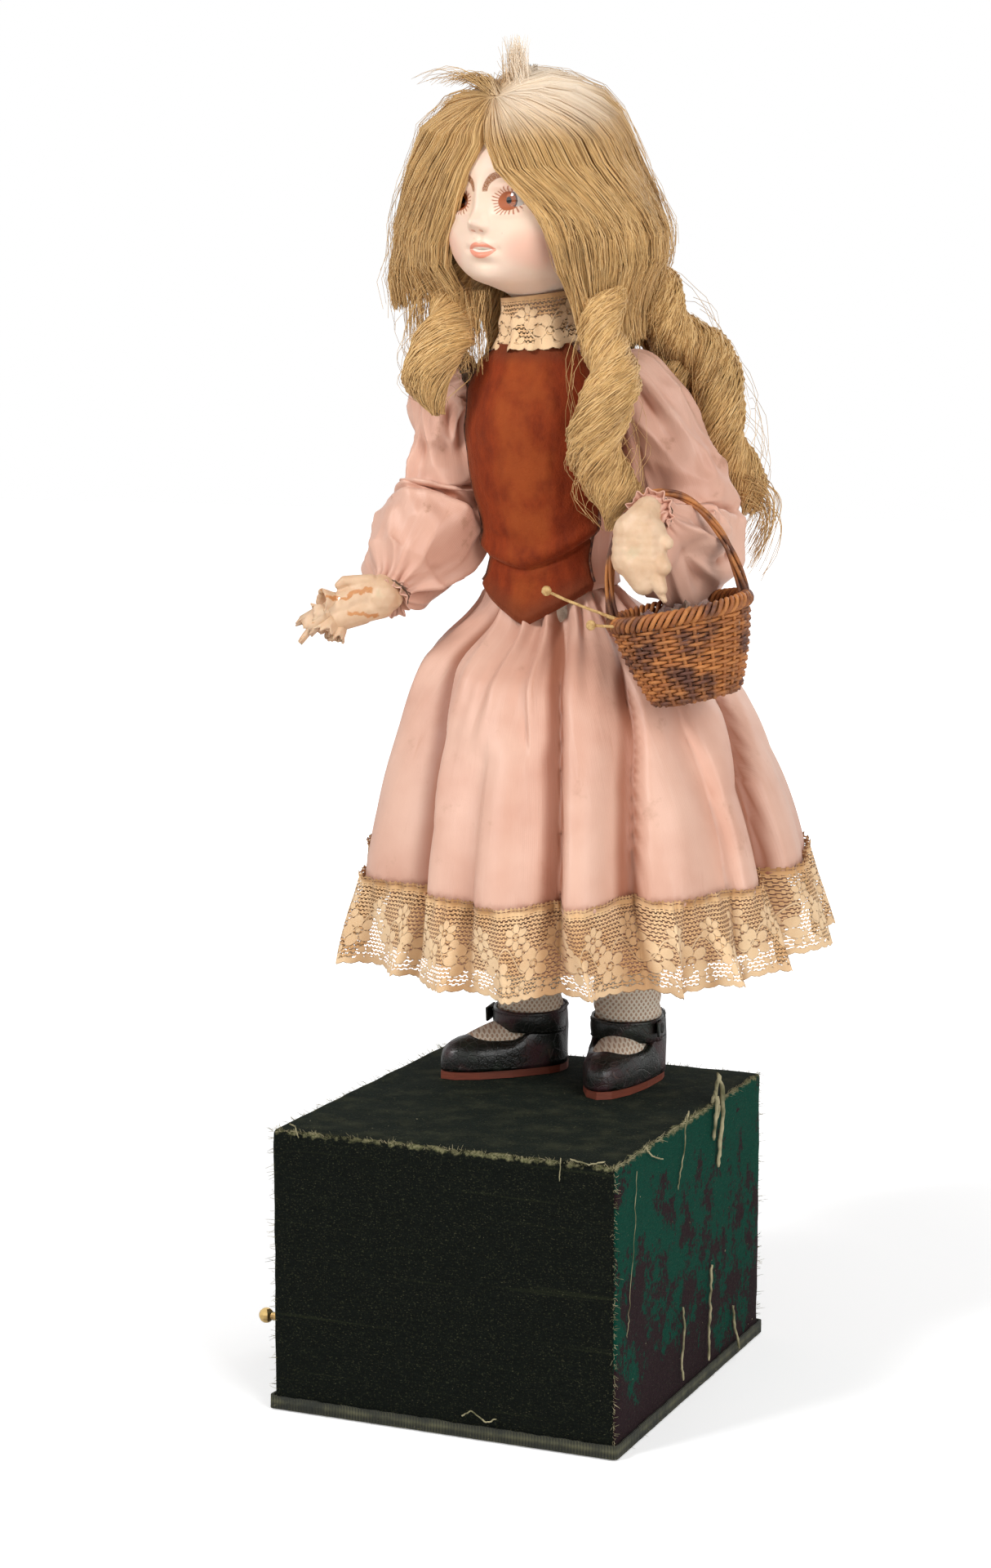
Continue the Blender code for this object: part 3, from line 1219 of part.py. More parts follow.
for z, low_x, high_x, deep in FALL:
    middle = (low_x + high_x) / 2
    half = (high_x - low_x) / 2
    ring = []
    for i in range(14):
        angle = 2 * math.pi * i / 14
        x = middle + half * math.cos(angle)
        y = back_y + deep / 2 + deep / 2 * math.sin(angle)
        ring.append((x, y, z))
    sheet.append(ring)
add(hair, loft(sheet), figure)
add(hair, tube_path([(37, -24, 306), (36.5, -30, 280), (37, -31, 258), (38.5, -31, 240), (39, -31, 229)],
                    (9.0, 10.5, 10.0, 7.5, 3.0), 10), figure)
add(hair, tube_path([(-39, -22, 306), (-36, -26, 291), (-34, -27, 281)], (11.0, 11.0, 6.0), 10), figure)

# Bell crank in the trunk turns the neck shaft

pin_x = NECK_PIN_REACH * math.sin(math.radians(-HEAD_YAW))
pin_y = NECK_PIN_REACH * math.cos(math.radians(HEAD_YAW))
bell_x = BELL_PAD_X + BELL_ARM
bell_tip = (pin_x - NECK_PIN_R - BELL_TIP_GAP - BELL_HALF_THICK, pin_y,
            NECK_CRANK_Z - NECK_PIN_DROP + 5)
bell_low = pin_y - BELL_HALF_THICK
bell_high = pin_y + BELL_HALF_THICK
bell = make("bell_crank", rod((bell_x, bell_low, BELL_Z), (bell_x, bell_high, BELL_Z), BELL_R, 16),
            STEEL, figure, (bell_x, pin_y, BELL_Z))
add(bell, box((BELL_PAD_X - 2.5, bell_low + 0.05, BELL_Z - 1.5),
              (bell_x, bell_high - 0.05, BELL_Z + 1.5)), figure)
add(bell, rod((bell_x, pin_y, BELL_Z), bell_tip, BELL_HALF_THICK, 10), figure)
cut(bell, rod((bell_x, bell_low - 2, BELL_Z), (bell_x, bell_high + 2, BELL_Z), BELL_STUD_R + RUN, 14),
    figure)
stud_end = section(TRUNK, BELL_Z)[2] - TRUNK_WALL / 2
add(trunk, rod((bell_x, bell_low - 0.6, BELL_Z), (bell_x, stud_end, BELL_Z), BELL_STUD_R, 12), figure)

# Control wires, from the levers' ends up through the legs

WIRE_ROUTES = {
    "head_turn": (turn_line, ((*turn_line, 165.0), (-15.0, 4.0, 196.0), (-15.0, 4.0, 222.0),
                              (BELL_PAD_X, pin_y, 242.0), (BELL_PAD_X, pin_y, BELL_Z - 1.5 - GAP))),
    "right_arm": (right_line, ((*right_line, 200.0), (-CRANK_X, -CRANK_REACH, 238.0),
                               (-CRANK_X, -CRANK_REACH, SHOULDER_Z - CRANK_THICK / 2 - GAP))),
    "head_nod": (nod_line, ((*nod_line, 160.0), (12.0, 2.5, 200.0), (0.0, 0.0, 245.0),
                            (0.0, 0.0, block_low - GAP))),
    "left_arm": (left_line, ((*left_line, 160.0), (CRANK_X, -4.0, 196.0),
                             (CRANK_X, -CRANK_REACH, 238.0),
                             (CRANK_X, -CRANK_REACH, SHOULDER_Z - CRANK_THICK / 2 - GAP))),
}
for name, (line, route) in WIRE_ROUTES.items():
    start = (*line, figure_height(line[1], lever_top) + GAP + 0.1)
    points = (start, *route)
    make(f"wire_{name}", tube_path(points, [WIRE_R] * len(points), 8), STEEL, figure, start)
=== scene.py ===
"""A clockwork doll with a basket, on its velvet-covered plinth.

Lengths are written in millimetres and MM turns them into metres.  The doll's clothes, hair and
limbs are drawn in an upright frame of the figure, which leans forward from its ankles.
"""

import math
import random

import bmesh
import bpy
import numpy as np
from mathutils import Matrix, Vector, noise


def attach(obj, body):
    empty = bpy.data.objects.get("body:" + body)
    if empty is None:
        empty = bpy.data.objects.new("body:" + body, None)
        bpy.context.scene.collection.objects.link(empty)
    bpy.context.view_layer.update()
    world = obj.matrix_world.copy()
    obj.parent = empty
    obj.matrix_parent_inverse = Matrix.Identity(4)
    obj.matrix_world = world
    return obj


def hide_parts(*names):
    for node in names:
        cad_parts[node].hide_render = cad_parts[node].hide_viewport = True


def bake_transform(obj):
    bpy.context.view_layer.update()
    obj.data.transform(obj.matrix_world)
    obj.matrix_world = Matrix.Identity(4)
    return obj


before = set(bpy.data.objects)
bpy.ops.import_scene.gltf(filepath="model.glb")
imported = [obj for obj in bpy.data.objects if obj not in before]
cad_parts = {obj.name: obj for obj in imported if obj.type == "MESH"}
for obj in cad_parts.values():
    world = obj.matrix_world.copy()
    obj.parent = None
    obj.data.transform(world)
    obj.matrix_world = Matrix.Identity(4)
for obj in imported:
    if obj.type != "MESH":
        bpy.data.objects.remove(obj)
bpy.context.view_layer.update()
scene = bpy.context.scene
MM = 0.001
noise.seed_set(3)         # the waver of the hair takes its offsets from this seed


# The photographer's table: a white sweep, a soft lamp high on the left, weaker ones on the right
# and behind, and a camera level with the doll's shoulders.

class Field:
    """A shader socket that takes Python's arithmetic."""

    def __init__(self, look, socket):
        self.look = look
        self.socket = socket

    def __add__(self, other):
        return self.look.math("ADD", self, other)

    def __radd__(self, other):
        return self.look.math("ADD", other, self)

    def __sub__(self, other):
        return self.look.math("SUBTRACT", self, other)

    def __rsub__(self, other):
        return self.look.math("SUBTRACT", other, self)

    def __mul__(self, other):
        return self.look.math("MULTIPLY", self, other)

    def __rmul__(self, other):
        return self.look.math("MULTIPLY", other, self)

    def __rtruediv__(self, other):
        return self.look.math("DIVIDE", other, self)

    def __abs__(self):
        return self.look.math("ABSOLUTE", self)

    def wave(self):
        return self.look.math("SINE", self)

    def above(self, low, high):
        """0 below low, 1 above high, and smooth between; low may be the larger."""
        if low > high:
            return 1 - self.above(high, low)
        return self.look.node("MapRange", {"interpolation_type": "SMOOTHSTEP"},
                              {0: self, 1: low, 2: high, 3: 0.0, 4: 1.0})


class Look:
    """A procedural material whose sockets take numbers, colours or fields."""

    def __init__(self, name, fixed=None):
        self.material = bpy.data.materials.new(name)
        self.material.use_nodes = True
        self.tree = self.material.node_tree
        self.shader = self.tree.nodes["Principled BSDF"]
        self.set(fixed or {})

    def feed(self, socket, value):
        if isinstance(value, Field):
            self.tree.links.new(value.socket, socket)
        elif isinstance(value, tuple) and len(socket.default_value) == 4:
            socket.default_value = (*value[:3], 1.0)
        else:
            socket.default_value = value

    def set(self, values):
        for name, value in values.items():
            self.feed(self.shader.inputs[name], value)
        return self

    def node(self, kind, settings=None, values=None, output=0):
        made = self.tree.nodes.new("ShaderNode" + kind)
        for name, value in (settings or {}).items():
            setattr(made, name, value)
        for name, value in (values or {}).items():
            self.feed(made.inputs[name], value)
        return Field(self, made.outputs[output])

    def math(self, operation, *values):
        return self.node("Math", {"operation": operation}, dict(enumerate(values)))

    def least(self, a, b):
        return self.math("MINIMUM", a, b)

    def most(self, a, b):
        return self.math("MAXIMUM", a, b)

    def mix(self, a, b, share):
        return self.node("Mix", {"data_type": "RGBA"}, {0: share, 6: a, 7: b}, 2)

    def place(self, scale=(1, 1, 1), turn=(0, 0, 0), start=(0, 0, 0)):
        """Object coordinates, scaled."""
        here = self.node("TexCoord", output=3)
        return self.node("Mapping", {}, {0: here, 1: start, 2: turn, 3: scale})

    def inside(self, matrix):
        """Coordinates in a turned frame, in millimetres."""
        here = self.node("TexCoord", output=3)
        turn = matrix.to_euler("XYZ")
        values = {0: here, 1: tuple(matrix.translation), 2: tuple(turn), 3: (MM, MM, MM)}
        return self.axes(self.node("Mapping", {"vector_type": "TEXTURE"}, values))

    def uv(self):
        return self.node("UVMap")

    def axes(self, vector):
        return [self.node("SeparateXYZ", {}, {0: vector}, k) for k in range(3)]

    def join(self, x, y, z=0.0):
        return self.node("CombineXYZ", {}, {0: x, 1: y, 2: z})

    def noise(self, vector, scale, detail=3.0, rough=0.55):
        values = {"Vector": vector, "Scale": scale, "Detail": detail, "Roughness": rough}
        return self.node("TexNoise", {}, values)

    def cells(self, vector, scale, feature="F1", chance=1.0):
        values = {"Vector": vector, "Scale": scale, "Randomness": chance}
        return self.node("TexVoronoi", {"feature": feature}, values)

    def bump(self, height, deep, strength=1.0):
        values = {"Height": height, "Distance": deep * MM, "Strength": strength}
        return self.set({"Normal": self.node("Bump", {}, values)})


def piece_of(name, bm, look, smooth=180):
    """The built mesh as an object of the scene."""
    mesh = bpy.data.meshes.new(name)
    bm.to_mesh(mesh)
    bm.free()
    return object_of(name, mesh, look, smooth)


def object_of(name, mesh, look, smooth):
    """A mesh as an object, with its material; edges over smooth degrees stay sharp."""
    mesh.materials.append(look.material)
    mesh.shade_smooth()
    if smooth < 180:
        mesh.set_sharp_from_angle(angle=math.radians(smooth))
    made = bpy.data.objects.new(name, mesh)
    scene.collection.objects.link(made)
    return made


TARGET = Vector((-0.01285, 0.0, 0.23479))
AZIMUTH = math.radians(23.62)
ELEVATION = math.radians(8.016)
DISTANCE = 1.2064
LENS = 71.09
AMBIENT = 0.23
back = Vector((math.sin(AZIMUTH) * math.cos(ELEVATION), -math.cos(AZIMUTH) * math.cos(ELEVATION),
               math.sin(ELEVATION)))
camera = bpy.data.objects.new("camera", bpy.data.cameras.new("camera"))
camera.data.lens = LENS
camera.data.sensor_width = 36.0
camera.data.clip_start = 0.05
camera.location = TARGET + back * DISTANCE
camera.rotation_euler = (-back).to_track_quat("-Z", "Y").to_euler()
scene.collection.objects.link(camera)
scene.camera = camera

scene.view_settings.view_transform = "Standard"
scene.world = bpy.data.worlds.new("studio")
scene.world.use_nodes = True
sky = scene.world.node_tree
rays = sky.nodes.new("ShaderNodeLightPath")
strength = sky.nodes.new("ShaderNodeMapRange")
seen = rays.outputs["Is Camera Ray"]
for ray in ("Is Glossy Ray", "Is Transmission Ray"):
    either = sky.nodes.new("ShaderNodeMath")
    either.operation = "MAXIMUM"
    sky.links.new(seen, either.inputs[0])
    sky.links.new(rays.outputs[ray], either.inputs[1])
    seen = either.outputs[0]
sky.links.new(seen, strength.inputs[0])
strength.inputs[3].default_value = AMBIENT
strength.inputs[4].default_value = 1.0
sky.nodes["Background"].inputs["Color"].default_value = (1.0, 1.0, 1.0, 1.0)
sky.links.new(strength.outputs[0], sky.nodes["Background"].inputs["Strength"])

for name, spot, size, power in (("key_lamp", (-0.70, -1.2, 1.2), 0.38, 17.5),
                                ("fill_lamp", (1.15, -0.75, 0.75), 0.8, 12.5),
                                ("rim_lamp", (0.3, 1.1, 1.1), 0.8, 6.0)):
    lamp = bpy.data.lights.new(name, "AREA")
    lamp.size = size
    lamp.energy = power
    holder = bpy.data.objects.new(name, lamp)
    holder.location = spot
    aim = Vector((0.0, 0.0, 0.24)) - holder.location
    holder.rotation_euler = aim.to_track_quat("-Z", "Y").to_euler()
    scene.collection.objects.link(holder)

sweep = bmesh.new()
bmesh.ops.create_grid(sweep, x_segments=1, y_segments=1, size=6.0)
paper = Look("white_sweep", {"Base Color": (0.93, 0.93, 0.93), "Roughness": 0.9,
                             "Emission Color": (1.0, 1.0, 1.0), "Specular IOR Level": 0.1})
watched = paper.node("LightPath")
east, north = paper.axes(paper.place())[:2]
far = paper.math("SQRT", east * east + north * north).above(0.25, 1.1)
paper.set({"Emission Strength": watched * (0.36 + 0.64 * far)})
floor = piece_of("floor", sweep, paper, 40)


# Movement, boards and wires: raw pine, brass plates and steel arbors, seen only from below or
# where a piece is taken off.  They keep their CAD shapes and get their real finishes.

def finish_node(node, look):
    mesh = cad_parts[node].data
    mesh.materials.clear()
    mesh.materials.append(look.material)


def wood(name, pale, dark):
    look = Look(name, {"Roughness": 0.7})
    rings = look.noise(look.place((14, 160, 160)), 1.0, 4.0)
    fine = look.noise(look.place((60, 900, 900)), 1.0, 2.0)
    look.set({"Base Color": look.mix(dark, pale, rings.above(0.35, 0.65) * 0.7 + fine * 0.3)})
    return look.bump(fine, 0.05)


def metal(name, colour, worn, rough):
    look = Look(name, {"Metallic": 1.0})
    cloud = look.noise(look.place((1, 1, 1)), 120.0, 4.0)
    drawn = look.noise(look.place((400, 60, 60)), 1.0, 2.0)
    look.set({"Base Color": look.mix(colour, worn, cloud.above(0.5, 0.72)),
              "Roughness": rough + 0.25 * cloud.above(0.45, 0.75)})
    return look.bump(drawn, 0.01, 0.5)


def mottled(name, rough, first, second, scale, detail, limits):
    """Two colours in one noise, which the look keeps as its mottle."""
    look = Look(name, {"Roughness": rough})
    look.mottle = look.noise(look.place(), scale, detail)
    look.set({"Base Color": look.mix(first, second, look.mottle.above(*limits))})
    return look


pine = wood("sawn_pine", (0.58, 0.42, 0.25), (0.36, 0.23, 0.12))
brass = metal("aged_brass", (0.72, 0.50, 0.20), (0.30, 0.19, 0.08), 0.28)
steel = metal("plain_steel", (0.48, 0.48, 0.49), (0.22, 0.20, 0.19), 0.32)
pulp = mottled("moulded_paper", 0.9, (0.62, 0.53, 0.42), (0.44, 0.35, 0.26), 600.0, 4.0, (0.4, 0.7))
pulp.bump(pulp.mottle, 0.2, 0.6)
for node in ("plinth_bottom_board", "plinth_top_board", "plinth_front_board", "plinth_back_board",
             "plinth_left_board", "plinth_right_board", "cam_stack", "head_block"):
    finish_node(node, pine)
for node in ("movement_plate_left", "movement_plate_right", "winding_key", "spring_barrel",
             "music_cylinder", "start_knob", "neck_shaft"):
    finish_node(node, brass)
for node in ("winding_arbor", "ratchet_click", "mainspring", "camshaft", "second_wheel",
             "fly_governor", "music_comb", "lever_head_turn", "lever_right_arm", "lever_head_nod",
             "lever_left_arm", "wire_head_turn", "wire_right_arm", "wire_head_nod",
             "wire_left_arm", "bell_crank"):
    finish_node(node, steel)
for node in ("right_leg", "left_leg", "trunk", "right_arm", "left_arm"):
    finish_node(node, pulp)


# Plinth cover: dark green silk velvet glued over the box.  Its front has gone nearly black, the
# side is worn to a brown ground in patches, and the turned edges are rubbed to olive threads.

PLINTH = (70.0, 81.0, 110.0)
COVER_LIFT = 0.6


def applied(made):
    """The piece's mesh with its modifiers applied."""
    bpy.context.view_layer.update()
    seen = made.evaluated_get(bpy.context.evaluated_depsgraph_get())
    mesh = bpy.data.meshes.new_from_object(seen)
    made.modifiers.clear()
    made.data = mesh
    return made


def thicken(piece, thick):
    """Gives an open sheet its wall, inwards from its outer side."""
    wall = piece.modifiers.new("Wall", "SOLIDIFY")
    wall.thickness = thick * MM
    wall.offset = -1.0
    applied(piece)


def shares(count):
    """Even steps from 0 to 1, both ends included."""
    return [k / count for k in range(count + 1)]


def jitter(draw, reach):
    return Vector([draw.uniform(-reach, reach) for _ in range(3)])


def threads(name, paths, look, sides=0):
    """Thin round threads: each path is a list of (point in metres, radius in millimetres)."""
    curve = bpy.data.curves.new(name, "CURVE")
    curve.dimensions = "3D"
    curve.bevel_depth = MM
    curve.bevel_resolution = sides
    curve.use_fill_caps = True
    for path in paths:
        spline = curve.splines.new("POLY")
        spline.points.add(len(path) - 1)
        for knot, (spot, radius) in zip(spline.points, path):
            knot.co = (*spot, 1.0)
            knot.radius = radius
    holder = bpy.data.objects.new(name, curve)
    scene.collection.objects.link(holder)
    bpy.context.view_layer.update()
    drawn = holder.evaluated_get(bpy.context.evaluated_depsgraph_get())
    mesh = bpy.data.meshes.new_from_object(drawn)
    bpy.data.objects.remove(holder, do_unlink=True)
    mesh.materials.clear()
    tone = mesh.attributes.new("tone", "FLOAT", "POINT")
    each = len(mesh.vertices) // len(paths)
    tone.data.foreach_set("value", [(i // each * 0.618) % 1.0 for i in range(len(mesh.vertices))])
    return object_of(name, mesh, look, 180)


velvet = Look("green_velvet", {"Roughness": 0.95, "Sheen Weight": 0.05, "Sheen Roughness": 0.4,
                               "Sheen Tint": (0.35, 0.5, 0.4), "Specular IOR Level": 0.06})
spot = velvet.place()
across, deep, high = (axis * (1 / MM) for axis in velvet.axes(spot))
to_side = PLINTH[0] - abs(across)
to_front = PLINTH[1] - abs(deep)
to_top = PLINTH[2] - high
ragged = velvet.noise(spot, 260.0, 4.0)
edge = velvet.least(velvet.least(2.5 * (to_side + to_front), to_side + to_top), to_front + to_top)
rubbed = (edge + 6.0 * (ragged - 0.5)).above(1.9, 0.5)
foot = (high + 4.0 * (ragged - 0.5)).above(3.5, 1.0)
rubbed = velvet.most(rubbed, foot * 0.7)
on_side = across.above(69.0, 69.8)
on_top = high.above(109.0, 109.8)
pile = velvet.noise(velvet.place((300, 300, 1300)), 1.0, 2.0)
lint = velvet.noise(velvet.place((900, 900, 2400)), 1.0, 3.0, 0.6).above(0.60, 0.72)
streak = velvet.noise(velvet.place((10, 10, 420)), 1.0, 3.0).above(0.60, 0.78)
front_cloth = velvet.mix((0.002, 0.0025, 0.002), (0.007, 0.009, 0.007), pile)
front_cloth = velvet.mix(front_cloth, (0.03, 0.035, 0.016), streak * 0.35 * (1 - on_top))
dusty = velvet.noise(spot, 90.0, 5.0).above(0.42, 0.75)
top_cloth = velvet.mix((0.003, 0.004, 0.003), (0.022, 0.023, 0.013), dusty)
side_cloth = velvet.mix((0.0005, 0.022, 0.015), (0.002, 0.06, 0.038), pile)
worn = velvet.noise(spot, 42.0, 5.0, 0.7) + (0.22 - 0.0022 * high)
bare = velvet.mix((0.006, 0.003, 0.004), (0.030, 0.012, 0.017), velvet.noise(spot, 700.0))
worn = worn + 0.35 * (velvet.noise(spot, 500.0, 2.0) - 0.5)
side_cloth = velvet.mix(side_cloth, bare, worn.above(0.56, 0.64))
cloth = velvet.mix(velvet.mix(front_cloth, top_cloth, on_top), side_cloth, on_side)
nap = velvet.noise(spot, 1300.0, 3.0, 0.7)
cloth = velvet.mix(cloth, (0.055, 0.06, 0.03), nap.above(0.56, 0.72) * (0.5 - 0.2 * on_side))
cloth = velvet.mix(cloth, (0.16, 0.15, 0.08), lint * 0.35)
dust = velvet.noise(velvet.place(start=(7, 2, 5)), 520.0, 1.0).above(0.80, 0.84)
cloth = velvet.mix(cloth, (0.35, 0.31, 0.2), dust)
speckle = velvet.noise(spot, 1100.0, 3.0).above(0.3, 0.7)
olive = velvet.mix((0.07, 0.075, 0.03), (0.26, 0.24, 0.13), speckle)
velvet.set({"Base Color": velvet.mix(cloth, olive, rubbed * 0.85)})
velvet.bump(pile * 0.5 + ragged * 0.8 + nap, 0.5, 0.6)

bm = bmesh.new()
bmesh.ops.create_cube(bm, size=1.0)
box = Vector((2 * PLINTH[0], 2 * PLINTH[1], PLINTH[2] - COVER_LIFT)) * MM
bmesh.ops.scale(bm, vec=box, verts=bm.verts)
bmesh.ops.translate(bm, vec=Vector((0, 0, (PLINTH[2] + COVER_LIFT) / 2)) * MM, verts=bm.verts)
underside = [f for f in bm.faces if f.normal.z < -0.5]
bmesh.ops.delete(bm, geom=underside, context="FACES_ONLY")
sharp = [e for e in bm.edges if not e.is_boundary]
bmesh.ops.bevel(bm, geom=sharp, offset=1.8 * MM, segments=4, profile=0.5, affect="EDGES", material=-1)
bmesh.ops.subdivide_edges(bm, edges=[e for e in bm.edges if e.calc_length() > 20 * MM], cuts=22,
                          use_grid_fill=True)
for v in bm.verts:
    if v.co.z < 2 * MM:
        continue
    lift = noise.noise(v.co * 90) * 0.35 + noise.noise(v.co * 420) * 0.22
    v.co += v.normal * lift * MM
cover = piece_of("velvet_cover_cloth", bm, velvet, 60)
thicken(cover, 0.7)
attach(cover, "figure_on_plinth")
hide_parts("velvet_cover")

# Threads of the rubbed edges: short fuzz along the seams, and the loose ends of glued cord and
# frayed selvedge that hang over the top edge and down the side.

cotton = mottled("olive_threads", 0.9, (0.08, 0.08, 0.03), (0.42, 0.37, 0.22), 160.0, 2.0, (0.3, 0.7))
rng = random.Random(11)
x, y, z = PLINTH
# Each seam: the signs of its two ends on the plinth's half sizes, their heights, and its threads
SEAMS = (((-1, -1, z), (1, -1, z), 330), ((1, -1, z), (1, 1, z), 330), ((1, -1, 1), (1, -1, z), 200),
         ((-1, -1, z), (-1, 1, z), 160), ((-1, 1, z), (1, 1, z), 160), ((-1, -1, 1), (-1, -1, z), 90),
         ((-1, -1, 1.5), (1, -1, 1.5), 260), ((1, -1, 1.5), (1, 1, 1.5), 260), ((1, 1, 1), (1, 1, z), 90))
fuzz = []
for first, second, count in SEAMS:
    low, high_end = (Vector((end[0] * x, end[1] * y, end[2])) for end in (first, second))
    rise = 0.6 if low.z > 50 else 0.0
    out = Vector(((low.x + high_end.x) / (2 * x), (low.y + high_end.y) / (2 * y), rise))
    for i in range(count):
        here = low.lerp(high_end, rng.random())
        here -= out.normalized() * 0.9
        here += jitter(rng, 0.5)
        way = out + Vector((rng.uniform(-0.9, 0.9), rng.uniform(-0.9, 0.9), rng.uniform(-0.7, 0.7)))
        long = rng.uniform(0.5, 1.9)
        bend = jitter(rng, 1) * 0.5
        path = []
        for share in shares(3):
            spot = here + way * long * share + bend * share * share
            path.append((tuple(spot * MM), 0.09 - 0.04 * share))
        if min(knot[0][2] for knot in path) > 0:
            fuzz.append(path)
fluff = threads("edge_fuzz", fuzz, cotton)
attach(fluff, "figure_on_plinth")


def curly(knots, radius, wander, seed, steps):
    """Path through knots with a little waver."""
    turn = random.Random(seed)
    path = []
    for a, b in zip(knots, knots[1:]):
        for k in range(steps):
            spot = Vector(a).lerp(Vector(b), k / steps)
            spot += jitter(turn, wander)
            path.append((tuple(spot * MM), radius * turn.uniform(0.8, 1.15)))
    path.append((tuple(Vector(knots[-1]) * MM), radius * 0.5))
    return path


# Each loose end: its knots, its radius, its waver, the seed of its waver and the steps between knots
LOOSE_ENDS = (
    (((70.4, 21, 111), (72.4, 19.5, 116), (72.3, 20.5, 112), (71.7, 22, 104), (71.2, 21, 96)),
     0.75, 0.25, 1, 5),
    (((69.5, 26, 111), (71.6, 25, 122), (72.3, 27, 115), (71.9, 29, 104), (71.2, 28, 92), (71.4, 26, 84)),
     0.85, 0.3, 2, 5),
    (((71.6, 24, 113), (72.5, 23, 108), (71.4, 22.5, 103)), 0.6, 0.2, 3, 9),
    (((70, -8, 111), (72.4, -11, 115), (72.6, -15, 110), (71.4, -12, 103), (71.0, -16, 92),
      (70.9, -18, 86)), 0.3, 0.2, 4, 5),
    (((70.5, -52, 110.6), (71.6, -49, 107), (71.8, -44, 105), (72.2, -38, 103)), 0.28, 0.2, 5, 9),
    (((71.2, 20, 46), (71.6, 18, 34), (71.9, 16, 20), (72.6, 14, 9)), 0.55, 0.3, 6, 6),
    (((71.2, -12, 38), (71.5, -11, 28), (71.4, -14, 16), (72.6, -15, 10)), 0.45, 0.25, 7, 6),
    (((71.3, 46, 22), (71.6, 48, 12), (72.8, 50, 3)), 0.5, 0.25, 8, 6),
    (((-66, -74, 110.8), (-61, -79, 111.6), (-58, -82.2, 108)), 0.25, 0.15, 9, 9),
    (((48, -80, 111), (49, -82.4, 110), (48.5, -82.3, 103)), 0.22, 0.15, 10, 9),
    (((52, -80.5, 111.2), (60, -82, 110.4), (66, -81.5, 112)), 0.3, 0.2, 12, 9),
    (((71, -62, 104), (71.4, -66, 78), (71.2, -70, 52), (71.3, -72, 44)), 0.14, 0.3, 13, 8),
    (((10, -83, 9), (14, -84, 12), (20, -83.6, 8), (24, -83.4, 10)), 0.3, 0.2, 14, 9))
cords = [curly(*end) for end in LOOSE_ENDS]
loose = threads("frayed_cords", cords, cotton, 1)
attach(loose, "figure_on_plinth")

# Foot braid: a narrow woven band of tarnished green and gold thread round the cover's lower edge.

band = Look("foot_braid", {"Roughness": 0.85})
spot = band.place()
x, y, z = band.axes(spot)
run = x + y
wale = (run * 2600.0 + z * 900.0).wave() * (run * 2600.0 - z * 900.0).wave()
dirt = band.noise(spot, 130.0, 4.0)
gilt = (wale * 0.5 + 0.5) * dirt.above(0.25, 0.7)
band.set({"Base Color": band.mix((0.012, 0.014, 0.009), (0.11, 0.105, 0.055), gilt)})
band.bump(wale + 0.5 * dirt, 0.35)
bm = bmesh.new()
outer = (PLINTH[0] + 1.5, PLINTH[1] + 1.5)
bmesh.ops.create_grid(bm, x_segments=1, y_segments=1, size=1.0)
bmesh.ops.scale(bm, vec=Vector((outer[0], outer[1], 1)) * MM, verts=bm.verts)
bmesh.ops.delete(bm, geom=list(bm.faces), context="FACES_ONLY")
bmesh.ops.translate(bm, vec=Vector((0, 0, 0.6 * MM)), verts=bm.verts)
sides = bmesh.ops.extrude_edge_only(bm, edges=list(bm.edges))
raised = [v for v in sides["geom"] if isinstance(v, bmesh.types.BMVert)]
bmesh.ops.translate(bm, vec=Vector((0, 0, 5.0 * MM)), verts=raised)
bmesh.ops.bevel(bm, geom=[e for e in bm.edges if abs(e.verts[0].co.z - e.verts[1].co.z) > 4 * MM],
                offset=1.6 * MM, segments=3, profile=0.5, affect="EDGES", material=-1)
bmesh.ops.subdivide_edges(bm, edges=[e for e in bm.edges if e.calc_length() > 20 * MM], cuts=60)
for v in bm.verts:
    v.co.z += noise.noise(v.co * 300) * 0.45 * MM * (1 if v.co.z > 3 * MM else 0)
    v.co += Vector((v.co.x, v.co.y, 0)).normalized() * noise.noise(v.co * 500) * 0.2 * MM
bmesh.ops.recalc_face_normals(bm, faces=bm.faces)
braid = piece_of("foot_braid_band", bm, band)
thicken(braid, 1.0)
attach(braid, "figure_on_plinth")
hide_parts("bottom_braid")


# Skirt: salmon satin, cut with a flare, gathered into the bodice and falling in a bell with a
# few deep folds.  The silk is creased along its length and soiled near its seams.

ANKLES = (-1.5, 52.0, 110.0)
LEAN = math.radians(6.0)
FIGURE = Matrix.Translation([length * MM for length in ANKLES]) @ Matrix.Rotation(LEAN, 4, "X")
# The trunk's heights, each with its half width, front and back
TRUNK = (
    (150.0, 41.0, 26.0, 26.0), (166.0, 38.0, 24.0, 24.0), (190.0, 28.0, 20.0, 19.0),
    (204.0, 24.2, 18.4, 16.2), (214.0, 23.5, 18.3, 15.4), (230.0, 25.3, 21.3, 16.9),
    (250.0, 28.8, 24.3, 18.3), (266.0, 30.0, 24.3, 18.8), (280.0, 29.8, 20.3, 17.8),
    (290.0, 25.5, 15.8, 15.3), (297.0, 16.5, 13.5, 13.5))
WAIST_Z = 204.0
HEM_Z = 93.0
WAIST_REACH = 25.0
SKIRT_FLARE = 59.6
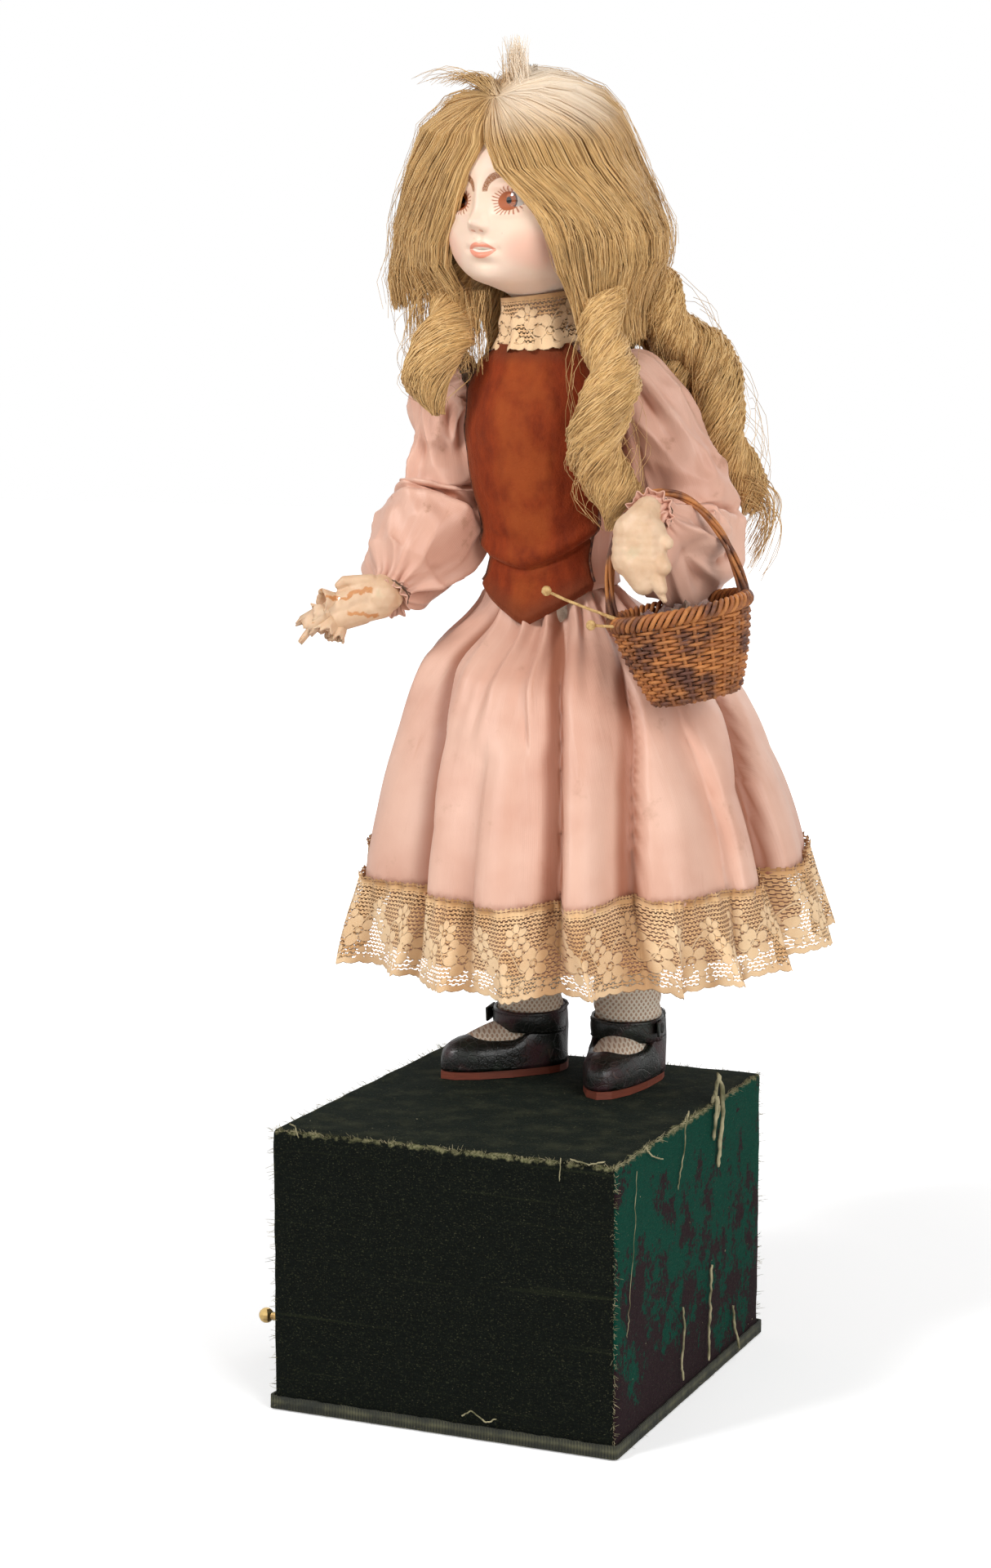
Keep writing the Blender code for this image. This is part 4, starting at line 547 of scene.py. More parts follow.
# Each deep fold: its heights with degrees from the front, its depth, its half width in degrees,
# and the heights between which it shows
FOLDS = (
    (((203, 27), (170, 18.6), (142, 16.3), (113, 15.3), (93, 14.5)), 5.2, 3.6, 200, 12.0),
    (((200, 52), (160, 45), (137, 39), (112, 36), (93, 35)), 4.0, 4.2, 178, 12.0),
    (((200, 1), (182, 3), (160, 4.5), (140, 6)), 1.9, 2.8, 204, 150.0),
    (((203, 110), (155, 100), (128, 84), (100, 83)), 4.2, 5.0, 172, 12.0),
    (((200, -44), (180, -41), (152, -30), (120, -26), (93, -25)), 3.6, 4.6, 200, 12.0),
    (((200, -75), (150, -66), (93, -62)), 3.4, 5.0, 190, 12.0),
    (((200, -12), (150, -9), (93, -8)), 1.4, 4.0, 150, 12.0),
    (((200, -112), (150, -104), (93, -98)), 4.0, 5.4, 196, 12.0),
    (((200, -146), (150, -140), (93, -136)), 3.6, 5.0, 196, 12.0),
    (((200, 176), (150, 179), (93, 183)), 4.2, 5.6, 196, 12.0),
    (((200, 146), (150, 142), (93, 140)), 3.8, 5.2, 196, 12.0),
    (((200, 66), (150, 63), (93, 61)), 2.6, 4.0, 170, 12.0))


def along(table, height):
    """Straight-line value between the rows of a falling table of heights."""
    if height >= table[0][0]:
        return table[0][1]
    for high, low in zip(table, table[1:]):
        if height >= low[0]:
            return high[1] + (low[1] - high[1]) * (high[0] - height) / (high[0] - low[0])
    return table[-1][1]


def section(table, z):
    """Half width, front and back at a height, from a table of rising heights."""
    if z <= table[0][0]:
        return table[0][1:]
    for low, high in zip(table, table[1:]):
        if z <= high[0]:
            share = (z - low[0]) / (high[0] - low[0])
            share = share * share * (3 - 2 * share) * 0.5 + share * 0.5
            return tuple(low[i] + (high[i] - low[i]) * share for i in (1, 2, 3))
    return table[-1][1:]


def bearing(u):
    """The direction of a share of the girth, 0 straight ahead."""
    return 2 * math.pi * u - math.pi


def set_in(matrix, spot):
    """A spot of the figure, in millimetres, as a point of the scene."""
    return tuple(matrix @ (Vector(spot) * MM))


def ring_point(a, f, b, angle):
    """A point of an oval whose front and back reach differ; angle 0 is its front."""
    forward = -math.cos(angle)
    return a * math.sin(angle), (f if forward < 0 else b) * forward


def ease(value):
    value = min(max(value, 0.0), 1.0)
    return value * value * (3 - 2 * value)


def turn_to(angle, middle):
    """Degrees from one direction to another, between -180 and 180."""
    return (angle - middle + 180) % 360 - 180


def bodice_edge(angle):
    """The waist seam's height, which dips at the front."""
    return WAIST_Z - 8.0 * max(0.0, math.cos(angle)) ** 6


def skirt_shift(z):
    """How far the bell swings to the doll's left below the waist."""
    left = max(0.0, 1 - (WAIST_Z - z) / (WAIST_Z - HEM_Z))
    return 10.0 * (1 - left * left)


def rough(x, y, z=0.0):
    return noise.noise(Vector((x, y, z)))


def rough_round(angle, size, z):
    """Noise that closes round the girth."""
    return rough(math.cos(angle) * size, math.sin(angle) * size, z)


def hem_at(angle):
    return HEM_Z + 2.2 * rough_round(angle, 1.6, 7)


def surface(name, across, down, place, look, size, matrix=FIGURE, closed=True, thick=0.0):
    """Cloth from a flat grid: the point at shares u and v of its width and length goes to
    place(u, v), and its UV map keeps the flat cloth's millimetres."""
    bm = bmesh.new()
    bm.loops.layers.uv.new("UVMap")
    bmesh.ops.create_grid(bm, x_segments=across, y_segments=down, size=1.0, calc_uvs=True)
    chart = bm.loops.layers.uv.active
    for face in bm.faces:
        for corner in face.loops:
            corner[chart].uv = (corner[chart].uv.x * size[0], (1 - corner[chart].uv.y) * size[1])
    for v in bm.verts:
        v.co = matrix @ (Vector(place((v.co.x + 1) / 2, (1 - v.co.y) / 2)) * MM)
    if closed:
        bmesh.ops.remove_doubles(bm, verts=bm.verts, dist=0.005 * MM)
    bmesh.ops.recalc_face_normals(bm, faces=bm.faces)
    middle = sum((v.co for v in bm.verts), Vector()) / len(bm.verts)
    outward = sum(f.normal.dot(f.calc_center_median() - middle) for f in bm.faces)
    if outward < 0:
        bmesh.ops.reverse_faces(bm, faces=bm.faces)
    made = piece_of(name, bm, look)
    if thick:
        thicken(made, thick)
    return made


def hill(value, middle, half):
    """A smooth bump of height 1."""
    return math.exp(-((value - middle) / half) ** 2)


def fold_shape(off, half):
    """A fold's section: the cloth sinks slowly, then turns back up over a crisp edge."""
    if off < 0:
        return 0.55 * hill(off, -3.4 * half, 1.9 * half) - hill(off, 0, 1.6 * half)
    return 0.45 * hill(off, 1.6 * half, 1.7 * half) - 1.3 * hill(off, 0, 0.28 * half)


FOLD_DEPTH = 2.1
FOLD_WIDTH = 1.25


def fold_out(degrees, z, bell):
    """How far the deep folds push the cloth out (or, below 0, in) at one place."""
    out = 0.0
    for path, depth, half, top_z, low_z in FOLDS:
        off = turn_to(degrees, along(path, z)) * (0.45 + 0.55 * bell / 84.0)
        fade = ease((top_z - z) / 26.0 + 0.35) * ease((z - low_z) / 12.0 + 0.5)
        out += fade * FOLD_DEPTH * depth * fold_shape(off, half * FOLD_WIDTH)
    return out


def skirt_place(u, v):
    angle = bearing(u)
    degrees = math.degrees(angle)
    top = bodice_edge(angle) - 0.6
    z = top + (hem_at(angle) - top) * v
    share = 0.5 * math.sqrt(v) + 0.5 * (1 - (1 - v) ** 1.7)
    bell = WAIST_REACH + SKIRT_FLARE * share
    blend = ease(v / 0.25)
    a, f, b = (r + 1.0 + (bell - r - 1.0) * blend for r in section(TRUNK, z))
    out = fold_out(degrees, z, bell) * (0.5 + 0.5 * v)
    gather = (1 - ease(v / 0.5)) * ease(v / 0.03)
    slip = 5.0 * rough_round(angle, 1.7, v * 1.5)
    out += gather * 2.1 * math.sin(19 * angle + slip)
    out += gather * 1.0 * math.sin(33 * angle + 2.5 * slip)
    circle = Vector((math.cos(angle), math.sin(angle), 0)) * 1.4
    out += 2.0 * v * noise.noise(circle * 1.3 + Vector((0, 0, v * 1.1 + 3)))
    out += 0.5 * noise.noise(circle * 6 + Vector((0, 0, v * 5)))
    out -= 0.9 * ease((v - 0.965) / 0.035) * (1 + 0.8 * math.sin(degrees * 2.3))
    x, y = ring_point(a + out, f + out, b + out, angle)
    return x + skirt_shift(z), y, z


def satin_look(name, grime):
    """Old salmon satin, creased along its length and soiled in patches, with a painted highlight on the
    crowns of its creases and painted shade in their hollows and deep folds.
    """
    look = Look(name, {"Sheen Weight": 0.25, "Sheen Roughness": 0.35, "Specular IOR Level": 0.45,
                       "Sheen Tint": (1.0, 0.85, 0.78)})
    wide, long = look.axes(look.uv())[:2]
    cloud = look.noise(look.place(), 26.0, 3.0)
    fine = look.noise(look.place(), 210.0, 3.0)
    pleat = look.noise(look.join(wide * 0.16, long * 0.02), 1.0, 4.0, 0.6)
    weave = (wide * 9.0).wave() * 0.5 + (long * 22.0).wave() * 0.5
    colour = look.mix((0.635, 0.345, 0.25), (0.74, 0.455, 0.345), cloud.above(0.3, 0.7))
    # Painted highlight on the crowns of the creases and painted shade in their hollows, from the same noise
    # that bumps them.
    colour = look.mix(colour, (0.80, 0.55, 0.44), pleat.above(0.55, 0.8) * 0.4)
    colour = look.mix(colour, (0.50, 0.21, 0.12), pleat.above(0.38, 0.2) * 0.45)
    spots = look.noise(look.place(start=(3, 1, 2)), 60.0, 5.0, 0.65).above(0.60, 0.74)
    colour = look.mix(colour, (0.42, 0.21, 0.13), look.least(spots * grime, 1.0) * 0.6)
    # Painted shade in the folds: the sunk attribute darkens the cloth where it lies deep.
    sunk = look.node("Attribute", {"attribute_name": "sunk"}, output=2)
    colour = look.mix(colour, (0.33, 0.115, 0.06), sunk * 0.9)
    look.set({"Base Color": colour, "Roughness": 0.36 + 0.22 * fine + 0.15 * spots})
    look.bump(pleat * 0.8 + weave * 0.04 + fine * 0.12, 0.9, 0.45)
    return look


satin = satin_look("skirt_satin", 0.6)
skirt = surface("satin_skirt", 440, 66, skirt_place, satin, (530.0, 128.0), thick=0.5)
# Painted shade for the deep folds: how far each point sinks into a fold goes to the sunk attribute, which
# darkens the satin there.
valleys = skirt.data.attributes.new("sunk", "FLOAT", "POINT")
to_figure = FIGURE.inverted()
for v in skirt.data.vertices:
    x, y, z = to_figure @ v.co / MM
    x -= skirt_shift(z)
    sink = -fold_out(math.degrees(math.atan2(x, -y)), z, math.hypot(x, y))
    valleys.data[v.index].value = ease((sink - 0.3) / 4.6)
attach(skirt, "figure_on_plinth")
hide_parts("skirt")

# Lining: brown-pink cotton, a plain bell inside the satin, seen only in the shade of the hem.

cambric = Look("lining_cotton", {"Roughness": 0.9})
wide, long = cambric.axes(cambric.uv())[:2]
thread = (wide * 7.0).wave() * (long * 7.0).wave()
mottle = cambric.noise(cambric.place(), 70.0, 4.0)
pattern = mottle + thread * 0.1
cambric.set({"Base Color": cambric.mix((0.55, 0.27, 0.18), (0.78, 0.43, 0.30), pattern)})
cambric.bump(thread * 0.3 + mottle, 0.3)


LINING_TOP = 188.0
LINING_LONG = 120.5
LINING_REACH = 83.5


def lining_place(u, v):
    angle = bearing(u)
    z = LINING_TOP - LINING_LONG * v
    share = v ** 1.15
    fold = 1.6 * v * math.sin(11 * angle + 2 * math.sin(2 * angle))
    reach = [r + 0.8 + (LINING_REACH - r) * share + fold for r in section(TRUNK, z)]
    x, y = ring_point(*reach, angle)
    return x + skirt_shift(z) * share, y, z


lining = surface("petticoat_lining", 150, 40, lining_place, cambric, (500.0, 134.0), thick=0.4)
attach(lining, "figure_on_plinth")
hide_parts("skirt_lining")

# Flounce: a band of ecru machine lace with a flowered net ground and a scalloped edge, gathered
# on a running thread under the satin's hem and stained by age to a tea colour.

FLOUNCE_REACH = 83.4
FLOUNCE_DROP = 34.5
LACE_WIDE = 700.0
LACE_LONG = 37.0


def lace_look(name, repeat, edge_at, head_at):
    """Net ground with solid flowers and leaves, and a corded scalloped edge, from UV millimetres."""
    look = Look(name, {"Roughness": 0.9, "Specular IOR Level": 0.2, "Sheen Weight": 0.2})
    wide, long = look.axes(look.uv())[:2]
    row = look.math("FLOOR", long * 0.62)
    slant = wide * 0.55 + 0.5 * row
    mesh_edge = look.cells(look.join(slant, long * 0.62), 1.0, "DISTANCE_TO_EDGE", 0.12)
    net = mesh_edge.above(0.25, 0.17)

    def motif(shift, down, petals, size, lobe):
        """A flower of solid cloth, with an open ring round its heart."""
        step = wide * (1 / repeat) + shift
        column = look.math("FLOOR", step)
        px = (step - column - 0.5) * repeat
        py = long - down - 1.5 * (column * 2.1 + shift).wave()
        reach = look.math("SQRT", px * px + py * py)
        turn = look.math("ARCTAN2", py, px)
        petal = (reach - size - lobe * abs((turn * (petals / 2)).wave())).above(0.3, -0.1)
        ring = (abs(reach - size * 0.42)).above(0.3, 0.5)
        vein = abs((turn * (petals / 2)).wave()).above(0.06, 0.22)
        return petal * ring * look.most(vein, reach.above(size * 0.9, size * 0.6))

    top = head_at + 2.0
    span = edge_at - top
    flowers = motif(0.0, top + span * 0.62, 5.0, 3.3, 3.3)
    for shift, down, petals, size, lobe in ((0.5, 0.26, 6.0, 2.6, 2.4), (0.28, 0.46, 3.0, 0.9, 3.0),
                                            (0.72, 0.84, 4.0, 0.9, 2.6), (0.30, 0.90, 3.0, 0.8, 2.2)):
        flowers = look.most(flowers, motif(shift, top + span * down, petals, size, lobe))
    swing = top + span * 0.5 + 5.0 * (wide * (2 * math.pi / repeat)).wave()
    stem = abs(long - swing).above(0.6, 0.35)
    bite = abs((wide * (math.pi / 5.0)).wave()) * 0.9
    edge = long - (edge_at - 0.4) - bite
    border = abs(edge + 1.3).above(1.3, 1.0)
    heading = abs(long - head_at).above(1.2, 0.7)
    flowers = look.most(flowers, stem)
    cloth = look.most(look.most(flowers, net), look.most(border, heading))
    solid = cloth * edge.above(0.1, -0.1)
    tea = look.noise(look.place(), 42.0, 4.0)
    fine = look.noise(look.join(wide, long), 4.0, 2.0)
    colour = look.mix((0.64, 0.355, 0.155), (0.85, 0.565, 0.31), tea.above(0.3, 0.65))
    raised = look.most(flowers, border)
    colour = look.mix(colour, (0.90, 0.69, 0.45), raised * fine.above(0.3, 0.7) * 0.85)
    # Painted shade in the ruffles' hollows, from the sunk attribute.
    sunk = look.node("Attribute", {"attribute_name": "sunk"}, output=2)
    colour = look.mix(colour, (0.36, 0.17, 0.06), sunk * 0.7)
    look.set({"Base Color": colour, "Alpha": solid.above(0.3, 0.6)})
    look.bump(raised + cloth * 0.6 + fine * 0.3, 0.4)
    look.material.surface_render_method = "DITHERED"
    return look


def shade_valleys(piece, rounds, deep):
    """Marks how far each point lies below the cloth around it, for the cloth's shade in folds."""
    mesh = piece.data
    count = len(mesh.vertices)
    spots = np.array([v.co for v in mesh.vertices])
    normals = np.array([v.normal for v in mesh.vertices])
    ends = np.array([e.vertices[:] for e in mesh.edges])
    here = np.concatenate((ends[:, 0], ends[:, 1]))
    there = np.concatenate((ends[:, 1], ends[:, 0]))
    neighbours = np.bincount(here, minlength=count)[:, None]
    smooth = spots
    for _ in range(rounds):
        totals = [np.bincount(here, smooth[there, i], count) for i in range(3)]
        smooth = np.stack(totals, 1) / neighbours
    sunk = ((smooth - spots) * normals).sum(1) / MM
    marks = mesh.attributes.new("sunk", "FLOAT", "POINT")
    for mark, sink in zip(marks.data, sunk):
        mark.value = ease((float(sink) - 0.15) / deep)


def flounce_place(u, v):
    angle = bearing(u)
    degrees = math.degrees(angle)
    droop = 2.4 * rough_round(angle, 2.2, 1)
    z = hem_at(angle) + 3.0 - (FLOUNCE_DROP + droop) * v
    start = FLOUNCE_REACH
    for path, depth, half, top_z, low_z in FOLDS:
        if low_z < 90:
            off = turn_to(degrees, path[-1][1])
            start += FOLD_DEPTH * depth * fold_shape(off, half * FOLD_WIDTH) * (1 - 0.6 * v)
    ring = Vector((math.cos(angle), math.sin(angle), 0))
    start += 2.0 * noise.noise(ring * 1.82 + Vector((0, 0, 4.1)))
    wander = 2.6 * noise.noise(ring * 3.0 + Vector((0, 0, v * 0.4)))
    ruffle = math.sin(20 * angle + wander)
    second = math.sin(37 * angle + 2.3 * wander + 1.0)
    fine = math.sin(83 * angle + 3 * wander) * (1 - ease(v / 0.4))
    flare = 11.0 * v ** 0.85
    deep = (0.3 + 5.0 * v ** 0.75) * (0.8 + 0.9 * noise.noise(ring * 5.0 + Vector((0, 0, 3))))
    lip = 1.5 * (1 - ease(v / 0.07))
    reach = start + 0.8 + lip + flare + ruffle * deep + second * deep * 0.35 + fine * 0.9
    sideways = math.radians(1.9 * math.cos(20 * angle + wander) * v)
    x, y = ring_point(reach, reach, reach, angle + sideways)
    return x + skirt_shift(min(z, HEM_Z)), y, z


lace = lace_look("flounce_lace", 18.0, LACE_LONG - 0.5, 2.6)
flounce = surface("lace_flounce_band", 1100, 30, flounce_place, lace, (LACE_WIDE, LACE_LONG))
# Marks the ruffles' hollows for the lace's painted shade.
shade_valleys(flounce, 260, 1.8)
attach(flounce, "figure_on_plinth")
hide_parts("lace_flounce")


# Bodice: salmon satin drawn round the body, with a pointed front of rust velvet.  The velvet is
# crushed, with a painted highlight that lightens it to orange in its middle, and its lower edge is
# folded over; its colour darkens towards its edges and ends.

BODICE_TOP = 298.2
PLASTRON_TOP = 297.6


def oval_at(table, z, grow, angle):
    a, f, b = section(table, z)
    return ring_point(a + grow, f + grow, b + grow, angle)


def bodice_place(u, v):
    angle = bearing(u)
    low = bodice_edge(angle) - 1.0
    z = BODICE_TOP + (low - BODICE_TOP) * v
    pleat = 0.45 * math.sin(46 * angle) * (1 - abs(2 * v - 1)) * (0.4 + 0.6 * math.sin(angle) ** 2)
    crease = 0.55 * rough_round(angle, 5, z * 0.06)
    flare = 1.2 * ease((v - 0.88) / 0.12)
    x, y = oval_at(TRUNK, z, 1.75 + flare + pleat + crease, angle)
    return x, y, z


bodice_satin = satin_look("bodice_satin", 1.0)
bodice = surface("satin_bodice", 160, 60, bodice_place, bodice_satin, (152.0, 112.0), thick=0.4)
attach(bodice, "figure_on_plinth")
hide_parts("bodice")

rust = Look("rust_velvet", {"Sheen Weight": 0.25, "Sheen Roughness": 0.35, "Roughness": 0.8,
                            "Sheen Tint": (1.0, 0.42, 0.2), "Specular IOR Level": 0.2})
wide, long = rust.axes(rust.uv())[:2]
pile = rust.noise(rust.place((260, 260, 90)), 1.0, 5.0, 0.65)
crush = rust.noise(rust.place(), 75.0, 4.0)
tip = rust.noise(rust.place(), 1500.0, 2.0)
from_middle = abs(wide - 31.0)
colour = rust.mix((0.16, 0.019, 0.003), (0.26, 0.036, 0.006), pile.above(0.25, 0.75))
# Painted highlight: the crushed pile is lighter and more orange towards the middle of the front.
crush_highlight = (crush * from_middle.above(24.0, 4.0)).above(0.25, 0.65)
colour = rust.mix(colour, (0.33, 0.066, 0.012), crush_highlight * 0.75)
# Darker towards the front's side edges and its ends.
ends_dark = rust.most(long.above(91.0, 99.0), long.above(9.0, 2.0))
edge_dark = rust.most(from_middle.above(24.0, 30.5), ends_dark)
colour = rust.mix(colour, (0.15, 0.035, 0.012), edge_dark * 0.75)
rust.set({"Base Color": rust.mix(colour, (0.09, 0.014, 0.005), crush.above(0.40, 0.22) * 0.35)})
rust.bump(pile + tip * 0.5 + crush, 0.8, 0.7)


def plastron_half(z):
    """Half width in degrees of the velvet front at a height."""
    return 52.0 + 12.0 * ease((z - 212) / 30.0) - 10.0 * ease((z - 250) / 40.0)


def plastron_place(u, v):
    side = 2 * u - 1
    z = PLASTRON_TOP + (WAIST_Z - 1.5 - PLASTRON_TOP) * v
    angle = math.radians(plastron_half(z) * side)
    z -= 13.0 * max(0.0, 1 - abs(math.degrees(angle) + 4) / 52) ** 1.15 * ease((v - 0.55) / 0.45)
    dart = 0.8 * hill(z, 224, 2.2) * hill(side, -0.35, 0.22)
    rim = ease((abs(side) - 0.965) / 0.035) * 0.9 + ease((v - 0.985) / 0.015) * 0.7
    crease = 0.5 * rough_round(angle, 6, z * 0.09)
    fold = 1.3 * hill(v, 0.965, 0.018)
    crush_z = 211.5 + 8.0 * abs(side + 0.1) ** 1.5 + 2.5 * side
    fold += 2.3 * hill(z, crush_z + 4.4, 3.6) - 1.9 * hill(z, crush_z, 1.1)
    flare = 1.8 * ease((v - 0.86) / 0.12)
    x, y = oval_at(TRUNK, z, 3.5 + flare + crease + fold - rim - dart, angle)
    return x, y, z


plastron = surface("velvet_bodice_front", 90, 130, plastron_place, rust, (62.0, 102.0), closed=False,
                   thick=0.9)
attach(plastron, "figure_on_plinth")

# Collar: the same ecru lace, drawn up round the neck in a stand with its scallops turned out.

COLLAR_TOP = 316.0
COLLAR_LONG = 21.0


def collar_place(u, v):
    angle = bearing(u)
    tilt = 1.5 * math.sin(angle)
    long = COLLAR_LONG + 2.2 * rough_round(angle, 2, 9)
    z = COLLAR_TOP + tilt - long * v
    flare = 14.8 + 1.2 * hill(v, 0.5, 0.16) + 3.6 * ease((v - 0.55) / 0.45)
    ripple = (0.25 + 1.0 * v * v) * math.sin(11 * angle + 1.5 * math.sin(3 * angle))
    x, y = ring_point(flare + 1.3 + ripple, flare + ripple + 0.4, flare + ripple, angle)
    return x, y, z


collar_lace = lace_look("collar_lace", 18.5, COLLAR_LONG, 1.0)
collar = surface("lace_collar_band", 300, 26, collar_place, collar_lace, (111.0, 22.0))
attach(collar, "figure_on_plinth")
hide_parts("lace_collar")

# Sleeves: the skirt's satin, set low on the shoulder, puffed at the elbow with big soft folds
# and gathered on a dark thread above a narrow frill at the wrist.

# Each sleeve's middle line from shoulder to wrist, with its radius
SLEEVES = {
    "right": ((-31.5, 0, 284.5, 9.6), (-38, 0, 281.5, 12.0), (-43.0, 0, 272, 12.4), (-44.6, 1, 260, 13.6),
              (-45.6, 1, 248, 16.6), (-46.6, -1, 235, 20.6), (-48.0, -13, 221, 21.6),
              (-52.5, -26, 210, 16.5), (-53.6, -36.0, 204.6, 7.8), (-53.5, -37.6, 203.4, 6.9),
              (-53.6, -40.6, 201.6, 9.2)),
    "left": ((31.5, 0, 284.5, 9.6), (38, 0, 281.5, 12.0), (43.4, 0, 272, 12.6), (46.5, 0, 263, 14.4),
             (50.5, 1, 250, 16.6), (54, 2, 240, 18.0), (58, 0, 228, 18.6), (60.5, -9, 218, 18.6),
             (61.0, -23, 219, 18.4), (60.6, -35, 228.6, 14.2), (60.2, -44.0, 237, 7.8),
             (60, -45.2, 237.6, 6.9), (59.8, -48.4, 238.6, 9.2))}
SLEEVE_STEPS = 130
CUFF_GATHERS = 17


def route_frames(path, steps):
    """Points of a smooth route with carried side directions: (centre, side, up, radius)."""
    points = [Vector(row[:3]) for row in path]
    radii = [row[3] for row in path]
    last = len(points) - 1
    places = []
    for share in shares(steps):
        spot = share * last
        i = min(int(spot), last - 1)
        t = spot - i
        p0, p1, p2, p3 = (points[min(max(i + k, 0), last)] for k in (-1, 0, 1, 2))
        middle = 0.5 * (2 * p1 + (p2 - p0) * t + (2 * p0 - 5 * p1 + 4 * p2 - p3) * t * t
                        + (3 * p1 - 3 * p2 + p3 - p0) * t ** 3)
        places.append((middle, radii[i] + (radii[i + 1] - radii[i]) * ease(t)))
    frames = []
    side = Vector((0, 1, 0))
    for k, (middle, radius) in enumerate(places):
        way = (places[min(k + 1, steps)][0] - places[max(k - 1, 0)][0]).normalized()
        side = (side - way * side.dot(way)).normalized()
        frames.append((middle, side.copy(), way.cross(side), radius))
    return frames


def way_round(side, up, turn):
    """The direction across a route at one turn round it."""
    return side * math.cos(turn) + up * math.sin(turn)


def sleeve_maker(path, seed, bend):
    """Sleeve on a route; bend is the row of the path at the inside of the elbow."""
    frames = route_frames(path, SLEEVE_STEPS)
    lengths = [0.0]
    for a, b in zip(frames, frames[1:]):
        lengths.append(lengths[-1] + (b[0] - a[0]).length)
    total = lengths[-1]
    elbow = lengths[int(SLEEVE_STEPS * bend / (len(path) - 1))]

    def place(u, v):
        index = min(int(round(v * SLEEVE_STEPS)), SLEEVE_STEPS)
        middle, side, up, radius = frames[index]
        turn = 2 * math.pi * u
        out = way_round(side, up, turn)
        run = lengths[index]
        puff = ease(run / 22.0) * ease((total - run) / 16.0)
        spot = middle + out * radius
        slant = noise.noise(Vector((spot.x * 0.05, spot.y * 0.05, spot.z * 0.05 + seed)))
        around = Vector((math.cos(turn) * 0.95, math.sin(turn) * 0.95, run * 0.024 + 7 * seed))
        around += Vector((0, 0, 0.55 * math.cos(turn + seed)))
        broad = 1 - 2.6 * abs(noise.noise(around))
        sharp = 1 - 3.2 * abs(noise.noise(around * 1.9 + Vector((4, 2, 0))))
        ripple = puff * (5.2 * broad + 2.3 * sharp * (0.6 + slant) - 2.6)
        inside = max(0.0, -math.cos(turn + 0.3 * seed)) ** 1.4
        for crease in (-9.0, 0.0, 8.0):
            off = run - elbow - crease - 4.0 * math.sin(turn + crease)
            ripple += puff * inside * (1.6 * hill(off, 3.0, 2.6) - 4.6 * hill(off, 0, 1.5))
        cuff = hill(total - run, 3.5, 6.0)
        ripple += cuff * 0.75 * math.sin(CUFF_GATHERS * turn + 3 * slant)
        head_gather = hill(run, 0, 9.0)
        ripple += head_gather * 0.6 * math.sin(15 * turn + 2 * slant)
        frill = ease((total - run) / 3.0)
        ripple += (1 - frill) * 0.9 * math.sin(11 * turn)
        return spot + out * ripple

    return place, total


for side, seed, bend, cuff_row in (("right", 1.0, 5.3, 118), ("left", 2.3, 7.0, 119)):
    body = f"{side}_arm"
    place, total = sleeve_maker(SLEEVES[side], seed, bend)
    cloth = satin_look(f"{side}_sleeve_satin", 1.3)
    sleeve = surface(f"{side}_satin_sleeve", 140, SLEEVE_STEPS, place, cloth, (120.0, total), thick=0.45)
    # Marks the sleeve's fold hollows for the satin's painted shade.
    shade_valleys(sleeve, 70, 2.2)
    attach(sleeve, body)
    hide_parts(f"{side}_sleeve")
    total / 1000
    sew = Look(f"{side}_cuff_thread", {"Roughness": 0.9})
    strand = sew.noise(sew.place(), 900.0, 2.0)
    sew.set({"Base Color": sew.mix((0.03, 0.02, 0.015), (0.16, 0.09, 0.05), strand)})
    centre, one, two, radius = route_frames(SLEEVES[side], SLEEVE_STEPS)[cuff_row]
    knots = []
    for share in shares(28):
        turn = 2 * math.pi * share
        reach = radius + 0.85 + 0.3 * math.sin(CUFF_GATHERS * turn)
        knots.append((set_in(FIGURE, centre + way_round(one, two, turn) * reach), 0.42))
    tie = threads(f"{side}_cuff_tie", [knots], sew, 1)
    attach(tie, body)


# Piping: the jacket's front edges are bound with a dark brown cord that has worn thin.

binding = mottled("jacket_piping", 0.85, (0.05, 0.016, 0.008), (0.20, 0.07, 0.035), 500.0, 3.0,
                  (0.35, 0.7))
binding.bump(binding.mottle, 0.2)
paths = []
for edge in (0.0, 1.0):
    path = []
    for share in shares(40):
        spot = Vector(plastron_place(edge, 0.03 + 0.93 * share))
        spot += Vector((spot.x, spot.y, 0)).normalized() * 0.55
        path.append((set_in(FIGURE, spot), 0.55))
    paths.append(path)
piping = threads("jacket_piping", paths, binding, 1)
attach(piping, "figure_on_plinth")

# Hands: pale bisque, pushed into the cuffs and glued.  The right one has lost its fingers down to
# hollow broken stumps and shows old glue; the left is a closed fist on the basket's handle.

FACE = FIGURE @ Matrix.Rotation(math.radians(-14.5), 4, "Z")
HEAD_FRAME = FIGURE @ Matrix.Rotation(math.radians(-20.0), 4, "Z")


SKIN_GRAIN = 0.5


def blobs(name, parts, look):
    """One skin over overlapping balls and tapered rods, as (start, end, radius, radius)."""
    bm = bmesh.new()
    for start, end, r0, r1 in parts:
        a, b = Vector(start), Vector(end)
        steps = max(1, int((b - a).length / (0.35 * min(r0, r1))))
        for share in shares(steps):
            spot = FIGURE @ (a.lerp(b, share) * MM)
            radius = (r0 + (r1 - r0) * share) * MM
            bmesh.ops.create_icosphere(bm, subdivisions=2, radius=radius, matrix=Matrix.Translation(spot))
    made = piece_of(name, bm, look)
    skin = made.modifiers.new("Skin", "REMESH")
    skin.mode = "VOXEL"
    skin.voxel_size = SKIN_GRAIN * MM
    soft = made.modifiers.new("Soft", "SMOOTH")
    soft.factor = 0.5
    soft.iterations = 6
    applied(made)
    made.data.shade_smooth()
    return made


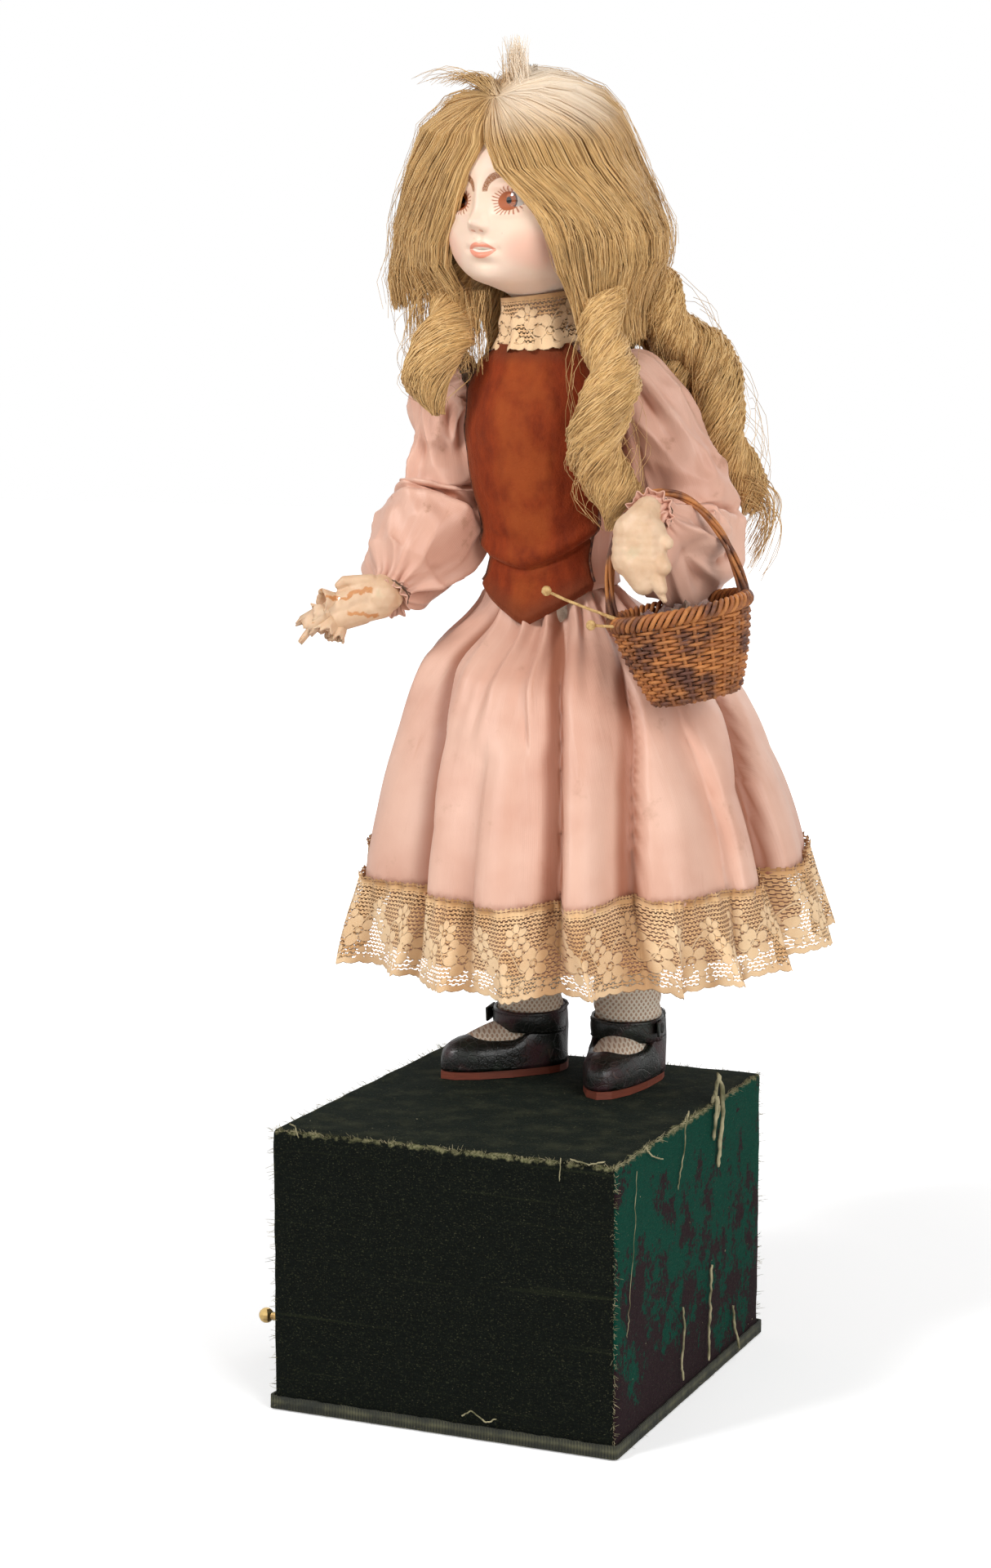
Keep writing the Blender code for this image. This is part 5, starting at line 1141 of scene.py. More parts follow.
def shard(bm, foot, mouth, low_r, high_r, ragged, seed):
    """A hollow broken stump: an open cup with a torn rim."""
    a, b = Vector(foot), Vector(mouth)
    way = (b - a).normalized()
    part = bmesh.ops.create_cone(bm, segments=22, radius1=low_r * MM, radius2=high_r * MM,
                                 depth=(b - a).length * MM, cap_ends=False)
    turn = way.to_track_quat("Z", "X").to_matrix().to_4x4()
    place = FIGURE @ Matrix.Translation((a + b) / 2 * MM) @ turn
    for i, v in enumerate(part["verts"]):
        if v.co.z > 0:
            v.co.z += ragged * rough(i * 0.7, seed, 2.0) * MM * 2
            v.co.x *= 1 + 0.3 * rough(i * 0.5, seed)
    bmesh.ops.transform(bm, matrix=place, verts=part["verts"])


def bisque_look(name, glue):
    """Fired and yellowed bisque; glue adds the amber runs of an old repair."""
    look = Look(name, {"Subsurface Weight": 0.08, "Subsurface Scale": 0.002, "Specular IOR Level": 0.5})
    spot = look.place()
    cloud = look.noise(spot, 120.0, 4.0)
    fine = look.noise(spot, 1500.0, 2.0)
    colour = look.mix((0.61, 0.39, 0.235), (0.71, 0.495, 0.325), cloud.above(0.3, 0.7))
    colour = look.mix(colour, (0.47, 0.44, 0.27), look.noise(spot, 75.0, 5.0).above(0.6, 0.75) * 0.45)
    if glue:
        x, y, z = look.inside(FIGURE)
        warp = look.noise(look.place(start=(4, 4, 4)), 150.0, 3.0) - 0.5
        drip = abs(z - 205.6 - 0.1 * (x + 62.0) + 9.0 * warp)
        run = drip.above(1.1, 0.6) * x.above(-71.5, -70.5) * x.above(-54.5, -55.5)
        drip = abs(z - 198.6 + 0.25 * (x + 62.0) - 9.0 * warp)
        patch = drip.above(0.9, 0.4) * x.above(-64.0, -63.0) * x.above(-53.0, -54.0)
        rim = look.noise(spot, 330.0, 4.0).above(0.62, 0.68)
        amber = look.most(look.most(run, patch), rim * x.above(-69.0, -72.0))
        colour = look.mix(colour, look.mix((0.42, 0.13, 0.025), (0.62, 0.27, 0.07), fine), amber * 0.9)
        look.set({"Coat Weight": amber * 0.6})
    look.set({"Base Color": colour, "Roughness": 0.42 + 0.2 * cloud})
    look.bump(cloud * 0.6 + fine * 0.2, 0.2)
    return look


RIGHT_HAND = (
    ((-53.5, -40.0, 203.5), (-54.5, -43.0, 203.2), 7.2, 7.6),
    ((-54.5, -43.0, 206.4), (-60.5, -46.5, 205.2), 5.6, 5.6),
    ((-54.5, -43.5, 199.6), (-61.0, -48.0, 198.6), 5.4, 5.6),
    ((-60.5, -47.0, 204.0), (-67.0, -51.0, 202.0), 5.6, 5.0),
    ((-61.0, -48.4, 197.8), (-68.0, -53.0, 195.4), 5.4, 4.8),
    ((-66.0, -51.0, 201.0), (-71.5, -54.6, 199.4), 4.6, 3.6),
    ((-57.0, -46.5, 210.0), (-66.5, -50.4, 210.2), 2.6, 2.1),
    ((-66.5, -50.4, 210.2), (-68.6, -51.8, 208.6), 2.0, 1.5),
    ((-68.0, -53.0, 195.4), (-71.0, -55.0, 193.6), 4.2, 3.2))
# Each stump's foot and mouth, their radii, and how far its rim is torn
STUMPS = (
    ((-69.8, -52.0, 202.6), (-73.6, -56.8, 203.2), 3.0, 4.8, 0.4),
    ((-70.5, -54.6, 199.0), (-76.4, -58.4, 198.0), 2.6, 4.2, 1.2),
    ((-73.0, -56.0, 198.6), (-79.6, -60.6, 193.0), 3.6, 4.4, 2.2),
    ((-70.0, -54.6, 195.6), (-72.0, -58.6, 190.6), 3.2, 4.6, 1.8),
    ((-67.6, -53.6, 193.0), (-68.2, -57.0, 188.6), 2.6, 3.6, 1.4),
    ((-76.0, -58.4, 195.0), (-81.0, -62.2, 187.6), 1.5, 1.0, 0.8))
LEFT_HAND = (
    ((59.6, -49.0, 239.6), (58.0, -54.0, 236.0), 6.0, 6.8),
    ((55.6, -54.5, 233.0), (54.6, -55.4, 223.0), 7.6, 7.4),
    ((60.8, -53.5, 232.0), (61.2, -54.6, 220.0), 7.6, 7.4),
    ((57.4, -56.0, 221.0), (60.0, -56.4, 214.6), 7.2, 5.2),
    ((65.0, -53.4, 230.6), (69.0, -54.6, 229.0), 3.8, 2.6),
    ((65.0, -55.4, 222.8), (68.0, -57.2, 220.4), 4.4, 3.4),
    ((64.4, -56.6, 217.4), (67.6, -58.0, 212.4), 3.9, 2.3),
    ((66.0, -57.4, 212.4), (68.6, -57.8, 208.0), 2.0, 1.1),
    ((53.0, -55.4, 231.0), (51.8, -56.4, 226.0), 4.0, 3.4))
china = bisque_look("right_hand_bisque", True)
right_hand = blobs("right_bisque_hand", RIGHT_HAND, china)
bm = bmesh.new()
for seed, stump in enumerate(STUMPS, 1):
    shard(bm, *stump, seed)
bmesh.ops.subdivide_edges(bm, edges=bm.edges, cuts=2, use_grid_fill=True)
for v in bm.verts:
    v.co += Vector((1, 1, 1)) * noise.noise(v.co * 420) * 0.45 * MM
bmesh.ops.recalc_face_normals(bm, faces=bm.faces)
stumps = piece_of("right_finger_stumps", bm, china)
thicken(stumps, 0.7)
china_left = bisque_look("left_hand_bisque", False)
left_hand = blobs("left_bisque_hand", LEFT_HAND, china_left)
for piece, node, body in ((right_hand, "right_hand", "right_arm"), (stumps, None, "right_arm"),
                          (left_hand, "left_hand", "left_arm")):
    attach(piece, body)
    if node:
        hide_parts(node)


# Head: poured bisque with two glass eyes set from inside.  The lids, nose, lips and chin are
# in the mould; brows, lashes, lips and cheeks are painted on and fired.

# The head's heights, each with its half width, front and back
HEAD = (
    (306.0, 11.3, 11.3, 11.3), (315.0, 12.0, 12.4, 13.0), (319.5, 16.0, 22.0, 16.0),
    (323.0, 21.0, 31.0, 19.0), (329.0, 27.0, 36.0, 24.0), (337.0, 30.5, 37.5, 29.0),
    (346.0, 31.5, 37.5, 32.0), (356.0, 31.0, 36.0, 34.0), (366.0, 29.5, 35.5, 34.0),
    (377.0, 25.5, 30.5, 31.0), (385.5, 19.0, 23.0, 24.0), (391.0, 10.5, 12.5, 13.0))
HEAD_TOP = 391.0
HEAD_LONG = 85.0
DOME = 0.06               # the share of the head's length that closes over its crown
EYE_X = 11.0
EYE_Z = 352.8
EYE_RADIUS = 6.4
EYE_DEPTH = 26.4
MOUTH_X = 0.5
MOUTH_Z = 335.0


def spline_section(table, z):
    """Smooth half width, front and back of a table of sections."""
    last = len(table) - 1
    for i in range(last):
        if z <= table[i + 1][0] or i == last - 1:
            rows = [table[min(max(i + k, 0), last)] for k in (-1, 0, 1, 2)]
            span = rows[2][0] - rows[1][0]
            t = min(max((z - rows[1][0]) / span, 0.0), 1.0)
            values = []
            for k in (1, 2, 3):
                p0, p1, p2, p3 = (row[k] for row in rows)
                m1 = (p2 - p0) / max(rows[2][0] - rows[0][0], 1e-6) * span
                m2 = (p3 - p1) / max(rows[3][0] - rows[1][0], 1e-6) * span
                values.append((2 * t ** 3 - 3 * t * t + 1) * p1 + (t ** 3 - 2 * t * t + t) * m1
                              + (3 * t * t - 2 * t ** 3) * p2 + (t ** 3 - t * t) * m2)
            return values


def relief(x, z):
    """How far the face stands out of the plain oval, in the face's own frame."""
    side = abs(x)
    out = -1.7 * hill(side, EYE_X, 6.0) * hill(z, 353.4, 4.6)
    out += 1.3 * hill(side, EYE_X, 5.2) * hill(z, 357.6, 1.5)
    out += 0.9 * hill(side, EYE_X, 5.0) * hill(z, 348.3, 1.4)
    out += 2.1 * hill(x, 0, 2.6) * ease((z - 342) / 4) * ease((366 - z) / 12)
    out += 4.0 * hill(x, 0, 2.7) * hill(z, 345.4, 3.2)
    out += 1.7 * hill(side, 3.0, 1.5) * hill(z, 343.6, 1.8)
    out -= 0.7 * hill(x, 0, 3.2) * hill(z, 341.0, 1.1)
    out -= 0.7 * hill(side, 1.7, 0.8) * hill(z, 342.0, 0.8)
    out -= 0.35 * hill(x, MOUTH_X, 0.9) * hill(z, 339.6, 1.4)
    mouth = x - MOUTH_X
    out += 1.5 * hill(mouth, 0, 4.8) * hill(z, 337.0, 1.3)
    out += 1.9 * hill(mouth, 0, 3.9) * hill(z, 333.0, 1.5)
    out -= 1.7 * hill(mouth, 0, 4.4) * hill(z, 335.1, 0.6)
    out -= 0.9 * hill(mouth, 0, 5.0) * hill(z, 329.8, 1.6)
    out -= 0.5 * hill(abs(mouth), 6.8, 1.3) * hill(z, 335, 1.6)
    out += 1.9 * hill(x, 0, 6.0) * hill(z, 324.0, 4.0)
    out += 1.5 * hill(side, 15.5, 7.5) * hill(z, 338.0, 7.5)
    return out + 0.6 * hill(side, 9.0, 7.0) * hill(z, 364.0, 3.0)


def head_place(u, v):
    angle = bearing(u)
    turned = angle - 0.495 * math.sin(angle)
    z = HEAD_TOP - HEAD_LONG * v
    top = 1.0
    if v < DOME:
        top = math.sin(math.pi / 2 * v / DOME)
        z = HEAD_TOP - HEAD_LONG * DOME * top
    a, f, b = (r * top for r in spline_section(HEAD, z))
    if v < DOME:
        z = HEAD_TOP + 2.0 * (1 - top) - HEAD_LONG * DOME * (v / DOME) ** 2
    x, y = ring_point(a, f, b, turned)
    face_spot = FACE.inverted() @ HEAD_FRAME @ (Vector((x, y, z)) * MM) / MM
    out = relief(face_spot.x, face_spot.z) if face_spot.y < 0 else 0.0
    away = Vector((x, y, 0)).normalized() if v > 0 else Vector((0, 0, 0))
    return x + away.x * out, y + away.y * out, z


skin = Look("painted_bisque", {"Subsurface Weight": 0.1, "Subsurface Scale": 0.003,
                               "Specular IOR Level": 0.5})
spot = skin.place()
x, y, z = skin.inside(FACE)
front = y.above(-8.0, -14.0)
side = abs(x)
fine = skin.noise(spot, 1400.0, 2.0)
cloud = skin.noise(spot, 90.0, 4.0)
colour = skin.mix((0.82, 0.59, 0.445), (0.87, 0.65, 0.51), cloud)


def round_spot(across, up, wide, high):
    """Squared reach from a painted spot's middle, where 1 is its edge."""
    return across * across * (1 / (wide * wide)) + up * up * (1 / (high * high))


blush = round_spot(side - 18.5, z - 334.5, 10.0, 8.5).above(1.3, 0.0)
colour = skin.mix(colour, (0.80, 0.40, 0.29), blush * 0.55)
socket_tone = round_spot(side - EYE_X, z - 357.5, 7.5, 4.2).above(1.2, 0.2)
colour = skin.mix(colour, (0.74, 0.47, 0.34), socket_tone * 0.45)
brow_x = side - 8.6
brow_z = z - 356.4
brow_reach = skin.math("SQRT", brow_x * brow_x + brow_z * brow_z)
brow_turn = skin.math("ARCTAN2", brow_z, brow_x)
hairs = skin.noise(skin.join(brow_turn * 9.0, brow_reach * 2.2), 1.0, 2.0).above(0.3, 0.6)
brow_half = 1.6 - 0.55 * abs(brow_turn - 2.1)
brow_ends = brow_turn.above(0.55, 0.95) * brow_turn.above(3.3, 3.0)
brow = (brow_half - abs(brow_reach - 6.0)).above(0.0, 0.5) * brow_ends
colour = skin.mix(colour, (0.27, 0.10, 0.032), brow * (0.6 + 0.4 * hairs))
eye_x = (side - EYE_X) * (1 / 3.7)
eye_z = (z - EYE_Z) * (1 / 3.2)
eye_reach = skin.math("SQRT", eye_x * eye_x + eye_z * eye_z)
eye_turn = skin.math("ARCTAN2", eye_z, eye_x)
lash = (eye_turn * 24.0 + 2.0 * eye_reach).wave().above(0.2, 0.6)
lash_long = 1.75 + 0.12 * (eye_turn * 5.0).wave()
lash = lash * (eye_reach - lash_long).above(0.0, -0.25) * 0.85
rim = eye_reach.above(1.13, 1.04)
colour = skin.mix(colour, (0.38, 0.10, 0.03), skin.most(lash, rim))
mouth = x - MOUTH_X
reach = mouth * (1 / 6.2)
arch = 1 - reach * reach
bow = mouth * mouth * (1 / 1.7)
dip = 0.9 * (1 / (1 + bow))
upper = (z - (MOUTH_Z + 3.5 * arch - dip)).above(0.25, -0.15) * (z - 335.1).above(-0.15, 0.15)
lower = (z - (MOUTH_Z - 3.1 * arch)).above(-0.2, 0.2) * (z - MOUTH_Z).above(0.15, -0.15)
lips = skin.most(upper, lower) * arch.above(0.0, 0.12)
colour = skin.mix(colour, skin.mix((0.72, 0.20, 0.11), (0.80, 0.30, 0.19), fine), lips * 0.9)
tooth_line = abs((mouth * 1.9).wave()).above(0.0, 0.25)
teeth = round_spot(mouth, z - 335.2, 4.4, 1.0).above(1.1, 0.8) * (0.75 + 0.25 * tooth_line)
colour = skin.mix(colour, (0.86, 0.76, 0.66), teeth)
nostril = round_spot(side - 1.8, z - 342.2, 0.9, 0.6).above(1.2, 0.5)
colour = skin.mix(colour, (0.55, 0.17, 0.09), nostril * 0.6)
plain = skin.mix((0.80, 0.60, 0.47), (0.84, 0.66, 0.53), cloud)
speck = skin.noise(spot, 420.0, 2.0).above(0.72, 0.76)
colour = skin.mix(plain, colour, front)
skin.set({"Base Color": skin.mix(colour, (0.45, 0.30, 0.2), speck * 0.35),
          "Roughness": 0.38 + 0.15 * cloud - 0.1 * lips})
skin.bump(fine * 0.2 + cloud * 0.3, 0.12)


head = surface("bisque_head", 220, 160, head_place, skin, (200.0, 110.0), HEAD_FRAME)
thicken(head, 1.8)
bm = bmesh.new()
for eye_side in (-1, 1):
    part = bmesh.ops.create_cone(bm, segments=40, radius1=MM, radius2=MM, depth=22 * MM, cap_ends=True)
    for v in part["verts"]:
        lid = 3.0 if v.co.y > 0 else 2.6
        across = v.co.x * 3.3 + eye_side * EYE_X * MM
        v.co = Vector((across, v.co.z - 33 * MM, v.co.y * lid + EYE_Z * MM))
bmesh.ops.recalc_face_normals(bm, faces=bm.faces)
bmesh.ops.transform(bm, matrix=FACE, verts=bm.verts)
lids = piece_of("lid_cutter", bm, skin)
opening = head.modifiers.new("Eyes", "BOOLEAN")
opening.operation = "DIFFERENCE"
opening.solver = "EXACT"
opening.object = lids
applied(head)
bpy.data.objects.remove(lids, do_unlink=True)
head.data.shade_smooth()
head.data.set_sharp_from_angle(angle=math.radians(50))
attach(head, "head")
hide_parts("head_shell")

glass = Look("eye_glass", {"Roughness": 0.04, "Coat Weight": 1.0, "Coat Roughness": 0.02,
                           "Specular IOR Level": 0.8})
x, y, z = glass.inside(FACE)
px = abs(x) - EYE_X
pz = z - EYE_Z - 0.2
reach = glass.math("SQRT", px * px + pz * pz)
turn = glass.math("ARCTAN2", pz, px)
spokes = glass.noise(glass.join(turn * 6.0, reach * 0.8), 1.0, 3.0)
iris = glass.mix((0.16, 0.03, 0.006), (0.50, 0.13, 0.022), spokes.above(0.3, 0.7))
iris = glass.mix(iris, (0.03, 0.008, 0.003), reach.above(2.6, 3.2))
iris = glass.mix((0.004, 0.003, 0.003), iris, reach.above(1.1, 1.4))
glass.set({"Base Color": glass.mix(iris, (0.55, 0.47, 0.40), reach.above(3.25, 3.55))})
bm = bmesh.new()
for eye_side in (-1, 1):
    place = FACE @ Matrix.Translation(Vector((eye_side * EYE_X, -EYE_DEPTH, EYE_Z)) * MM)
    bmesh.ops.create_uvsphere(bm, u_segments=48, v_segments=32, radius=EYE_RADIUS * MM, matrix=place)
eyes = piece_of("glass_eyeballs", bm, glass)
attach(eyes, "head")
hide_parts("glass_eyes")


# Wig: long ash-blond mohair sewn to a cap.  It springs from a whorl above the forehead, parts in
# two curtains beside the face, stands up in a tuft behind, and turns up at its right end.

# The wig's heights, each with its half width, front and back
WIG = (
    (317.0, 45.0, 24.0, 42.0), (328.0, 52.0, 32.0, 47.0), (340.0, 52.0, 35.0, 47.0),
    (352.0, 45.0, 37.0, 45.0), (364.0, 39.0, 38.0, 42.0), (378.0, 34.0, 35.0, 38.0),
    (389.0, 26.0, 27.0, 29.0), (396.0, 14.0, 15.0, 16.0), (398.5, 6.0, 6.5, 7.0))
# Front edges of the two curtains: heights with degrees from the head block's forward line
CURTAINS = {
    1: ((392, 9), (377, 9), (363, 18), (352, 32), (346, 35), (336, 37), (325, 38), (312, 43), (300, 50)),
    -1: ((392, 7), (377, 8), (372, 5), (363, -2), (352, -10), (344, -15), (336, -19), (325, -22), (300, -26))}
WHORL = Vector((2.6, -24.5, 390.6))
CROWN_MIDDLE = Vector((0.0, 2.0, 352.0))
CROWN_Z = 374.0
CAP_TOP = 398.3
CAP_LONG = 82.0


def wig_swell(degrees, z):
    """How much fuller the wig is towards the front right."""
    return 1 + 0.3 * hill(math.radians(turn_to(degrees, -50.0)), 0, 0.55) * ease((420.0 - z) / 45.0)


def wig_point(degrees, z, sunk):
    """A point so far below the wig's outer shape."""
    a, f, b = section(WIG, z)
    swell = wig_swell(degrees, z)
    x, y = ring_point(a * swell - sunk, f * swell - sunk, b * swell - sunk, math.radians(degrees))
    return Vector((x, y, z))


def crown_point(direction, sunk):
    """Where a ray from the middle of the head leaves the wig."""
    low, high = 20.0, 70.0
    for _ in range(14):
        half = (low + high) / 2
        x, y, z = CROWN_MIDDLE + direction * half
        inside = z < WIG[-1][0]
        if inside:
            a, f, b = section(WIG, z)
            swell = wig_swell(math.degrees(math.atan2(x, -y)), z)
            inside = (x / (a * swell)) ** 2 + (y / ((f if y < 0 else b) * swell)) ** 2 < 1
        low, high = (half, high) if inside else (low, half)
    return CROWN_MIDDLE + direction * (low - sunk)


def curtain_strand(side, share, sunk, low_z, turn, steps=15):
    """One lock's strand: from the whorl over the crown, then down beside or behind the head."""
    def degrees_at(z):
        edge = along(CURTAINS[side], z)
        return edge + share * (180 * side + 7 - edge)

    start = (WHORL - CROWN_MIDDLE).normalized()
    shoulder = (wig_point(degrees_at(CROWN_Z), CROWN_Z, 0) - CROWN_MIDDLE).normalized()
    sweep = start.angle(shoulder)
    points = []
    top = 6
    for k in range(top):
        t = k / top
        way = (start * math.sin((1 - t) * sweep) + shoulder * math.sin(t * sweep)) / math.sin(sweep)
        points.append(crown_point(way.normalized(), sunk * ease(t * 3) - 0.9 * math.sin(math.pi * t)))
    for t in shares(steps - top - 1):
        z = CROWN_Z - (CROWN_Z - low_z) * t
        fall = CROWN_Z - z
        slip = turn.swing * math.sin(z * 0.11 + turn.phase) * ease(fall / 25)
        lift = turn.lift * math.sin(z * 0.09 + 2 * turn.phase) * ease(fall / 20)
        here = wig_point(degrees_at(z) + slip, z, sunk + lift)
        if side < 0 and share < 0.5:
            flick = ease((333 - z) / 16) * (1 - ease((share - 0.3) / 0.2)) * ease((share - 0.06) / 0.1)
            here += Vector((-11.0, -6.0, 0)) * flick
        else:
            here = here.lerp(Vector((here.x * 0.93, here.y * 0.93, here.z)), ease((318 - z) / 12))
        points.append(here)
    return points


class Wave:
    """How one lock of hair sways: its phase, its sideways swing in degrees and its lift."""

    def __init__(self, rng):
        self.phase = rng.uniform(0, 6.28)
        self.swing = rng.uniform(0.4, 1.6)
        self.lift = rng.uniform(0.1, 0.9)


def hair_look(name, shadow_share):
    """Mohair: every strand has its own shade between brown and straw, with a painted highlight on the front
    of the crown; the second argument darkens it all as painted shadow.
    """
    look = Look(name, {"Roughness": 0.5, "Specular IOR Level": 0.4, "Sheen Weight": 0.15})
    tone = look.node("Attribute", {"attribute_name": "tone"}, output=2)
    broad = look.noise(look.place(), 60.0, 3.0)
    streak = look.noise(look.place(), 600.0, 2.0)
    colour = look.mix((0.41, 0.225, 0.07), (0.66, 0.405, 0.15), tone.above(0.0, 0.5))
    colour = look.mix(colour, (0.84, 0.58, 0.28), tone.above(0.5, 0.95) * 0.6)
    colour = look.mix(colour, (0.30, 0.165, 0.05), broad.above(0.48, 0.30) * 0.35)
    x, y, z = look.inside(HEAD_FRAME)
    # Painted highlight where the light catches the front of the crown.
    crown = z.above(371.0, 392.0) * (x + y * 0.4).above(-12.0, 2.0) * y.above(20.0, -2.0)
    colour = look.mix(colour, (1.0, 0.86, 0.69), crown * 0.92)
    # Painted shadow: the mohair under the strands is darkened by this share.
    if shadow_share:
        colour = look.mix(colour, (0.17, 0.09, 0.028), shadow_share)
    look.set({"Base Color": colour})
    return look.bump(streak, 0.15)


mohair = hair_look("mohair", 0.0)
# Darkened mohair, a painted shadow for the cap and the curls' cores under the strands.
shadowed_mohair = hair_look("mohair_shadow", 0.55)


def cap_place(u, v):
    z = CAP_TOP - CAP_LONG * v
    if v < 0.02:
        z = CAP_TOP
    low = along(CURTAINS[1], z) + 3
    high = along(CURTAINS[-1], z) + 357
    degrees = low + (high - low) * u
    if z > 374:
        degrees = 10 + 360 * u
    shrink = 2.6 if v > 0.02 else 2.6 + 6 * (1 - v / 0.02)
    spot = wig_point(degrees, z, shrink)
    return spot + Vector((spot.x, spot.y, 0)).normalized() * 0.5 * rough(degrees * 0.9, z * 0.05)


# The cap under the strands is painted in shadow.
cap = surface("wig_cap_hair", 150, 60, cap_place, shadowed_mohair, (1.0, 1.0), HEAD_FRAME, thick=3.5)
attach(cap, "head")
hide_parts("wig_crown")

STRAND = 0.27
rng = random.Random(5)
locks = {}
for side, count in ((1, 46), (-1, 40)):
    for k in range(count):
        share = min(1.0, max(0.0, (k + rng.uniform(-0.3, 0.3)) / (count - 1)))
        locks[(side, k)] = (share ** 1.15, rng.uniform(0.0, 2.2), Wave(rng), rng.uniform(-3, 3))
for side, label in ((1, "left"), (-1, "right")):
    for layer, sunk_by, each in (("over", 0.0, 26), ("under", 1.6, 8)):
        paths = []
        for (lock_side, k), (share, sunk, wave, low) in locks.items():
            if lock_side != side:
                continue
            for i in range(each):
                near = min(1.0, max(0.0, share + rng.gauss(0, 0.019)))
                end = 300.0 + low + rng.uniform(-4, 5)
                if side < 0 and 0.12 < share < 0.42:
                    end = 313.0 + 0.4 * low + rng.uniform(-3, 3)
                depth = sunk + sunk_by + rng.uniform(-0.5, 1.1)
                spots = curtain_strand(side, near, depth, end, wave)
                middle = curtain_strand(side, share, sunk + sunk_by, end, wave)
                path = []
                for t, spot, core in zip(shares(len(spots) - 1), spots, middle):
                    spot = spot.lerp(core, 0.45 * t * t)
                    spot += noise.noise_vector(spot * 0.05 + Vector((i * 3.1, k * 1.7, 0))) * 0.7 * t
                    radius = STRAND * (1 - 0.55 * t ** 3) * (0.55 + 0.45 * ease(t * 8))
                    path.append((set_in(HEAD_FRAME, spot), radius))
                paths.append(path)
        hair = threads(f"wig_{label}_{layer}_strands", paths, mohair)
        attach(hair, "head")

# Stray hair of the wig: the tuft that stands behind the whorl, a wisp thrown over to the right,
# and single hairs that have worked loose all over.

paths = []
for i in range(190):
    root = Vector((rng.gauss(3.0, 2.2), rng.gauss(-12.5, 2.0), 394.0))
    aside = rng.gauss(0.6, 2.0) - 0.8 * (root.x - 3)
    lean = Vector((aside, rng.gauss(-1.0, 1.4), rng.uniform(7.0, 19.0)))
    path = []
    for t in shares(6):
        spot = root + lean * t + Vector((rng.uniform(-0.8, 0.8), 0, 0)) * t * t
        path.append((set_in(HEAD_FRAME, spot), 0.20 * (1 - 0.75 * t)))
    paths.append(path)
for i in range(120):
    root = WHORL + Vector((rng.uniform(-3, 2), rng.uniform(-1, 3), 0.5))
    reach = rng.uniform(10, 44) * (1 if i > 70 else 0.6)
    arch = 0.6 + 0.4 * ((i * 7) % 5) / 5
    path = []
    for t in shares(6):
        spot = root + Vector((-reach * t, 2 * t, (7 + 0.12 * reach) * math.sin(2.4 * t) * arch))
        spot += noise.noise_vector(spot * 0.1 + Vector((i, 0, 0))) * 1.5 * t
        path.append((set_in(HEAD_FRAME, spot), 0.17 * (1 - 0.7 * t)))
    paths.append(path)
tuft = threads("wig_tuft", paths, mohair)
paths = []
for i in range(240):
    side = rng.choice((-1, 1))
    wave = Wave(rng)
    wave.swing *= 3
    wave.lift *= 3
    spots = curtain_strand(side, rng.random(), -rng.uniform(0.2, 2.4), rng.uniform(298, 335), wave, 13)
    paths.append([(set_in(HEAD_FRAME, spot), 0.09) for spot in spots])
strays = threads("wig_stray_hairs", paths, mohair)
for piece in (tuft, strays):
    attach(piece, "head")

# Hanging hair: long spiral curls of the same mohair.  One lies before each shoulder and five
# hang down the back, fullest towards the doll's left side; they are caught to the dress.

# Each curl: its middle line with its radius, its turns, its strands and the start of its spiral
CURLS = (
    ("right_lock", ((-30, 0, 334, 3), (-32.5, -5, 323, 8), (-35.0, -12, 311, 11.0), (-36.5, -20, 299, 13.5),
                    (-35.5, -25, 286, 12.0), (-33, -27.5, 272, 3)), 1.3, 380, 0.3),
    ("front_ringlet", ((30, -8, 334, 3), (33, -13, 322, 7), (35, -19, 310, 9.5), (36.3, -26, 297, 11.5),
                       (36.6, -31, 282, 13), (37, -33, 262, 13.5), (38, -34, 245, 13.0),
                       (39.5, -34, 230, 4)), 2.5, 560, 2.2),
    ("back_curl_1", ((30, 6, 336, 3), (36, 12, 322, 9), (42, 17, 310, 12), (50, 21, 298, 13),
                     (56, 25, 284, 13), (64, 27, 262, 13), (69, 28, 243, 11), (72, 28, 227, 4)),
     2.7, 440, 0.8),
    ("back_curl_2", ((18, 20, 338, 4), (22, 26, 324, 12), (32, 30, 302, 13), (42, 31, 278, 13),
                     (50, 31, 256, 12), (56, 31, 231, 4)), 2.4, 300, 3.0),
    ("back_curl_3", ((4, 26, 338, 4), (4, 31, 322, 12), (10, 33, 298, 13), (19, 33, 272, 12),
                     (28, 33, 250, 10), (34, 33, 230, 4)), 2.4, 230, 4.4),
    ("back_curl_4", ((-13, 24, 338, 4), (-14, 30, 322, 12), (-11, 33, 298, 13), (-5, 33, 274, 12),
                     (3, 33, 254, 10), (8, 33, 237, 4)), 2.2, 210, 1.5),
    ("back_curl_5", ((-29, 16, 338, 4), (-31, 22, 322, 11), (-31, 27, 300, 12), (-27, 30, 278, 12),
                     (-21, 31, 258, 9), (-18, 31, 244, 4)), 2.0, 210, 5.2))
SPIRAL = 0.20             # how far a curl's middle winds out of its line, as a share of its radius
CURL_STEPS = 60
WISP_KNOTS = 12
NECK_SEAM = [set_in(FIGURE, (0, 0, z)) for z in (300, 322)]


def curl_tube(frames, turns, phase):
    steps = len(frames) - 1

    def place(u, v):
        middle, side, up, radius = frames[min(int(round(v * steps)), steps)]
        turn = 2 * math.pi * u
        lead = 2 * math.pi * turns * v + phase + math.pi
        reach = radius * (0.56 + 0.08 * math.cos(turn - lead)) * ease(v / 0.04) * ease((1 - v) / 0.06)
        middle = middle + way_round(side, up, lead) * radius * SPIRAL
        return middle + way_round(side, up, turn) * reach

    return place


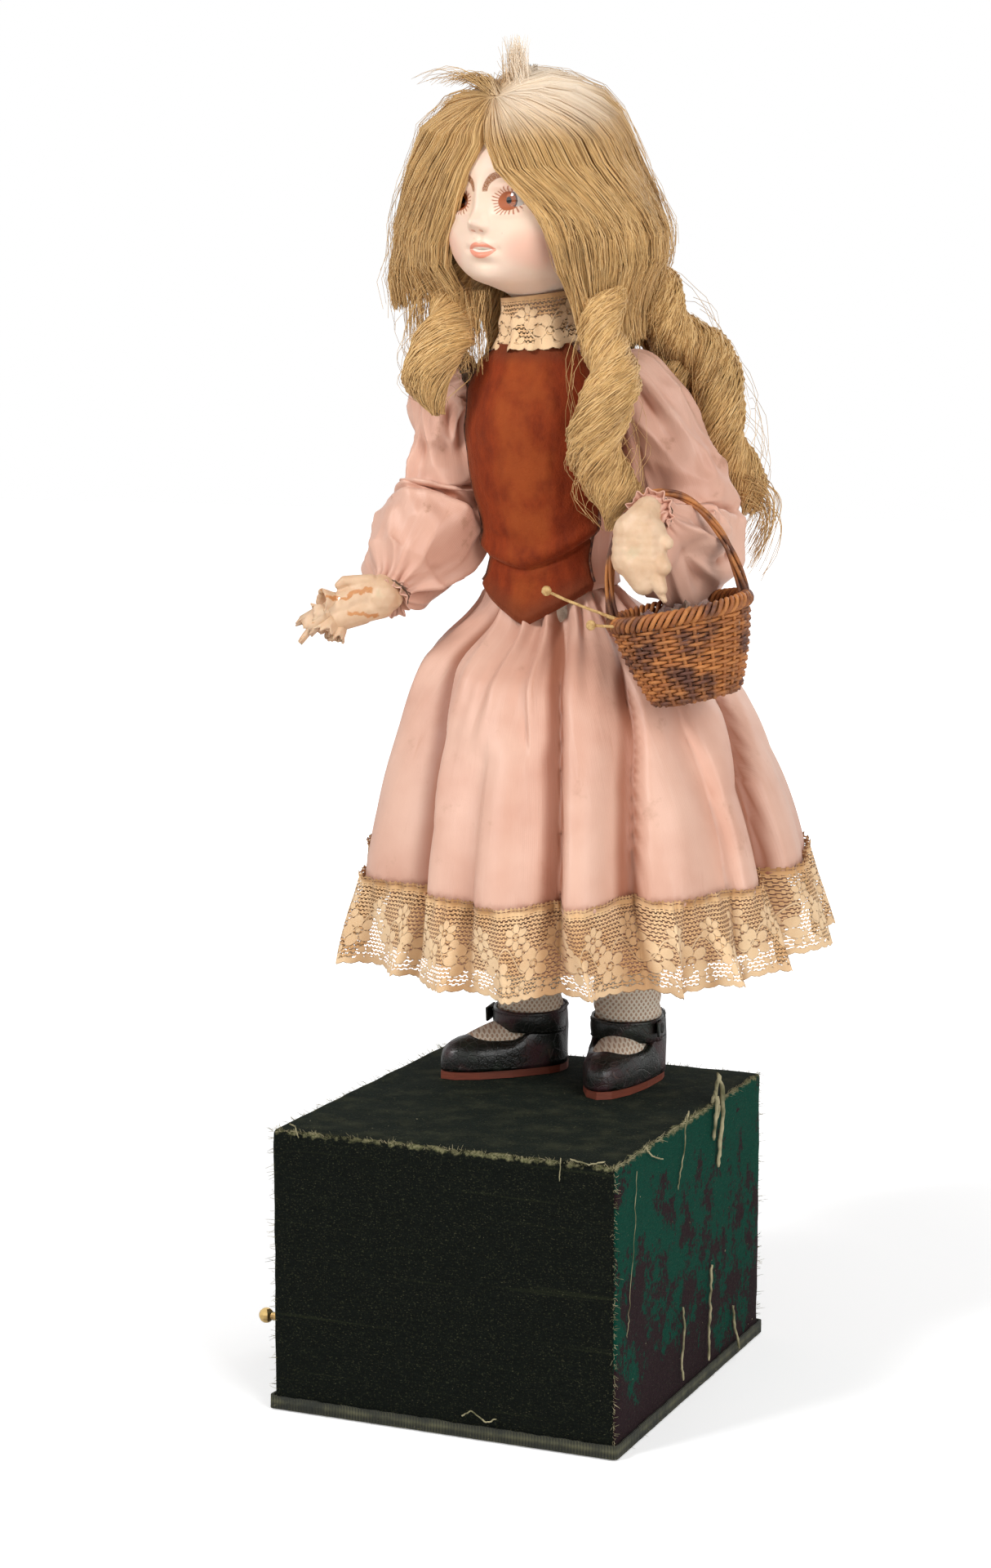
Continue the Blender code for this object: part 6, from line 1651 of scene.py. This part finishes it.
for label, path, turns, count, phase in CURLS:
    frames = route_frames(path, CURL_STEPS)
    # Each curl's core is painted in shadow, under its strands.
    core = surface(f"{label}_core", 30, CURL_STEPS, curl_tube(frames, turns, phase), shadowed_mohair, (1.0, 1.0))
    paths = []
    for j in range(count):
        share = j / (count - 1)
        layer = rng.random()
        wander = rng.uniform(-0.08, 0.08)
        last = CURL_STEPS - int(rng.uniform(0, 8))
        path = []
        for t in shares(21):
            middle, side, up, radius = frames[int(t * last)]
            swell = math.sin(math.pi * share) ** 0.7
            band = 0.05 * math.sin(share * 31 + 2 * t)
            lead = phase + math.pi + 2 * math.pi * turns * t * last / CURL_STEPS
            turn = lead + 6.5 * (share - 0.5) + wander
            reach = radius * (0.54 + 0.36 * swell + band - 0.08 * layer)
            spot = middle + way_round(side, up, lead) * radius * SPIRAL
            spot += way_round(side, up, turn) * reach
            spot += noise.noise_vector(spot * 0.12 + Vector((j, 0, 0))) * 0.45
            path.append((set_in(FIGURE, spot), STRAND * (1 - 0.5 * t ** 4)))
        paths.append(path)
    curl = threads(f"{label}_strands", paths, mohair)
    for piece in (core, curl):
        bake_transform(piece)
    if label == "back_curl_1":
        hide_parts("hanging_hair")

paths = []
for i in range(260):
    label, path, turns, count, phase = CURLS[i % len(CURLS)]
    frames = route_frames(path, 40)
    turn = rng.uniform(0, 6.28)
    start = rng.randrange(0, 30)
    length = rng.randrange(8, 40 - start + 1) if start < 32 else 8
    out = rng.uniform(1.02, 1.3)
    knots = []
    for t in shares(WISP_KNOTS - 1):
        middle, side, up, radius = frames[min(40, start + int(t * length))]
        reach = radius * (0.95 + (out - 0.95) * math.sin(3.1 * t))
        spot = middle + way_round(side, up, turn + 2.5 * t) * reach
        spot += noise.noise_vector(spot * 0.07 + Vector((i, 0, 0))) * 1.6
        knots.append((set_in(FIGURE, spot), 0.085))
    paths.append(knots)
for i in range(70):
    root = Vector((70 + rng.uniform(-4, 4), 27 + rng.uniform(-4, 4), 236 + rng.uniform(-4, 8)))
    reach = rng.uniform(0.6, 1.1)
    knots = []
    for t in shares(WISP_KNOTS - 1):
        spot = root + Vector((14 * math.sin(2.6 * t) - 4 * t, 2 * t, -26 * t * t - 4 * t)) * reach
        spot += noise.noise_vector(spot * 0.06 + Vector((i, 0, 5))) * 2.0 * t
        knots.append((set_in(FIGURE, spot), 0.17 * (1 - 0.5 * t)))
    paths.append(knots)
for i in range(60):
    root = Vector((-22 + rng.uniform(-7, 4), -12 + rng.uniform(-5, 5), 318))
    knots = []
    for k in range(WISP_KNOTS):
        hang = Vector((1.5 * math.sin(k * 0.5 + i), -0.35 * k, -rng.uniform(2.4, 3.0) * k))
        knots.append((set_in(FIGURE, root + hang), 0.09))
    paths.append(knots)
wisps = threads("loose_wisps", paths, mohair)
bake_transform(wisps)


# Basket: split willow, brown with age and stained nearly black in patches.  Twenty rows of
# weavers run over and under the upright stakes, and the border is plaited from the stakes' ends.

FOREARM = Vector((58.1, -36.7, 244.6))
HANG = FIGURE @ Matrix.Translation(FOREARM * MM) @ Matrix.Rotation(math.radians(-6.0), 4, "X")
HANG = HANG @ Matrix.Rotation(math.radians(23.6), 4, "Z") @ Matrix.Rotation(math.radians(-12.0), 4, "Y")
RIM_Z = -45.0
BASE_Z = -78.0
STAKES = 26
ROWS = 20
wicker = Look("stained_wicker", {"Specular IOR Level": 0.4})
spot = wicker.place()
tone = wicker.node("Attribute", {"attribute_name": "tone"}, output=2)
cloud = wicker.noise(spot, 75.0, 5.0, 0.6)
grain = wicker.noise(spot, 1300.0, 3.0)
colour = wicker.mix((0.24, 0.07, 0.02), (0.56, 0.22, 0.06), tone * 0.6 + 0.5 * grain)
colour = wicker.mix(colour, (0.07, 0.025, 0.02), cloud.above(0.42, 0.62) * 0.88)
colour = wicker.mix(colour, (0.60, 0.27, 0.09), grain.above(0.6, 0.8) * cloud.above(0.5, 0.35) * 0.5)
wicker.set({"Base Color": colour, "Roughness": 0.45 + 0.3 * grain})
wicker.bump(grain, 0.12)


def basket_radius(z):
    """The basket's flaring side."""
    share = (z - BASE_Z) / (RIM_Z - BASE_Z)
    return 16.0 + 9.4 * (1 - (1 - share) ** 1.5)


def on_ring(reach, turn, z):
    """A point round the basket's upright axis."""
    return set_in(HANG, (reach * math.cos(turn), reach * math.sin(turn), z))


rng = random.Random(8)
paths = []
for row in range(ROWS):
    z = BASE_Z + 1.6 + row * (RIM_Z - BASE_Z - 5.2) / (ROWS - 1)
    reach = basket_radius(z)
    path = []
    for share in shares(STAKES * 4):
        turn = 2 * math.pi * share
        weave = math.cos(STAKES / 2 * turn + math.pi * row)
        sway = 0.12 * math.sin(3 * turn + row) + 0.08 * rng.uniform(-1, 1)
        out = reach + 0.95 * weave
        path.append((on_ring(out, turn, z + sway), 0.70))
    paths.append(path)
weavers = threads("basket_weavers", paths, wicker, 1)
paths = []
for k in range(STAKES):
    turn = 2 * math.pi * k / STAKES
    path = []
    for share in shares(13):
        z = BASE_Z + (RIM_Z - BASE_Z + 1.5) * share
        reach = basket_radius(min(z, RIM_Z))
        path.append((on_ring(reach, turn, z), 0.8))
    paths.append(path)
for turn in (0.0, 1.57):
    for offset in (-3.0, 0.0, 3.0):
        path = []
        for share in shares(13):
            run = 15 * (2 * share - 1)
            spot = (run * math.cos(turn) - offset * math.sin(turn),
                    run * math.sin(turn) + offset * math.cos(turn), BASE_Z + 0.5)
            path.append((set_in(HANG, spot), 0.85))
        paths.append(path)
stakes = threads("basket_stakes", paths, wicker, 1)
paths = []
for strand in range(4):
    path = []
    for share in shares(180):
        turn = 2 * math.pi * share
        roll = 15 * turn + strand * math.pi / 2
        out = 25.6 + 1.9 * math.cos(roll)
        path.append((on_ring(out, turn, RIM_Z + 0.2 + 2.3 * math.sin(roll)), 0.95))
    paths.append(path)
border = threads("basket_border", paths, wicker, 1)
path = []
for share in shares(240):
    turn = 2 * math.pi * 8 * share
    reach = 1.0 + 14.8 * share
    path.append((on_ring(reach, turn, BASE_Z + 1.0 + 0.5 * math.sin(3.5 * turn)), 0.95))
floor_coil = threads("basket_base_coil", [path], wicker, 1)
for piece in (weavers, stakes, border, floor_coil):
    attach(piece, "basket")
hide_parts("basket")

# Handle: four split twigs twisted together in an arch, their ends pushed down through the border.

HANDLE_REACH = 25.1
HANDLE_HIGH = 44.7
TWISTS = 1.6
TWIG = 0.78
paths = []
for strand in range(4):
    path = []
    for share in shares(60):
        a = math.pi * share
        roll = 2 * math.pi * TWISTS * share + strand * math.pi / 2
        spread = 0.95 + 0.9 * abs(2 * share - 1) ** 4
        out = HANDLE_REACH + spread * math.cos(roll)
        x = -out * math.cos(a)
        z = HANDLE_HIGH * (math.sin(a) - 1) + spread * math.cos(roll) * math.sin(a)
        path.append((set_in(HANG, (x, spread * math.sin(roll), z)), TWIG))
    ends = []
    for sign, turns in ((-1, 0), (1, TWISTS)):
        roll = strand * math.pi / 2 + 2 * math.pi * turns
        low = []
        for down in (4, 8, 12, 15):
            x = sign * (basket_radius(RIM_Z - down) - 0.6)
            low.append((set_in(HANG, (x, 1.8 * math.sin(roll), RIM_Z - down)), TWIG))
        ends.append(low)
    paths.append(ends[0][::-1] + path + ends[1])
handle = threads("basket_handle_twigs", paths, wicker, 1)
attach(handle, "basket")
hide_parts("basket_handle")

# Dried flowers: brittle curled petals, lilac-brown and parchment, heaped in the basket, with
# straw-coloured stamens that reach out over its border.

petal_look = Look("dried_petals", {"Roughness": 0.8, "Subsurface Weight": 0.1, "Subsurface Scale": 0.001})
spot = petal_look.place()
cloud = petal_look.noise(spot, 110.0, 3.0)
vein = petal_look.noise(petal_look.place((500, 90, 500)), 1.0, 3.0)
colour = petal_look.mix((0.19, 0.105, 0.095), (0.50, 0.36, 0.31), cloud.above(0.38, 0.62))
colour = petal_look.mix(colour, (0.60, 0.46, 0.28), petal_look.noise(spot, 60.0).above(0.55, 0.7) * 0.7)
petal_look.set({"Base Color": petal_look.mix(colour, (0.09, 0.045, 0.04), vein.above(0.58, 0.7) * 0.5)})
petal_look.bump(vein + cloud, 0.3)
HEAP_REACH = 20.5
bm = bmesh.new()
for k in range(95):
    part = bmesh.ops.create_grid(bm, x_segments=8, y_segments=8, size=1.0)
    long = rng.uniform(4.0, 7.5)
    wide = rng.uniform(2.2, 4.2)
    curl = rng.uniform(0.5, 1.6)
    for v in part["verts"]:
        x, y = v.co.x, v.co.y
        narrow = 0.25 + 0.75 * math.sin(math.pi * min(1.0, 0.12 + 0.45 * (y + 1)))
        cup = curl * (0.9 * x * x + 0.5 * y * y) + 0.35 * rough(x * 2, y * 2, k)
        v.co = Vector((x * wide * narrow, y * long, cup * 1.5)) * MM
    reach = HEAP_REACH * math.sqrt(rng.random())
    turn = rng.uniform(0, 2 * math.pi)
    heap = -3.2 - 4.0 * (reach / HEAP_REACH) ** 2 + rng.uniform(-3.0, 1.0)
    spot = Vector((reach * math.cos(turn), reach * math.sin(turn), RIM_Z + heap))
    place = HANG @ Matrix.Translation(spot * MM)
    for axis, angle in (("Z", turn + rng.uniform(-1, 1)), ("X", rng.uniform(-0.9, 0.9)),
                        ("Y", rng.uniform(-0.8, 0.8))):
        place = place @ Matrix.Rotation(angle, 4, axis)
    bmesh.ops.transform(bm, matrix=place, verts=part["verts"])
petals = piece_of("dried_petal_heap", bm, petal_look)
thicken(petals, 0.22)
bed = bmesh.new()
bmesh.ops.create_cone(bed, segments=36, radius1=15.0 * MM, radius2=23.0 * MM, depth=22 * MM,
                      cap_ends=True)
bmesh.ops.subdivide_edges(bed, edges=bed.edges, cuts=4, use_grid_fill=True)
for v in bed.verts:
    v.co += v.co.normalized() * noise.noise(v.co * 300) * MM
bmesh.ops.transform(bed, matrix=HANG @ Matrix.Translation(Vector((0, 0, -64.5)) * MM), verts=bed.verts)
under = piece_of("petal_bed", bed, petal_look)
straw = mottled("straw_stamens", 0.7, (0.36, 0.19, 0.06), (0.66, 0.44, 0.18), 500.0, 3.0, (0.3, 0.7))
straw.bump(straw.mottle, 0.2)
# The knots of the stalks; the first two end in a tip
STALKS = (
    ((-14, -6, -48), (-22, -6, -43.5), (-32, -4.6, -37.5), (-41, -5, -31.5), (-47.2, -5, -26.8)),
    ((-6, -9, -47), (-16, -10, -45.6), (-26, -11.6, -44.4), (-33.7, -11, -42.3)),
    ((-19, -8, -46.5), (-25, -9.5, -42.0), (-31, -10.5, -37.4)))
stems = []
for knots in STALKS:
    path = []
    for a, b in zip(knots, knots[1:]):
        path += [(set_in(HANG, Vector(a).lerp(Vector(b), t)), 0.62) for t in (0.0, 0.34, 0.67)]
    stems.append(path + [(set_in(HANG, knots[-1]), 0.5)])
stamens = threads("stamen_stalks", stems, straw, 1)
bm = bmesh.new()
for knots in STALKS[:2]:
    part = bmesh.ops.create_icosphere(bm, subdivisions=3, radius=1.9 * MM)
    for v in part["verts"]:
        v.co *= 1 + 0.12 * noise.noise(v.co * 1400)
        v.co += Vector(set_in(HANG, knots[-1]))
tips = piece_of("stamen_tips", bm, straw)
for piece in (petals, under, stamens, tips):
    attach(piece, "basket")
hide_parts("dried_flowers")


# Shoes and socks: thin black leather gone green and plum with age, with a round toe, a tall
# counter, a broad ankle strap with a round button and a red-brown sole.  The socks are openwork
# cotton, white gone cream.

# Each leg: its place across, the degrees its toe turns out, and the side of its shoe's button
LEGS = {"right": (-17.5, 38.0, -1), "left": (25.5, -3.0, 1)}
SHOE_BASE = 113.6
SHOE_FOOT = (14.4, 41.6, 14.6)
SOCK_TOP = 118.0
SOCK_LONG = 106.0
STITCH = 0.17
leather = Look("shoe_leather", {"Coat Weight": 0.22, "Coat Roughness": 0.22, "Specular IOR Level": 0.35})
spot = leather.place()
cloud = leather.noise(spot, 60.0, 4.0)
grain = leather.cells(spot, 1500.0)
crack = leather.cells(leather.place((1, 1, 1), (0.3, 0.2, 0.5)), 330.0, "DISTANCE_TO_EDGE")
colour = leather.mix((0.004, 0.005, 0.0035), (0.035, 0.009, 0.012), cloud.above(0.45, 0.64))
colour = leather.mix(colour, (0.014, 0.022, 0.013), leather.noise(spot, 95.0).above(0.55, 0.7) * 0.6)
colour = leather.mix(colour, (0.09, 0.05, 0.03), crack.above(0.03, 0.0) * cloud.above(0.35, 0.6) * 0.5)
leather.set({"Base Color": colour, "Roughness": 0.36 + 0.3 * cloud.above(0.4, 0.7)})
leather.bump(grain * 0.35 + cloud * 0.6 + crack.above(0.0, 0.06) * 0.5, 0.3)
sole_look = Look("sole_leather", {"Roughness": 0.6})
layers = sole_look.noise(sole_look.place((200, 200, 2500)), 1.0, 3.0)
sole_look.set({"Base Color": sole_look.mix((0.09, 0.016, 0.007), (0.24, 0.05, 0.02), layers)})
sole_look.bump(layers, 0.1)
knit = Look("openwork_sock", {"Roughness": 0.9, "Sheen Weight": 0.3})
spot = knit.place()
ply = knit.noise(spot, 2200.0, 2.0)
east, north, up = knit.axes(spot)
around = (east + 0.6 * north) * (1.35 / MM)
rise = up * (1.15 / MM)
yarn = abs((around + rise).wave() * (around - rise).wave()).above(0.62, 0.38)
age = knit.noise(spot, 45.0, 4.0)
thread_colour = knit.mix((0.82, 0.70, 0.54), (0.92, 0.85, 0.72), age + 0.3 * (ply - 0.5))
knit.set({"Base Color": knit.mix((0.56, 0.38, 0.25), thread_colour, yarn)})
knit.bump(yarn + 0.3 * ply, 0.4, 0.8)


def upper_place(u, v):
    """A shoe's upper, from the edge of its sole over the foot to its opening."""
    angle = bearing(u)
    sx, sy = ring_point(*SHOE_FOOT, angle)
    back_share = ease((abs(math.degrees(angle)) - 58) / 45)
    ox, oy = ring_point(9.6 + 3.6 * back_share, 19.5, 14.0, angle)
    high = 11.5 + 12.5 * back_share + 2.2 * hill(math.degrees(angle), 0, 40)
    rise = math.sin(math.pi / 2 * v) ** 0.75
    keep = math.cos(math.pi / 2 * v) ** (0.62 - 0.2 * back_share)
    bulge = 1.0 + 0.02 * math.sin(math.pi * v)
    x = ox + (sx * bulge - ox) * keep
    y = oy + (sy * bulge - oy) * keep
    pucker = 0.35 * rough(x * 0.35, y * 0.35, v * 3) * math.sin(math.pi * v)
    roll = 0.5 * ease((v - 0.95) / 0.05)
    return x + pucker, y + pucker, SHOE_BASE + high * rise - roll


def stitch_row(place, matrix, down, count, long, low, arch, middle=0.0, lean=0.0):
    """Short arched threads sewn round a leather piece, at one share of its width."""
    row = []
    for k in range(count):
        knots = []
        for step in range(4):
            x, y, z = place((k + 0.1) / count + step * long / count, down)
            out = Vector((x - middle, y, lean)).normalized()
            out *= low + arch * math.sin(math.pi * step / 3)
            knots.append((set_in(matrix, Vector((x, y, z)) + out), STITCH))
        row.append(knots)
    return row


for side, (leg_x, toe_out, outer) in LEGS.items():
    foot = Matrix.Translation(Vector((ANKLES[0] + leg_x, ANKLES[1], 0)) * MM)
    foot = foot @ Matrix.Rotation(math.radians(-toe_out), 4, "Z")
    upper = surface(f"{side}_shoe_leather", 110, 40, upper_place, leather, (96.0, 24.0), foot, thick=1.1)

    def strap_place(u, v):
        angle = bearing(u)
        front = hill(math.degrees(angle), 0, 75)
        z = 16.6 + 3.2 * front + (10.2 - 1.6 * front) * v
        reach = 14.6 + 0.5 * math.sin(math.pi * v) + 0.25 * rough(angle * 2, v * 2)
        return leg_x + reach * math.sin(angle), -reach * math.cos(angle) - 0.6, z

    strap = surface(f"{side}_shoe_strap", 90, 8, strap_place, leather, (92.0, 7.0), FIGURE, thick=1.2)
    stitches = []
    for share in (0.14, 0.86):
        stitches += stitch_row(strap_place, FIGURE, share, 46, 0.16, 0.12, 0.18, middle=leg_x)
    stitches += stitch_row(upper_place, foot, 0.93, 60, 0.18, 0.15, 0.2, lean=6)
    seam = threads(f"{side}_shoe_stitching", stitches, leather)
    bm = bmesh.new()
    bmesh.ops.create_uvsphere(bm, u_segments=28, v_segments=16, radius=2.7 * MM)
    bmesh.ops.scale(bm, vec=(0.5, 1, 1), verts=bm.verts)
    tab = bmesh.ops.create_cube(bm, size=1.0)
    bmesh.ops.scale(bm, vec=Vector((1.1, 8.5, 6.0)) * MM, verts=tab["verts"])
    corners = list({e for v in tab["verts"] for e in v.link_edges})
    bmesh.ops.bevel(bm, geom=corners, offset=0.5 * MM, segments=3, profile=0.5, affect="EDGES",
                    material=-1)
    spot = Vector((leg_x + outer * 15.9, -4.0, 24.0))
    bmesh.ops.transform(bm, matrix=FIGURE @ Matrix.Translation(spot * MM), verts=bm.verts)
    button = piece_of(f"{side}_shoe_button", bm, leather, 40)
    finish_node(f"{side}_shoe_sole", sole_look)

    def sock_place(u, v):
        angle = bearing(u)
        z = SOCK_TOP - SOCK_LONG * v
        reach = 11.45 + 1.9 * ease((z - 12) / 10)
        reach += 0.35 * math.sin(z * 0.9 + 2 * math.sin(angle)) * ease((60 - z) / 20)
        return leg_x + reach * math.sin(angle), -reach * math.cos(angle), z

    sock = surface(f"{side}_openwork_sock", 64, 90, sock_place, knit, (80.0, SOCK_LONG), FIGURE,
                   thick=0.35)
    bm = bmesh.new()
    bmesh.ops.create_uvsphere(bm, u_segments=40, v_segments=28, radius=MM)
    for v in bm.verts:
        low = 7.5 if v.co.z < 0 else 11.5
        v.co = Vector((v.co.x * 10.6, v.co.y * 24.0 - 11.5 * MM, v.co.z * low))
        v.co.z *= 1 - 0.35 * ease(-v.co.y / MM / 34)
    spot = Vector((0, 0, SHOE_BASE + 8.2))
    bmesh.ops.transform(bm, matrix=foot @ Matrix.Translation(spot * MM), verts=bm.verts)
    instep = piece_of(f"{side}_sock_foot", bm, knit)
    for piece, slot in ((upper, "dark_leather"), (strap, "dark_leather"), (seam, "dark_leather"),
                        (button, "dark_leather"), (sock, "white_cotton"), (instep, "white_cotton")):
        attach(piece, "figure_on_plinth")
    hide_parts(f"{side}_shoe_upper")
    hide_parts(f"{side}_sock")
